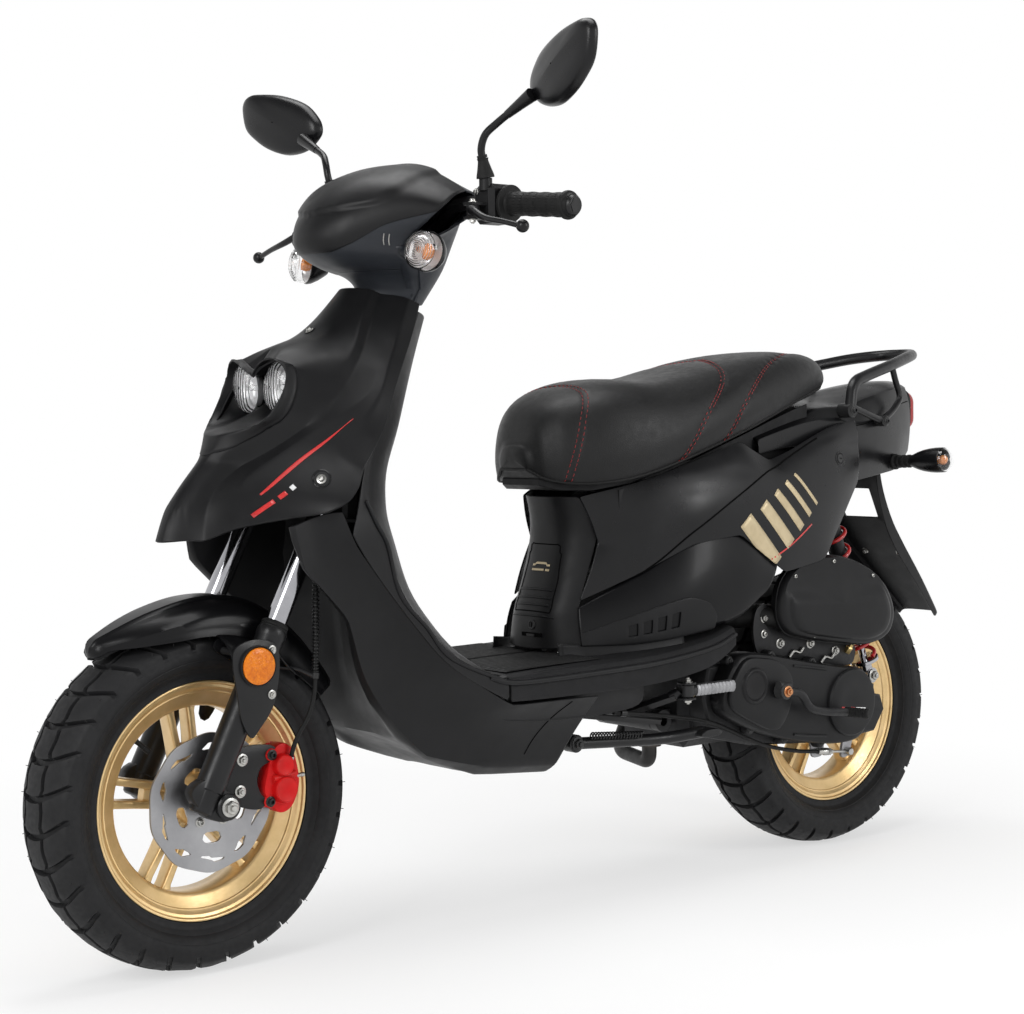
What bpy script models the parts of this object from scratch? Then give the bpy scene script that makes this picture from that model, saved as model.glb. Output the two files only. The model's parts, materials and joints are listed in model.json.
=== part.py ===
"""Moped scooter: a step-through scooter with a swinging power unit, as separate named parts.

+X is the rider's left, -Y is forward and +Z is up, in metres. Shapes are drawn with y = 0 at the
front axle, and one empty then moves the whole scooter so that its middle stands over the origin.
"""

import math

import bmesh
import bpy
from mathutils import Matrix, Vector

# Driving dimensions
WHEELBASE = 1.278
MIDDLE = 0.669
RAKE = math.radians(27.0)
FRONT_AXLE_Z = 0.2385
REAR_AXLE_Z = 0.2425
RIM_FLANGE = 0.166
FRONT_TYRE_HALF = 0.060
REAR_TYRE_HALF = 0.065
TREAD_BLOCKS = 16
BLOCK_SHARE = 0.36
TREAD_DEPTH = 0.007
SPOKE_PAIRS = 5
FORK_HALF = 0.090
LEG_AHEAD = 0.030
TUBE_R = 0.015
SLIDER_R = 0.0205
DISC_R = 0.096
DISC_X = 0.058
BAR_R = 0.011
PANEL = 0.003
SWING_Y = 0.840
SWING_Z = 0.265
SHOCK_TOP = Vector((0.096, 1.205, 0.610))
SHOCK_FOOT = Vector((0.096, 1.315, 0.300))
SPRING_COIL_R = 0.0205
SPRING_WIRE_R = 0.0036
SPRING_CURLS = 7
SEAT_HINGE = Vector((0.0, 0.612, 0.650))
STAND_PIVOT = Vector((0.092, 0.628, 0.2545))
KICK_AXIS = Vector((0.0, 1.020, 0.306))
PEG_PIVOT = Vector((0.166, 0.806, 0.326))

SIDES = (1, -1)
SIDE_NAME = {1: "left", -1: "right"}
X_AXIS = Vector((1.0, 0.0, 0.0))
Z_AXIS = Vector((0.0, 0.0, 1.0))
STEER = Vector((0.0, math.sin(RAKE), math.cos(RAKE)))
AHEAD = Vector((0.0, -math.cos(RAKE), math.sin(RAKE)))
FRONT_AXLE = Vector((0.0, 0.0, FRONT_AXLE_Z))
REAR_AXLE = Vector((0.0, WHEELBASE, REAR_AXLE_Z))

for old in list(bpy.data.objects):
    bpy.data.objects.remove(old)

PARTS = bpy.data.collections.new("moped_scooter")
CUTTERS = bpy.data.collections.new("cutters")
bpy.context.scene.collection.children.link(PARTS)
bpy.context.scene.collection.children.link(CUTTERS)


# Building blocks

def fork_point(along, ahead=0.0, x=0.0):
    """A point given along the steering axis from the front axle and ahead of that axis."""
    return FRONT_AXLE + STEER * along + AHEAD * ahead + X_AXIS * x


def aim(direction):
    """The turn that lays +Z along a direction."""
    return Z_AXIS.rotation_difference(Vector(direction).normalized()).to_matrix().to_4x4()


def baked(obj):
    """The object with its modifiers applied, its points in the scooter's own frame and facing out."""
    bpy.context.view_layer.update()
    graph = bpy.context.evaluated_depsgraph_get()
    mesh = bpy.data.meshes.new_from_object(obj.evaluated_get(graph))
    mesh.transform(obj.matrix_world)
    name = obj.name
    bpy.data.objects.remove(obj)
    work = bmesh.new()
    work.from_mesh(mesh)
    bmesh.ops.remove_doubles(work, verts=work.verts, dist=0.00001)
    bmesh.ops.recalc_face_normals(work, faces=work.faces)
    work.to_mesh(mesh)
    work.free()
    mesh.name = name
    result = bpy.data.objects.new(name, mesh)
    PARTS.objects.link(result)
    result.name = name
    return result


def mesh_object(name, points, faces, edges=()):
    mesh = bpy.data.meshes.new(name)
    mesh.from_pydata([tuple(point) for point in points], list(edges), faces)
    mesh.update()
    obj = bpy.data.objects.new(name, mesh)
    PARTS.objects.link(obj)
    return obj


def lathe(name, profile, centre, direction, steps=16, ring=False, turn=0.0):
    """A turned shape: pairs of height along the axis and radius, the outer side from top to bottom."""
    count = len(profile)
    edges = [(i, i + 1) for i in range(count - 1)]
    if ring:
        edges.append((count - 1, 0))
    obj = mesh_object(name, [(radius, 0.0, height) for height, radius in profile], [], edges)
    screw = obj.modifiers.new("turn", "SCREW")
    screw.steps = steps
    screw.render_steps = steps
    screw.use_merge_vertices = True
    screw.merge_threshold = 0.0001
    obj.matrix_world = Matrix.Translation(centre) @ aim(direction) @ Matrix.Rotation(turn, 4, "Z")
    return baked(obj)


def rod(name, start, end, radius, steps=12):
    """A plain round bar between two points."""
    reach = Vector(end) - Vector(start)
    length = reach.length
    profile = ((length, 0.0), (length, radius), (0.0, radius), (0.0, 0.0))
    return lathe(name, profile, Vector(start), reach, steps, False, math.pi / steps)


def rounded(points, radius, steps=3):
    """The path with each inner corner rounded."""
    points = [Vector(point) for point in points]
    path = [points[0]]
    for before, corner, after in zip(points, points[1:], points[2:]):
        reach = min(radius, 0.45 * (before - corner).length, 0.45 * (after - corner).length)
        start = corner + (before - corner).normalized() * reach
        end = corner + (after - corner).normalized() * reach
        for step in range(steps + 1):
            t = step / steps
            path.append(start * (1 - t) ** 2 + corner * 2 * t * (1 - t) + end * t * t)
    path.append(points[-1])
    return path


def tube(name, points, radius, swell=None, sides=1, closed=False):
    """A round tube along a path, with the ends filled; swell scales the radius point by point."""
    curve = bpy.data.curves.new(name, "CURVE")
    curve.dimensions = "3D"
    curve.bevel_depth = radius
    curve.bevel_resolution = sides
    curve.use_fill_caps = True
    curve.resolution_u = 1
    curve.render_resolution_u = 0
    spline = curve.splines.new("POLY")
    spline.points.add(len(points) - 1)
    spline.use_cyclic_u = closed
    for index, point in enumerate(points):
        spline.points[index].co = (point[0], point[1], point[2], 1.0)
        if swell:
            spline.points[index].radius = swell[index]
    obj = bpy.data.objects.new(name, curve)
    PARTS.objects.link(obj)
    return baked(obj)


def plate(name, outline, thickness, placing, soften=0.0, sides=1):
    """A flat outline drawn in local x and y, given a thickness along local z."""
    curve = bpy.data.curves.new(name, "CURVE")
    curve.dimensions = "2D"
    curve.fill_mode = "BOTH"
    curve.extrude = thickness / 2 - soften
    curve.bevel_depth = soften
    curve.bevel_resolution = sides - 1
    curve.offset = -soften
    curve.resolution_u = 1
    curve.render_resolution_u = 0
    spline = curve.splines.new("POLY")
    spline.points.add(len(outline) - 1)
    spline.use_cyclic_u = True
    for index, (across, up) in enumerate(outline):
        spline.points[index].co = (across, up, 0.0, 1.0)
    obj = bpy.data.objects.new(name, curve)
    PARTS.objects.link(obj)
    obj.matrix_world = placing
    return baked(obj)


def side_view(x):
    """Places a plate whose outline is given as y and z, at a distance x from the middle plane."""
    return Matrix(((0, 0, 1, x), (1, 0, 0, 0), (0, 1, 0, 0), (0, 0, 0, 1)))


def front_view(y):
    """Places a plate whose outline is given as x and z, at a distance y behind the front axle."""
    return Matrix(((1, 0, 0, 0), (0, 0, -1, y), (0, 1, 0, 0), (0, 0, 0, 1)))


def box(name, low, high, soften=0.0, segments=1):
    low = Vector(low)
    high = Vector(high)
    work = bmesh.new()
    bmesh.ops.create_cube(work, size=1.0)
    for vert in work.verts:
        vert.co = Vector(low[i] + (vert.co[i] + 0.5) * (high[i] - low[i]) for i in range(3))
    mesh = bpy.data.meshes.new(name)
    work.to_mesh(mesh)
    work.free()
    obj = bpy.data.objects.new(name, mesh)
    PARTS.objects.link(obj)
    if soften:
        bevel = obj.modifiers.new("edges", "BEVEL")
        bevel.width = soften
        bevel.segments = segments
        bevel.limit_method = "NONE"
    return baked(obj)


def grid_faces(rows, columns, holes=()):
    faces = []
    for r in range(rows - 1):
        for c in range(columns - 1):
            if (r, c) not in holes:
                at = r * columns + c
                faces.append((at, at + 1, at + columns + 1, at + columns))
    return faces


def shell(name, rows, mirrored=False, holes=(), thickness=PANEL, outward=1.0):
    """A thin panel over rows of points; the thickness goes to the inner side."""
    columns = len(rows[0])
    grid = [point for row in rows for point in row]
    faces = grid_faces(len(rows), columns, holes)
    used = sorted({corner for face in faces for corner in face})
    place = {corner: index for index, corner in enumerate(used)}
    points = [grid[corner] for corner in used]
    obj = mesh_object(name, points, [[place[corner] for corner in face] for face in faces])
    if mirrored:
        mirror = obj.modifiers.new("other side", "MIRROR")
        mirror.merge_threshold = 0.0001
    solid = obj.modifiers.new("wall", "SOLIDIFY")
    solid.thickness = thickness
    solid.offset = -outward
    solid.use_even_offset = True
    solid.use_rim = True
    return baked(obj)


def loft(name, rings):
    """A solid through closed rings of equal length, with both ends filled."""
    size = len(rings[0])
    points = [point for ring in rings for point in ring]
    faces = []
    for r in range(len(rings) - 1):
        for c in range(size):
            after = (c + 1) % size
            faces.append((r * size + c, r * size + after, (r + 1) * size + after, (r + 1) * size + c))
    faces.append(tuple(range(size)))
    faces.append(tuple(range(len(points) - size, len(points))))
    return baked(mesh_object(name, points, faces))


def change(obj, tool, operation):
    bool_mod = obj.modifiers.new(operation.lower(), "BOOLEAN")
    bool_mod.operation = operation
    bool_mod.solver = "EXACT"
    bool_mod.object = tool
    result = baked(obj)
    bpy.data.objects.remove(tool)
    return result


def fuse(obj, *others):
    for other in others:
        obj = change(obj, other, "UNION")
    return obj


def cut(obj, *tools):
    for tool in tools:
        PARTS.objects.unlink(tool)
        CUTTERS.objects.link(tool)
        tool.display_type = "WIRE"
        tool.hide_render = True
        obj = change(obj, tool, "DIFFERENCE")
    return obj


def other_side(obj, name):
    """A copy mirrored to the right side."""
    mesh = obj.data.copy()
    mesh.transform(Matrix.Scale(-1.0, 4, X_AXIS))
    mesh.flip_normals()
    copy = bpy.data.objects.new(name, mesh)
    PARTS.objects.link(copy)
    return copy


def across(centre, edge, columns, fullness_y=2.0, fullness_z=2.0):
    """Half a row of a symmetric panel, from the middle plane out to its left edge."""
    row = []
    for step in range(columns):
        s = step / (columns - 1)
        y = centre[0] + (edge[1] - centre[0]) * s ** fullness_y
        z = centre[1] + (edge[2] - centre[1]) * s ** fullness_z
        row.append(Vector((edge[0] * s, y, z)))
    return row


# Bodies: one empty for each moving group, on its joint axis

ROOT = bpy.data.objects.new("scooter", None)
ROOT.location = (0.0, -MIDDLE, 0.0)
PARTS.objects.link(ROOT)


def body(name, place, parent=None):
    empty = bpy.data.objects.new(name, None)
    PARTS.objects.link(empty)
    empty.parent = parent or ROOT
    inside = parent["place"] if parent else (0.0, 0.0, 0.0)
    empty["place"] = tuple(place)
    empty.location = Vector(place) - Vector(inside)
    empty.empty_display_size = 0.05
    return empty


CHASSIS = body("chassis_frame", (0.0, 0.0, 0.0))
STEERING = body("steering_axis", fork_point(0.60))
SLIDERS = body("fork_travel", fork_point(0.0), STEERING)
FRONT_WHEEL = body("front_wheel_axis", FRONT_AXLE, SLIDERS)
SWING = body("power_unit_pivot", (0.0, SWING_Y, SWING_Z))
REAR_WHEEL = body("rear_wheel_axis", REAR_AXLE, SWING)
KICK = body("kick_axis", KICK_AXIS, SWING)
SHOCK = body("shock_top_pivot", SHOCK_TOP)
SHOCK_SLIDE = body("shock_travel", SHOCK_FOOT, SHOCK)
SEAT = body("seat_hinge", SEAT_HINGE)
STAND = body("stand_pivot", STAND_PIVOT)


def finish(obj, group, colour, roughness, metallic=0.0):
    """Gives a part its material and hangs it on its body."""
    material = bpy.data.materials.new(obj.name)
    material.use_nodes = True
    shader = material.node_tree.nodes["Principled BSDF"]
    shader.inputs["Base Color"].default_value = (*colour, 1.0)
    shader.inputs["Roughness"].default_value = roughness
    shader.inputs["Metallic"].default_value = metallic
    obj.data.materials.clear()
    obj.data.materials.append(material)
    obj.parent = group
    obj.location = -Vector(group["place"])
    return obj


MATTE = (0.022, 0.022, 0.024)
GLOSS = (0.010, 0.010, 0.012)
RUBBER = (0.016, 0.016, 0.016)
STEEL = (0.55, 0.55, 0.57)
GOLD = (0.62, 0.42, 0.12)
RED = (0.60, 0.03, 0.03)
ALLOY = (0.35, 0.35, 0.36)
CLEAR = (0.80, 0.80, 0.80)


# Wheels

def make_tyre(name, axle, radius, half):
    """A tyre with a flat crown and cross grooves; the flat of one block lies on the ground."""
    crown = radius / math.cos(BLOCK_SHARE * math.tau / TREAD_BLOCKS)
    flank = (
        (0.0335, 0.1520, 0),
        (0.0345, 0.1695, 0),
        (0.0470, 0.1750, 0),
        (half, 0.2000, 0),
        (half - 0.010, crown - 0.0135, 1),
        (0.0220, crown, 1),
    )
    section = list(flank) + [(-x, r, groove) for x, r, groove in reversed(flank)]
    pitch = math.tau / TREAD_BLOCKS
    rings = []
    for block in range(TREAD_BLOCKS):
        middle = -math.pi / 2 + block * pitch
        for turn, depth in ((-BLOCK_SHARE, 0.0), (BLOCK_SHARE, 0.0), (0.5, TREAD_DEPTH)):
            angle = middle + turn * pitch
            ring = []
            for x, r, groove in section:
                reach = r - depth * groove
                step = Vector((x, reach * math.cos(angle), reach * math.sin(angle)))
                ring.append(axle + step)
            rings.append(ring)
    size = len(section)
    points = [point for ring in rings for point in ring]
    faces = []
    for r in range(len(rings)):
        following = (r + 1) % len(rings)
        for c in range(size):
            after = (c + 1) % size
            faces.append((r * size + c, r * size + after, following * size + after,
                following * size + c))
    return baked(mesh_object(name, points, faces))


def make_rim(name, axle, hub_left, hub_right, bore):
    """A cast wheel: barrel, hub and pairs of parallel spokes."""
    barrel = lathe(name, (
        (0.044, 0.1660), (0.0352, 0.1660), (0.0352, 0.1490), (0.013, 0.1360),
        (-0.013, 0.1360), (-0.0352, 0.1490), (-0.0352, 0.1660), (-0.044, 0.1660),
        (-0.022, 0.1290), (0.022, 0.1290),
    ), axle, X_AXIS, 32, True)
    hub = lathe(name + "_hub", (
        (hub_left, 0.024), (0.026, 0.036), (-0.026, 0.036), (-hub_right, 0.024),
        (-hub_right, bore), (hub_left, bore),
    ), axle, X_AXIS, 14, True)
    points = []
    faces = []
    block = (
        (0, 1, 2, 3), (7, 6, 5, 4), (0, 4, 5, 1), (1, 5, 6, 2), (2, 6, 7, 3), (3, 7, 4, 0),
    )
    for pair in range(SPOKE_PAIRS):
        spin = Matrix.Rotation(math.radians(98.0) + pair * math.tau / SPOKE_PAIRS, 4, "X")
        for side in SIDES:
            start = len(points)
            for reach, thick, centre in ((0.030, 0.017, 0.0115), (0.1315, 0.012, 0.0155)):
                for x, wide in ((1, -1), (1, 1), (-1, 1), (-1, -1)):
                    spot = Vector((x * thick, reach, side * centre + wide * 0.0055))
                    points.append(axle + spin @ spot)
            faces += [tuple(start + i for i in face) for face in block]
    spokes = baked(mesh_object(name + "_spokes", points, faces))
    return fuse(barrel, hub, spokes)


finish(make_tyre("front_tyre", FRONT_AXLE, FRONT_AXLE_Z, FRONT_TYRE_HALF), FRONT_WHEEL, RUBBER, 0.85)
finish(make_rim("front_rim", FRONT_AXLE, 0.0555, 0.060, 0.0090), FRONT_WHEEL, GOLD, 0.35, 0.9)
finish(make_tyre("rear_tyre", REAR_AXLE, REAR_AXLE_Z, REAR_TYRE_HALF), REAR_WHEEL, RUBBER, 0.85)
finish(make_rim("rear_rim", REAR_AXLE, 0.070, 0.055, 0.0115), REAR_WHEEL, GOLD, 0.35, 0.9)


def make_disc():
    disc = lathe("brake_disc", (
        (DISC_X + 0.002, DISC_R), (DISC_X - 0.002, DISC_R), (DISC_X - 0.002, 0.020),
        (DISC_X + 0.002, 0.020),
    ), FRONT_AXLE, X_AXIS, 30, True)
    points = []
    faces = []
    outline = ((0.050, -0.004), (0.050, 0.004), (0.070, 0.016), (0.070, 0.008))
    count = 10
    for slot in range(count):
        spin = Matrix.Rotation(slot * math.tau / count, 4, "X")
        start = len(points)
        for x in (DISC_X - 0.01, DISC_X + 0.01):
            for reach, wide in outline:
                points.append(FRONT_AXLE + spin @ Vector((x, reach, wide)))
        faces += [tuple(start + i for i in face) for face in (
            (0, 1, 2, 3), (7, 6, 5, 4), (0, 4, 5, 1), (1, 5, 6, 2), (2, 6, 7, 3), (3, 7, 4, 0))]
    return cut(disc, baked(mesh_object("disc_slots", points, faces)))


finish(make_disc(), FRONT_WHEEL, STEEL, 0.3, 1.0)


# Front suspension

AXLE_PROFILE = (
    (0.116, 0.0), (0.116, 0.011), (0.1095, 0.011), (0.1095, 0.0075),
    (-0.1095, 0.0075), (-0.1095, 0.011), (-0.116, 0.011), (-0.116, 0.0),
)
finish(lathe("front_axle", AXLE_PROFILE, FRONT_AXLE, X_AXIS, 12), SLIDERS, STEEL, 0.35, 1.0)


def make_slider():
    """A lower fork leg with a bored upper end, an axle boss and the caliper bracket."""
    leg = lathe("fork_slider_left", (
        (0.090, 0.0), (0.090, 0.0168), (0.256, 0.0168), (0.256, 0.0215), (0.244, 0.0225),
        (0.238, SLIDER_R), (-0.010, SLIDER_R), (-0.022, 0.013), (-0.022, 0.0),
    ), fork_point(0.0, LEG_AHEAD, FORK_HALF), STEER, 14)
    boss = rod("boss", (0.0735, 0.0, FRONT_AXLE_Z), (0.1085, 0.0, FRONT_AXLE_Z), 0.0185, 14)
    arm = box("arm", (0.080, 0.020, 0.288), (0.0895, 0.090, 0.312), 0.003)
    bore = rod("bore", (0.05, 0.0, FRONT_AXLE_Z), (0.13, 0.0, FRONT_AXLE_Z), 0.0090, 16)
    return cut(fuse(leg, boss, arm), bore)


SLIDER = make_slider()
finish(other_side(SLIDER, "fork_slider_right"), SLIDERS, MATTE, 0.5)
finish(SLIDER, SLIDERS, MATTE, 0.5)


def make_caliper():
    """A two-piston caliper that straddles the disc."""
    shape = ((0.066, 0.246), (0.092, 0.216), (0.112, 0.222), (0.124, 0.258), (0.114, 0.306),
        (0.094, 0.312),
             (0.076, 0.286))
    block = plate("brake_caliper", shape, 0.032, side_view(0.0630), 0.004)
    outer = plate("outer", ((0.0925, 0.224), (0.108, 0.222), (0.119, 0.258), (0.110, 0.300),
        (0.0925, 0.302)),
                  0.024, side_view(0.0880), 0.004)
    gap = rod("gap", (DISC_X - 0.005, 0.0, FRONT_AXLE_Z), (DISC_X + 0.005, 0.0, FRONT_AXLE_Z), 0.104,
        36)
    return cut(fuse(block, outer), gap)


finish(make_caliper(), SLIDERS, RED, 0.4, 0.3)


def make_front_mudguard():
    """A guard over the wheel with a pointed front, and side cheeks that reach down the fork."""
    rows = []
    for angle, radius, half, drop in (
        (122.0, 0.272, 0.026, 0.004), (113.0, 0.270, 0.050, 0.016), (102.0, 0.271, 0.064, 0.026),
        (90.0, 0.277, 0.067, 0.034), (76.0, 0.282, 0.066, 0.040), (62.0, 0.277, 0.066, 0.044),
        (48.0, 0.270, 0.066, 0.040), (36.0, 0.266, 0.064, 0.030),
    ):
        turn = math.radians(angle)
        out = Vector((0.0, math.cos(turn), math.sin(turn)))
        row = []
        for x, fall in ((0.0, 0.0), (0.45, 0.004), (0.85, 0.014), (1.0, 0.55 * drop + 0.010),
                (1.02, drop + 0.014)):
            row.append(FRONT_AXLE + X_AXIS * (x * half) + out * (radius - fall))
        rows.append(row)
    guard = shell("front_mudguard", rows, True, (), PANEL, 1.0)
    for side in SIDES:
        cheek = plate("cheek", (
            (0.004, 0.460), (0.060, 0.490), (0.118, 0.424), (0.096, 0.372), (0.070, 0.330),
            (0.056, 0.345),
            (0.066, 0.400), (0.030, 0.430),
        ), 0.004, side_view(side * 0.0642), 0.0)
        guard = fuse(guard, cheek)
    return guard


finish(make_front_mudguard(), SLIDERS, GLOSS, 0.12)

# Steering: stem, fork tubes, handlebar and its covers

for side in SIDES:
    fork_tube = rod("fork_tube_" + SIDE_NAME[side], fork_point(0.146, LEG_AHEAD, side * FORK_HALF),
                    fork_point(0.492, LEG_AHEAD, side * FORK_HALF), TUBE_R, 16)
    finish(fork_tube, STEERING, (0.75, 0.75, 0.77), 0.12, 1.0)


def make_stem():
    """The lower yoke with clamps for both fork tubes, and the stem through the head tube."""
    flat = Matrix.Translation(fork_point(0.470)) @ aim(STEER)
    frame = Matrix(((1, 0, 0, 0), (0, 0, 0, 0), (0, 0, 0, 0), (0, 0, 0, 1)))
    for row in range(3):
        frame[row][0] = X_AXIS[row]
        frame[row][1] = AHEAD[row]
        frame[row][2] = -STEER[row]
        frame[row][3] = flat.translation[row]
    yoke = plate("steering_stem", (
        (-0.112, 0.044), (-0.096, 0.054), (-0.070, 0.050), (0.0, 0.030), (0.070, 0.050), (0.096, 0.054),
        (0.112, 0.044), (0.114, 0.018), (0.096, 0.006), (0.040, -0.024), (-0.040, -0.024),
        (-0.096, 0.006),
        (-0.114, 0.018),
    ), 0.032, frame, 0.003)
    yoke = fuse(yoke, rod("stem", fork_point(0.46), fork_point(0.862), 0.0135, 16))
    for side in SIDES:
        spot = (LEG_AHEAD, side * FORK_HALF)
        yoke = cut(yoke, rod("clamp", fork_point(0.44, *spot), fork_point(0.50, *spot),
            TUBE_R + 0.0006, 16))
    return yoke


finish(make_stem(), STEERING, MATTE, 0.5)


def bar_point(x):
    """The middle of the handlebar's straight outer part at a distance x from the middle plane."""
    reach = abs(x) - 0.22
    return Vector((x, 0.413 + 0.112 * reach, 1.062 - 0.096 * reach))


def bar_direction(side):
    return (bar_point(side * 0.34) - bar_point(side * 0.16)).normalized()


def make_handlebar():
    middle = fork_point(0.884)
    half = [bar_point(0.343), bar_point(0.11), Vector((0.055, 0.404, 1.034)), middle]
    path = half + [Vector((-p.x, p.y, p.z)) for p in reversed(half[:-1])]
    bar = tube("handlebar", rounded(path, 0.03, 2), BAR_R, None, 1)
    clamp = lathe("clamp", ((0.900, 0.0), (0.900, 0.020), (0.800, 0.020), (0.800, 0.0145),
        (0.8635, 0.0145),
                            (0.8635, 0.0)), FRONT_AXLE, STEER, 16)
    return fuse(bar, clamp)


finish(make_handlebar(), STEERING, MATTE, 0.45, 0.4)


def make_cover_front():
    rows = []
    for centre, edge, full_y, full_z in (
        ((0.372, 1.131), (0.140, 0.392, 1.086), 2.2, 2.4),
        ((0.318, 1.121), (0.152, 0.366, 1.078), 2.2, 2.4),
        ((0.262, 1.096), (0.158, 0.338, 1.060), 2.2, 2.4),
        ((0.222, 1.058), (0.138, 0.318, 1.034), 2.2, 2.2),
        ((0.205, 1.022), (0.112, 0.306, 1.010), 2.2, 2.0),
        ((0.216, 0.998), (0.100, 0.304, 0.994), 2.2, 2.0),
        ((0.250, 0.980), (0.094, 0.326, 0.982), 2.2, 2.0),
        ((0.290, 0.968), (0.074, 0.345, 0.967), 2.2, 2.0),
        ((0.304, 0.950), (0.0610, 0.3615, 0.947), 2.2, 2.0),
        ((0.299, 0.930), (0.0575, 0.3525, 0.926), 2.2, 2.0),
    ):
        rows.append(across(centre, edge, 7, full_y, full_z))
    return shell("handlebar_cover_front", rows, True, (), PANEL, -1.0)


finish(make_cover_front(), STEERING, MATTE, 0.55)


def make_cover_rear():
    """The rider's side of the handlebar cover, with the rear half of the neck below it."""
    rows = []
    for centre, edge, full_y, full_z in (
        ((0.376, 1.131), (0.140, 0.396, 1.086), 2.2, 2.4),
        ((0.418, 1.114), (0.133, 0.417, 1.085), 2.2, 2.2),
        ((0.448, 1.082), (0.126, 0.4300, 1.060), 2.2, 2.0),
        ((0.460, 1.042), (0.126, 0.372, 1.028), 2.4, 2.0),
        ((0.454, 1.004), (0.105, 0.322, 1.004), 2.4, 2.0),
        ((0.444, 0.980), (0.090, 0.346, 0.980), 2.4, 2.0),
        ((0.424, 0.950), (0.0617, 0.3690, 0.947), 2.2, 2.0),
        ((0.406, 0.927), (0.0582, 0.3600, 0.926), 2.2, 2.0),
    ):
        rows.append(across(centre, edge, 6, full_y, full_z))
    return shell("handlebar_cover_rear", rows, True, (), PANEL, 1.0)


finish(make_cover_rear(), STEERING, MATTE, 0.6)


def make_front_signal(side):
    """A round signal lamp on a short stalk."""
    facing = Vector((side * 0.30, -0.94, 0.10)).normalized()
    face = Vector((side * 0.156, 0.296, 0.997))
    name = "front_signal_" + SIDE_NAME[side]
    lamp = lathe(name, (
        (0.010, 0.0), (0.009, 0.012), (0.004, 0.022), (-0.003, 0.028), (-0.018, 0.0285),
        (-0.036, 0.022),
        (-0.050, 0.012), (-0.050, 0.0),
    ), face, facing, 18)
    root = Vector((side * 0.1130, 0.3390, 1.003))
    return fuse(lamp, rod("stalk", face - facing * 0.022, root, 0.010, 10))


for side in SIDES:
    finish(make_front_signal(side), STEERING, CLEAR, 0.1)


def make_grip(name, side, inner, outer):
    """A ribbed grip with a flange at its inner end."""
    length = outer - inner
    profile = [(0.0, 0.0125), (0.0, 0.0265), (0.006, 0.0265), (0.008, 0.0165)]
    ribs = 4
    for rib in range(ribs):
        start = 0.014 + rib * (length - 0.030) / ribs
        profile += [(start + 0.003, 0.0165), (start + 0.009, 0.0184), (start + 0.015, 0.0165)]
    profile += [(length - 0.010, 0.0165), (length - 0.008, 0.0190), (length, 0.0180), (length, 0.0125)]
    profile.reverse()
    return lathe(name, profile, bar_point(side * inner), bar_direction(side), 12, True)


finish(make_grip("grip_left", 1, 0.214, 0.338), STEERING, RUBBER, 0.8)
THROTTLE = body("throttle_axis", bar_point(-0.27), STEERING)
finish(make_grip("throttle_grip", -1, 0.214, 0.338), THROTTLE, RUBBER, 0.8)


LEVER_PIVOT = Vector((0.190, 0.366, 1.052))


def make_switch_pod():
    """The left switch housing clamped on the bar, with two ears for the lever."""
    spot = bar_point(0.187)
    pod = box("switch_pod_left", spot + Vector((-0.021, -0.024, -0.030)),
        spot + Vector((0.021, 0.024, 0.026)),
              0.007)
    ears = []
    for low, high in ((0.0078, 0.0118), (-0.0118, -0.0078)):
        ears.append(box("ear", LEVER_PIVOT + Vector((-0.012, -0.008, low)),
                        LEVER_PIVOT + Vector((0.008, 0.030, high))))
    pod = fuse(pod, *ears)
    base = spot + Vector((0.004, -0.020, 0.016))
    pod = fuse(pod, rod("mirror_boss", base, base + Vector((0.0, 0.0, 0.018)), 0.0095, 12))
    direction = bar_direction(1)
    return cut(pod, rod("bar_bore", spot - direction * 0.05, spot + direction * 0.05, BAR_R + 0.0012,
        16))


BUTTONS = (
    ("horn_button", 1, 0.004, -0.017, 0.006, 0.006),
    ("signal_switch", 1, 0.002, 0.004, 0.009, 0.006),
    ("starter_button", -1, 0.002, -0.010, 0.008, 0.007),
)
POD_BACK = bar_point(0.187).y + 0.024


def button_spot(side, across_by, up_by):
    return Vector((side * (0.187 + across_by), POD_BACK, bar_point(0.187).z + up_by))


def with_pockets(pod, pod_side):
    """Cuts the pocket that each button of this side moves in."""
    for name, side, across_by, up_by, wide, tall in BUTTONS:
        if side == pod_side:
            spot = button_spot(side, across_by, up_by)
            room = 0.0034 if name == "signal_switch" else 0.0004
            low = spot + Vector((-wide - room, -0.0060, -tall - 0.0004))
            high = spot + Vector((wide + room, 0.010, tall + 0.0004))
            pod = cut(pod, box("pocket", low, high))
    return pod


POD = make_switch_pod()
POD_RIGHT = other_side(POD, "switch_pod_right")
finish(with_pockets(POD, 1), STEERING, MATTE, 0.5)
finish(with_pockets(POD_RIGHT, -1), STEERING, MATTE, 0.5)


def make_lever(side):
    """A hand lever with a ball end, tapering out from its pivot."""
    name = "brake_lever_" + SIDE_NAME[side]
    path = [(0.190, 0.366, 1.052), (0.210, 0.350, 1.051), (0.252, 0.338, 1.036), (0.318, 0.340, 1.021),
            (0.324, 0.3405, 1.0198), (0.331, 0.341, 1.0185), (0.338, 0.3415, 1.017)]
    path = [Vector((side * x, y, z)) for x, y, z in path]
    blade = tube(name, path, 0.0062, (1.05, 1.1, 1.0, 0.85, 1.35, 1.5, 0.9), 1)
    centre = Vector((side * LEVER_PIVOT.x, LEVER_PIVOT.y, LEVER_PIVOT.z))
    eye = rod("eye", centre - Z_AXIS * 0.0074, centre + Z_AXIS * 0.0074, 0.0095, 12)
    return fuse(eye, blade), body(name + "_pivot", centre, STEERING)


for side in SIDES:
    lever, pivot = make_lever(side)
    lever.name = "brake_lever_" + SIDE_NAME[side]
    finish(lever, pivot, MATTE, 0.45, 0.3)

for name, side, across_by, up_by, wide, tall in BUTTONS:
    spot = button_spot(side, across_by, up_by)
    button = box(name, spot + Vector((-wide, -0.0025, -tall)), spot + Vector((wide, 0.0045, tall)),
        0.0015)
    finish(button, body(name + "_travel", spot, STEERING), (0.08, 0.08, 0.08), 0.5)

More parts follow.
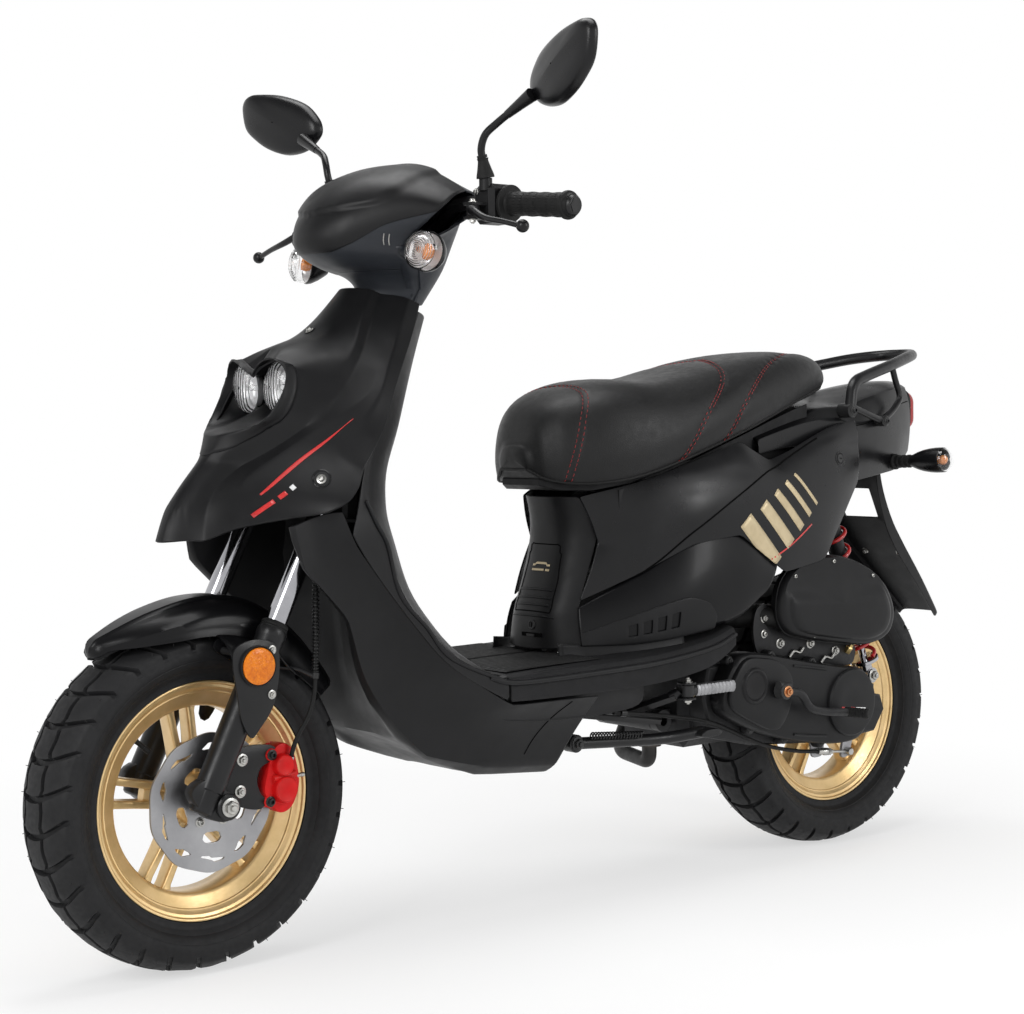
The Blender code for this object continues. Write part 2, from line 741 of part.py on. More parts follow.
MIRROR_BASE = Vector((0.191, 0.3893, 1.0995))


def make_mirror():
    """A bent stem with a cone boot and a leaf-shaped head."""
    base = MIRROR_BASE
    stem = tube("mirror_left", rounded([
        base + Vector((0.0, 0.0, 0.004)), Vector((0.1912, 0.3810, 1.1384)),
            Vector((0.2161, 0.3901, 1.1733)),
        Vector((0.2957, 0.3991, 1.2117)),
    ], 0.02, 2), 0.0055, None, 1)
    boot = lathe("boot", ((0.030, 0.0), (0.030, 0.0065), (0.008, 0.0105), (0.0, 0.0105), (0.0, 0.0)),
                 base, Z_AXIS, 12)
    rings = []
    outline = ((0.262, 1.183), (0.300, 1.184), (0.345, 1.198), (0.388, 1.232), (0.424, 1.288),
        (0.404, 1.291),
               (0.350, 1.268), (0.300, 1.240), (0.268, 1.212))
    centre = Vector((0.335, 0.0, 1.228))
    for y, share in ((0.382, 0.55), (0.388, 0.86), (0.398, 1.0), (0.407, 1.0), (0.408, 0.92)):
        ring = []
        for x, z in outline:
            lean = (x - 0.335) * -0.20
            ring.append(Vector((centre.x + (x - centre.x) * share, y + lean,
                centre.z + (z - centre.z) * share)))
        rings.append(ring)
    return fuse(loft("head", rings), stem, boot)


MIRROR = make_mirror()
MIRROR.name = "mirror_left"
MIRROR_RIGHT = other_side(MIRROR, "mirror_right")
finish(MIRROR, body("mirror_left_pivot", MIRROR_BASE, STEERING), MATTE, 0.45)
RIGHT_BASE = Vector((-MIRROR_BASE.x, MIRROR_BASE.y, MIRROR_BASE.z))
finish(MIRROR_RIGHT, body("mirror_right_pivot", RIGHT_BASE, STEERING), MATTE, 0.45)

# Front body

LEG_SHIELD_ROWS = (
    ((0.402, 0.905), (0.0745, 0.356, 0.915), 2.4, (0.0, -0.008, 0.000)),
    ((0.374, 0.850), (0.104, 0.309, 0.850), 2.4, (0.0, -0.010, -0.001)),
    ((0.350, 0.790), (0.134, 0.262, 0.790), 2.4, (0.0, -0.010, -0.001)),
    ((0.331, 0.735), (0.158, 0.220, 0.735), 2.4, (0.0, -0.010, -0.001)),
    ((0.308, 0.690), (0.174, 0.187, 0.690), 2.3, (0.0, -0.006, -0.001)),
    ((0.307, 0.648), (0.180, 0.182, 0.648), 2.2, (0.0, -0.011, -0.002)),
    ((0.315, 0.615), (0.184, 0.196, 0.616), 1.8, (0.0, -0.040, -0.014)),
    ((0.334, 0.580), (0.184, 0.214, 0.585), 1.6, (0.0, -0.036, -0.019)),
    ((0.354, 0.510), (0.184, 0.234, 0.516), 1.6, (0.0, -0.004, -0.014)),
    ((0.382, 0.466), (0.184, 0.280, 0.466), 1.8, (0.0, -0.008, -0.010)),
    ((0.404, 0.425), (0.184, 0.325, 0.418), 2.2, (0.0, -0.004, -0.016)),
    ((0.434, 0.387), (0.180, 0.4335, 0.374), 2.6, (0.0, -0.003, -0.026)),
)


def make_leg_shield():
    """The inner panel, its edge rolled forward all along."""
    rows = []
    for centre, edge, fullness, lip in LEG_SHIELD_ROWS:
        row = across(centre, edge, 7, fullness, 2.0)
        row.append(row[-1] + Vector(lip))
        rows.append(row)
    return shell("leg_shield", rows, True, (), PANEL, 1.0)


finish(make_leg_shield(), CHASSIS, MATTE, 0.6)


APRON_ROWS = (
    ((0.277, 0.951), (0.040, 0.296, 0.948), (0.064, 0.328, 0.938), (0.079, 0.354, 0.926)),
    ((0.240, 0.908), (0.056, 0.264, 0.904), (0.080, 0.300, 0.897), (0.096, 0.331, 0.888)),
    ((0.205, 0.881), (0.078, 0.240, 0.869), (0.098, 0.273, 0.861), (0.112, 0.303, 0.850)),
    ((0.150, 0.864), (0.090, 0.218, 0.847), (0.114, 0.250, 0.833), (0.130, 0.275, 0.815)),
    ((0.116, 0.821), (0.096, 0.193, 0.817), (0.134, 0.232, 0.803), (0.146, 0.251, 0.782)),
    ((0.080, 0.790), (0.096, 0.164, 0.788), (0.134, 0.200, 0.781), (0.157, 0.235, 0.755)),
    ((0.046, 0.738), (0.090, 0.134, 0.759), (0.124, 0.170, 0.760), (0.172, 0.205, 0.722)),
    ((0.038, 0.720), (0.064, 0.098, 0.727), (0.102, 0.130, 0.733), (0.180, 0.178, 0.694)),
    ((0.032, 0.702), (0.034, 0.063, 0.704), (0.064, 0.076, 0.692), (0.181, 0.170, 0.668)),
    ((0.010, 0.668), (0.026, 0.028, 0.671), (0.056, 0.050, 0.668), (0.180, 0.158, 0.652)),
    ((-0.016, 0.634), (0.030, 0.005, 0.638), (0.070, 0.036, 0.642), (0.177, 0.144, 0.642)),
    ((-0.042, 0.595), (0.034, -0.008, 0.597), (0.090, 0.028, 0.614), (0.172, 0.120, 0.634)),
)
LAMP_TOP = ((0.0, 0.116, 0.821), (0.020, 0.113, 0.833), (0.046, 0.122, 0.845), (0.070, 0.142, 0.834))
LAMP_SIDE = (0.072, 0.121, 0.798)
LAMP_LIP = ((0.0, 0.046, 0.738), (0.022, 0.050, 0.740), (0.044, 0.064, 0.745), (0.065, 0.091, 0.755))


def apron_row(centre, crease, fold, edge):
    """From the middle over the lamp pod to its crease, into the wing, over its fold and to the edge."""
    crease, fold, edge = Vector(crease), Vector(fold), Vector(edge)
    row = across(centre, crease, 5, 2.2, 2.2)
    row.append(crease.lerp(fold, 0.22) + Vector((0.0, 0.005, -0.005)))
    row.append(crease.lerp(fold, 0.62) + Vector((0.0, 0.003, -0.002)))
    row.append(fold)
    row.append(fold.lerp(edge, 0.5) + Vector((0.003, -0.004, 0.002)))
    row.append(edge)
    return row


def make_apron():
    """The front shell: collar, brow over two lamps, lip below them,
        creased wings and the pointed beak."""
    rows = [apron_row(*row) for row in APRON_ROWS]
    rows[4][:4] = [Vector(point) for point in LAMP_TOP]
    rows[5][3] = Vector(LAMP_SIDE)
    rows[6][:4] = [Vector(point) for point in LAMP_LIP]
    holes = [(row, column) for row in (4, 5) for column in range(3)]
    return shell("front_apron", rows, True, holes, PANEL, -1.0)


finish(make_apron(), CHASSIS, MATTE, 0.5)


LAMP_X, LAMP_Y, LAMP_Z = 0.040, 0.134, 0.806
LAMP_LEAN = math.radians(13.0)


def oval(side, y, share, half_x=0.026, half_z=0.0345, steps=14):
    """A ring of one lamp, leaning outwards at the top."""
    ring = []
    for step in range(steps):
        angle = step * math.tau / steps
        x = half_x * share * math.cos(angle)
        z = half_z * share * math.sin(angle)
        lean = Vector((x * math.cos(LAMP_LEAN) + z * math.sin(LAMP_LEAN), 0.0,
                       z * math.cos(LAMP_LEAN) - x * math.sin(LAMP_LEAN)))
        ring.append(Vector((side * (LAMP_X + lean.x), y, LAMP_Z + lean.z)))
    return ring


def make_headlight():
    """A housing behind the brow with two leaning oval lamps and the shelf below them."""
    rings = []
    for y, wide, top, low in ((0.146, 0.072, 0.838, 0.760), (0.166, 0.074, 0.838, 0.758),
            (0.196, 0.054, 0.828, 0.768)):
        middle, tall = (top + low) / 2, (top - low) / 2
        rings.append([Vector((wide * x, y, middle + tall * z)) for x, z in (
            (1.0, 0.35), (0.80, 0.85), (0.45, 1.0), (0.12, 0.92), (-0.12, 0.92), (-0.45, 1.0),
            (-0.80, 0.85),
            (-1.0, 0.35), (-0.90, -0.55), (-0.60, -1.0), (0.60, -1.0), (0.90, -0.55))])
    housing = loft("headlight_unit", rings)
    for side in SIDES:
        stops = ((0.150, 1.0), (0.134, 1.0), (0.127, 0.82), (0.124, 0.42))
        housing = fuse(housing, loft("lamp", [oval(side, y, share) for y, share in stops]))
    shelf = shell("shelf", [
        across((0.160, 0.7630), (0.062, 0.160, 0.7650), 4),
            across((0.105, 0.7560), (0.060, 0.120, 0.7600), 4),
        across((0.060, 0.7445), (0.052, 0.086, 0.7530), 4)], True, (), 0.0025, 1.0)
    return fuse(housing, shelf)


finish(make_headlight(), CHASSIS, CLEAR, 0.1)


BELLY_ROWS = (
    ((0.262, 0.616), (0.116, 0.248, 0.616), (0.134, 0.080, 0.615), (0.147, 0.086, 0.617),
     (0.168, 0.150, 0.634)),
    ((0.258, 0.560), (0.114, 0.240, 0.560), (0.139, 0.101, 0.556), (0.153, 0.097, 0.555),
     (0.1795, 0.165, 0.586)),
    ((0.256, 0.515), (0.108, 0.234, 0.515), (0.139, 0.143, 0.514), (0.152, 0.139, 0.515),
     (0.1795, 0.200, 0.541)),
    ((0.256, 0.470), (0.102, 0.228, 0.472), (0.131, 0.176, 0.480), (0.146, 0.173, 0.482),
     (0.1795, 0.236, 0.498)),
    ((0.263, 0.400), (0.090, 0.238, 0.400), (0.112, 0.206, 0.402), (0.128, 0.206, 0.404),
     (0.1795, 0.292, 0.440)),
    ((0.278, 0.345), (0.085, 0.258, 0.348), (0.106, 0.234, 0.356), (0.122, 0.236, 0.358),
     (0.1795, 0.345, 0.394)),
    ((0.290, 0.300), (0.080, 0.290, 0.300), (0.098, 0.286, 0.300), (0.114, 0.284, 0.307),
     (0.178, 0.395, 0.366)),
    ((0.362, 0.272), (0.075, 0.352, 0.266), (0.094, 0.338, 0.262), (0.114, 0.328, 0.270),
     (0.176, 0.440, 0.3385)),
    ((0.440, 0.226), (0.075, 0.438, 0.226), (0.094, 0.434, 0.228), (0.116, 0.430, 0.242),
     (0.175, 0.525, 0.3380)),
    ((0.575, 0.212), (0.075, 0.575, 0.213), (0.094, 0.575, 0.217), (0.116, 0.575, 0.231),
     (0.174, 0.612, 0.3370)),
)


def belly_row(centre, corner, inner, outer, edge):
    """From the middle of the front wall round the keel of the cheek and back along the hollow side."""
    outer, edge = Vector(outer), Vector(edge)
    middle = Vector((0.0, centre[0], centre[1]))
    row = [middle, middle.lerp(Vector(corner), 0.55), Vector(corner), Vector(inner), outer]
    for share in (0.36, 0.72):
        hollow = 4 * share * (1 - share)
        row.append(outer.lerp(edge, share) + Vector((-0.006, 0.004, 0.004)) * hollow)
    row.append(edge)
    return row


def make_belly():
    """The lower fairing: a wall behind the front wheel between two cheeks,
        then the pan under the floor."""
    return shell("belly_pan", [belly_row(*row) for row in BELLY_ROWS], True, (), PANEL, -1.0)


finish(make_belly(), CHASSIS, MATTE, 0.6)


def make_floor():
    rows = []
    for y, top, low in ((0.4375, 0.384, 0.3450), (0.520, 0.387, 0.3430), (0.640, 0.389, 0.3430),
            (0.715, 0.391, 0.3440),
                        (0.790, 0.397, 0.350), (0.862, 0.408, 0.362), (0.905, 0.424, 0.392)):
        rows.append([Vector((x, y, z)) for x, z in (
            (0.0, top), (0.115, top), (0.155, top), (0.170, top - 0.004), (0.1765, top - 0.014),
            (0.1765, low))])
    open_middle = [(row, 0) for row in range(2, 6)]
    return shell("floorboard", rows, True, open_middle, 0.0035, 1.0)


finish(make_floor(), CHASSIS, MATTE, 0.75)


def make_pillar():
    rows = []
    for centre, edge in (
        ((0.616, 0.3955), (0.086, 0.6560, 0.4010)), ((0.618, 0.454), (0.0755, 0.656, 0.456)),
        ((0.632, 0.478), (0.0745, 0.664, 0.478)), ((0.664, 0.574), (0.0765, 0.700, 0.574)),
        ((0.644, 0.634), (0.0635, 0.672, 0.634)),
    ):
        rows.append(across(centre, edge, 6, 3.0, 2.0))
    return shell("pillar_cover", rows, True, (), PANEL, 1.0)


finish(make_pillar(), CHASSIS, MATTE, 0.6)

# Rear body

PANEL_STATIONS = (
    ((0.0690, 0.6680, 0.634), (0.0815, 0.694, 0.562), (0.0805, 0.656, 0.472)),
    ((0.114, 0.745, 0.654), (0.134, 0.758, 0.586), (0.121, 0.748, 0.512)),
    ((0.136, 0.840, 0.682), (0.161, 0.840, 0.620), (0.153, 0.836, 0.556)),
    ((0.138, 0.955, 0.716), (0.167, 0.950, 0.650), (0.164, 0.930, 0.566)),
    ((0.142, 1.018, 0.684), (0.166, 1.010, 0.630), (0.164, 0.985, 0.531)),
    ((0.140, 1.075, 0.699), (0.1630, 1.070, 0.650), (0.163, 1.035, 0.500)),
    ((0.1335, 1.170, 0.738), (0.151, 1.176, 0.690), (0.157, 1.138, 0.515)),
    ((0.1245, 1.2500, 0.748), (0.132, 1.2500, 0.704), (0.131, 1.2500, 0.640)),
)


def bowed(points, steps, bow):
    """Points along a line through three points, with the middle of each half pushed out a little."""
    row = []
    for part in range(2):
        start = Vector(points[part])
        end = Vector(points[part + 1])
        for step in range(steps):
            t = step / steps
            row.append(start.lerp(end, t) + X_AXIS * (bow * 4 * t * (1 - t)))
    row.append(Vector(points[2]))
    return row


PANEL_LEFT = shell("side_panel_left", [bowed(station, 3, 0.004) for station in PANEL_STATIONS], False,
    (), PANEL, 1.0)
finish(other_side(PANEL_LEFT, "side_panel_right"), CHASSIS, MATTE, 0.45)
finish(PANEL_LEFT, CHASSIS, MATTE, 0.45)

TRIM_STATIONS = (
    ((0.0805, 0.652, 0.462), (0.0880, 0.648, 0.434), (0.0935, 0.648, 0.404)),
    ((0.1105, 0.742, 0.510), (0.131, 0.735, 0.452), (0.130, 0.735, 0.404)),
    ((0.1460, 0.834, 0.560), (0.161, 0.826, 0.482), (0.153, 0.822, 0.413)),
    ((0.1570, 0.930, 0.570), (0.169, 0.925, 0.500), (0.163, 0.918, 0.432)),
    ((0.1570, 1.022, 0.514), (0.166, 1.002, 0.490), (0.165, 0.985, 0.470)),
)


def trim_row(t):
    """One line of the trim from top to bottom, t counting along its stations."""
    index = min(int(t), len(TRIM_STATIONS) - 2)
    pairs = zip(TRIM_STATIONS[index], TRIM_STATIONS[index + 1])
    top, middle, low = (Vector(start).lerp(Vector(end), t - index) for start, end in pairs)
    bend = middle * 2 - (top + low) / 2
    return [top * (1 - w) ** 2 + bend * 2 * w * (1 - w) + low * w * w for w in (0.0, 0.30, 0.58, 0.82,
        1.0)]


def make_trim():
    """The gloss infill with four square vents in a row."""
    stops = [0.0, 1.0]
    for vent in range(4):
        stops += [1.06 + 0.235 * vent, 1.20 + 0.235 * vent]
    stops += [2.0, 3.0, 4.0]
    vents = [(2 + 2 * vent, 2) for vent in range(4)]
    return shell("side_trim_left", [trim_row(t) for t in stops], False, vents, PANEL, 1.0)


TRIM_LEFT = make_trim()
finish(other_side(TRIM_LEFT, "side_trim_right"), CHASSIS, GLOSS, 0.12)
finish(TRIM_LEFT, CHASSIS, GLOSS, 0.12)


def make_tail():
    """The tail, with a channel that runs forward under the seat between the side panels."""
    rows = []
    for y, half, top, low, foot in (
            (1.0200, 0.1185, 0.729, 0.694, 1.0), (1.1000, 0.1185, 0.755, 0.706, 1.0),
            (1.1800, 0.1185, 0.776, 0.706, 1.0), (1.2420, 0.1185, 0.782, 0.676, 1.0),
            (1.2560, 0.1210, 0.784, 0.640, 0.92), (1.340, 0.107, 0.806, 0.650, 0.90),
            (1.420, 0.086, 0.818, 0.658, 0.90), (1.472, 0.064, 0.818, 0.690, 0.90)):
        rows.append([Vector((x * half, y, low + (top - low) * z)) for x, z in (
            (0.0, 1.0), (0.45, 0.98), (0.80, 0.90), (0.98, 0.66), (1.0, 0.30), (foot, 0.0))])
    return shell("tail_cover", rows, True, (), PANEL, 1.0)


finish(make_tail(), CHASSIS, MATTE, 0.5)


def make_tail_light():
    rings = []
    for y, wide, top, low in ((1.474, 0.054, 0.803, 0.722), (1.488, 0.054, 0.800, 0.722),
            (1.502, 0.044, 0.790, 0.732),
                              (1.506, 0.020, 0.772, 0.748)):
        middle = (top + low) / 2
        tall = (top - low) / 2
        rings.append([Vector((wide * x, y, middle + tall * z)) for x, z in (
            (1.0, 0.3), (0.8, 0.85), (0.3, 1.0), (-0.3, 1.0), (-0.8, 0.85), (-1.0, 0.3), (-0.9, -0.5),
            (-0.5, -1.0),
            (0.5, -1.0), (0.9, -0.5))])
    return loft("tail_light", rings)


finish(make_tail_light(), CHASSIS, RED, 0.15)


def make_rail():
    """The grab rail, with a thinner hoop on each side that runs back up to it."""
    half = [(0.1330, 1.229, 0.7660), (0.1260, 1.243, 0.812), (0.115, 1.307, 0.828), (0.101, 1.373, 0.842),
            (0.068, 1.462, 0.859), (0.036, 1.514, 0.865)]
    path = [Vector(p) for p in half] + [Vector((-x, y, z)) for x, y, z in reversed(half)]
    rail = tube("grab_rail", rounded(path, 0.03, 2), 0.0100, None, 1)
    for side in SIDES:
        hoop = [(0.1325, 1.229, 0.7720), (0.1250, 1.298, 0.7520), (0.1190, 1.331, 0.7450), (0.1090, 1.371, 0.7640),
                (0.1010, 1.401, 0.7860), (0.0985, 1.390, 0.8120), (0.1000, 1.377, 0.8430)]
        path = [Vector((side * x, y, z)) for x, y, z in hoop]
        rail = fuse(rail, tube("hoop", rounded(path, 0.015, 2), 0.0055, None, 1))
    return rail


finish(make_rail(), CHASSIS, MATTE, 0.4)


def make_rear_mudguard():
    """A plate that hangs from the tail and runs down behind the wheel, with a window and a flap."""
    rows = []
    stations = (
        (1.386, 0.712, 0.066, 0.008), (1.384, 0.664, 0.072, 0.012), (1.388, 0.624, 0.076, 0.016),
        (1.414, 0.572, 0.074, 0.022), (1.436, 0.546, 0.071, 0.024), (1.460, 0.518, 0.068, 0.024),
        (1.520, 0.456, 0.058, 0.018), (1.578, 0.392, 0.043, 0.010),
    )
    for index, (y, z, half, deep) in enumerate(stations):
        before = stations[max(index - 1, 0)]
        after = stations[min(index + 1, len(stations) - 1)]
        inward = Vector((0.0, after[1] - before[1], before[0] - after[0])).normalized()
        row = []
        for share, fall in ((0.0, 0.0), (0.42, 0.0), (0.52, 0.0), (0.90, 0.002), (1.0, 0.008),
                (1.0, deep + 0.006)):
            row.append(Vector((share * half, y, z)) + inward * fall)
        rows.append(row)
    return shell("rear_mudguard", rows, True, [(2, 0), (2, 1)], PANEL, 1.0)


finish(make_rear_mudguard(), CHASSIS, MATTE, 0.55)


def make_rear_signal(side):
    profile = [(0.118, 0.0), (0.117, 0.010), (0.112, 0.019), (0.104, 0.0235), (0.082, 0.0245),
        (0.074, 0.020),
               (0.066, 0.012)]
    for rib in range(3):
        low = 0.054 - rib * 0.016
        profile += [(low, 0.0085), (low - 0.007, 0.0110)]
    profile += [(0.0, 0.0105), (0.0, 0.0)]
    start = Vector((side * 0.0900, 1.398, 0.672))
    return lathe("rear_signal_" + SIDE_NAME[side], profile, start,
        X_AXIS * side + Vector((0.0, 0.05, 0.04)), 12)


for side in SIDES:
    finish(make_rear_signal(side), CHASSIS, MATTE, 0.4)


def make_tank():
    tank = box("fuel_tank", (-0.070, 0.752, 0.505), (0.070, 0.995, 0.640), 0.022, 2)
    cap = rod("cap", (0.0, 0.800, 0.630), (0.0, 0.800, 0.6560), 0.030, 16)
    return fuse(tank, cap)


finish(make_tank(), CHASSIS, (0.06, 0.06, 0.06), 0.6)

# Seat

SEAT_STATIONS = (
    (0.597, 0.676, 0.716, 0.038), (0.606, 0.664, 0.748, 0.060), (0.632, 0.656, 0.781, 0.090),
    (0.680, 0.655, 0.806, 0.118),
    (0.745, 0.664, 0.817, 0.137), (0.820, 0.684, 0.817, 0.146), (0.890, 0.706, 0.827, 0.149),
    (0.945, 0.724, 0.840, 0.149),
    (1.000, 0.742, 0.851, 0.146), (1.070, 0.766, 0.861, 0.137), (1.140, 0.788, 0.865, 0.121),
    (1.195, 0.800, 0.860, 0.098),
    (1.228, 0.806, 0.846, 0.072), (1.245, 0.812, 0.832, 0.048),
)


def seat_ring(y, low, top, half):
    """One section of the cushion: flat below, drawn-in sides and a crowned top."""
    tall = top - low
    shape = ((0.0, 1.0), (0.36, 0.985), (0.66, 0.92), (0.86, 0.76), (0.97, 0.52), (1.0, 0.28),
        (0.955, 0.08), (0.90, 0.0))
    right = [Vector((-half * x, y, low + tall * z)) for x, z in reversed(shape[1:])]
    return [Vector((half * x, y, low + tall * z)) for x, z in shape] + [Vector((0.0, y, low))] + right


finish(loft("seat_cushion", [seat_ring(*station) for station in SEAT_STATIONS]), SEAT, RUBBER, 0.6)


def make_seat_base():
    rings = []
    for y, low, top, half in SEAT_STATIONS[1:-1]:
        wide = half * 0.74
        rings.append([Vector((wide, y, low - 0.0008)), Vector((-wide, y, low - 0.0008)),
                      Vector((-wide, y, low - 0.0110)), Vector((wide, y, low - 0.0110))])
    return loft("seat_base", rings)


finish(make_seat_base(), SEAT, (0.03, 0.03, 0.03), 0.7)

# Frame

def make_frame():
    """Head tube, down tube, floor spine, seat rails, engine plates and brackets, welded as one."""
    frame = rod("main_frame", fork_point(0.520), fork_point(0.745), 0.026, 16)
    pieces = [tube("down_tube", rounded([
        fork_point(0.665, -0.018), Vector((0.0, 0.2810, 0.660)), Vector((0.0, 0.2830, 0.420)),
        Vector((0.0, 0.370, 0.298)), Vector((0.0, 0.640, 0.298)),
    ], 0.06, 2), 0.0135, None, 1)]
    for side in SIDES:
        rail = [(0.0, 0.615, 0.298), (0.058, 0.648, 0.300), (0.074, 0.735, 0.440),
            (0.098, 0.800, 0.590),
                (0.104, 1.000, 0.662), (0.098, 1.240, 0.712), (0.050, 1.410, 0.740)]
        pieces.append(tube("rail", rounded([(side * x, y, z) for x, y, z in rail], 0.05, 2), 0.0115,
            None, 1))
        pieces.append(tube("engine_arm", [(side * 0.060, 0.632, 0.300), (side * 0.070, 0.842, 0.266)],
            0.0095, None, 1))
        eye = rod("engine_eye", (side * 0.0585, SWING_Y, SWING_Z), (side * 0.0745, SWING_Y, SWING_Z),
            0.0180, 12)
        pieces.append(eye)
        peg_arm = [(side * 0.060, 0.750, 0.281), (side * 0.149, 0.796, 0.318)]
        pieces.append(tube("peg_arm", peg_arm, 0.009, None, 1))
    pieces.append(tube("rear_cross", [(0.107, 1.100, 0.682), (-0.107, 1.100, 0.682)], 0.009, None, 1))
    pieces.append(tube("stand_arm", [(0.0, 0.628, 0.298), (0.070, 0.628, 0.262)], 0.010, None, 1))
    hang = [SHOCK_TOP + Vector((0.007, -0.004, 0.098)), SHOCK_TOP + Vector((0.007, 0.0, 0.034))]
    pieces.append(tube("shock_hanger", hang, 0.010, None, 1))
    frame = fuse(frame, *pieces)
    bore = rod("swing_bore", (-0.10, SWING_Y, SWING_Z), (0.10, SWING_Y, SWING_Z), 0.0085, 12)
    head_bore = rod("head_bore", fork_point(0.50), fork_point(0.77), 0.0162, 16)
    return cut(frame, bore, head_bore)


finish(make_frame(), CHASSIS, (0.03, 0.03, 0.03), 0.5)

# Stand and passenger pegs

def make_stand():
    foot = Vector((0.138, 0.866, 0.252))
    leg = tube("side_stand", rounded([
        STAND_PIVOT + Vector((0.004, -0.004, 0.0)), STAND_PIVOT + Vector((0.022, 0.170, -0.010)), foot,
    ], 0.06), 0.0095, None, 1)
    eye = rod("eye", STAND_PIVOT - X_AXIS * 0.010, STAND_PIVOT + X_AXIS * 0.012, 0.014, 12)
    pad = box("pad", foot + Vector((-0.014, -0.020, -0.006)), foot + Vector((0.020, 0.026, 0.006)),
        0.004)
    return fuse(leg, eye, pad)


finish(make_stand(), STAND, (0.03, 0.03, 0.03), 0.5)


def make_peg():
    """A folding alloy peg, shown folded back."""
    peg = box("footpeg_left", PEG_PIVOT + Vector((-0.009, -0.006, -0.010)),
        PEG_PIVOT + Vector((0.011, 0.098, 0.010)),
              0.004)
    return peg


PEG = make_peg()
PEG_RIGHT = other_side(PEG, "footpeg_right")
finish(PEG, body("footpeg_left_pivot", PEG_PIVOT), ALLOY, 0.35, 0.9)
finish(PEG_RIGHT, body("footpeg_right_pivot", (-PEG_PIVOT.x, PEG_PIVOT.y, PEG_PIVOT.z)), ALLOY, 0.35,
    0.9)

# Power unit

def make_engine():
    """Crankcase with hanger eyes, cylinder, fan housing, side arm with the rear axle and shock lug."""
    case = plate("engine_case", (
        (0.900, 0.352), (0.888, 0.300), (0.905, 0.235), (1.000, 0.212), (1.200, 0.196), (1.310, 0.204),
        (1.336, 0.240), (1.326, 0.266), (1.268, 0.278), (1.215, 0.330), (1.060, 0.362),
    ), 0.042, side_view(0.0965), 0.004)
    crank = box("crankcase", (-0.074, 0.878, 0.215), (0.080, 1.016, 0.348), 0.014)
    barrel = box("cylinder", (-0.058, 0.884, 0.335), (0.060, 0.990, 0.450), 0.012)
    fan = lathe("fan", ((0.040, 0.0), (0.040, 0.048), (0.030, 0.062), (-0.012, 0.063), (-0.012, 0.0)),
                Vector((-0.074, 0.949, 0.283)), -X_AXIS, 18)
    hanger = rod("hanger", (-0.0575, SWING_Y, SWING_Z), (0.0575, SWING_Y, SWING_Z), 0.0180, 14)
    web = box("web", (-0.050, SWING_Y + 0.004, SWING_Z - 0.012), (0.050, 0.895, SWING_Z + 0.014))
    axle = rod("axle", (0.090, WHEELBASE, REAR_AXLE_Z), (-0.078, WHEELBASE, REAR_AXLE_Z), 0.0100, 14)
    lug = tube("lug", [SHOCK_FOOT + Vector((0.0, -0.006, -0.070)),
        SHOCK_FOOT + Vector((0.0, 0.0, -0.0150))],
               0.011, None, 1)
    case = fuse(case, crank, barrel, fan, web, hanger, axle, lug)
    bore = rod("swing_bore", (-0.10, SWING_Y, SWING_Z), (0.10, SWING_Y, SWING_Z), 0.0085, 12)
    return cut(case, bore)


finish(make_engine(), SWING, (0.05, 0.05, 0.05), 0.5, 0.3)


def make_cvt_cover():
    outline = ((0.918, 0.330), (0.914, 0.290), (0.930, 0.254), (0.972, 0.230), (1.080, 0.208),
        (1.170, 0.198),
               (1.236, 0.206), (1.272, 0.240), (1.276, 0.282), (1.250, 0.322), (1.200, 0.342),
               (1.080, 0.356),
               (0.990, 0.368), (0.940, 0.358))
    cover = plate("cvt_cover", outline, 0.038, side_view(0.1378), 0.007, 2)
    for y, z, radius, rise in ((0.990, 0.300, 0.052, 0.1605), (1.196, 0.270, 0.050, 0.1605)):
        swell = lathe("swell", ((rise, 0.0), (rise, radius - 0.010), (rise - 0.006, radius),
            (0.150, radius),
                                (0.150, 0.0)), Vector((0.0, y, z)), X_AXIS, 18)
        cover = fuse(cover, swell)
    return cover


finish(make_cvt_cover(), SWING, MATTE, 0.45)


def make_airbox():
    outline = ((1.040, 0.440), (1.052, 0.482), (1.090, 0.510), (1.160, 0.520), (1.230, 0.508),
        (1.290, 0.478),
               (1.322, 0.440), (1.330, 0.404), (1.312, 0.374), (1.262, 0.362), (1.180, 0.370),
               (1.090, 0.386),
               (1.052, 0.404))
    return plate("airbox", outline, 0.026, side_view(0.1370), 0.008, 2)


finish(make_airbox(), SWING, MATTE, 0.5)


def make_muffler():
    start = Vector((-0.140, 1.030, 0.296))
    end = Vector((-0.142, 1.410, 0.350))
    run = end - start
    size = run.length
    can = lathe("muffler", (
        (size, 0.0), (size, 0.026), (size - 0.012, 0.044), (size - 0.030, 0.049), (0.060, 0.049),
        (0.020, 0.036),
        (0.0, 0.018), (0.0, 0.0),
    ), start, run, 16)
    pipe = tube("pipe", rounded([
        Vector((-0.030, 0.906, 0.2140)), Vector((-0.030, 0.906, 0.178)), Vector((-0.138, 0.930, 0.184)),
        Vector((-0.140, 0.990, 0.288)), start + run * 0.03,
    ], 0.03, 2), 0.0125, None, 1)
    return fuse(can, pipe)


finish(make_muffler(), SWING, (0.05, 0.05, 0.05), 0.4, 0.6)


def make_kick():
    hub = KICK_AXIS + X_AXIS * 0.161
    boss = rod("kick_lever", hub + X_AXIS * 0.0003, hub + X_AXIS * 0.019, 0.0135, 14)
    arm = tube("arm", rounded([
        hub + Vector((0.010, 0.004, 0.0)), hub + Vector((0.014, 0.050, -0.006)),
            hub + Vector((0.014, 0.150, -0.030)),
    ], 0.03, 2), 0.0075, None, 1)
    pedal = tube("pedal", [hub + Vector((0.006, 0.150, -0.030)), hub + Vector((0.052, 0.160, -0.030))],
        0.0085, None, 1)
    return fuse(boss, arm, pedal)


finish(make_kick(), KICK, (0.06, 0.06, 0.06), 0.45, 0.3)

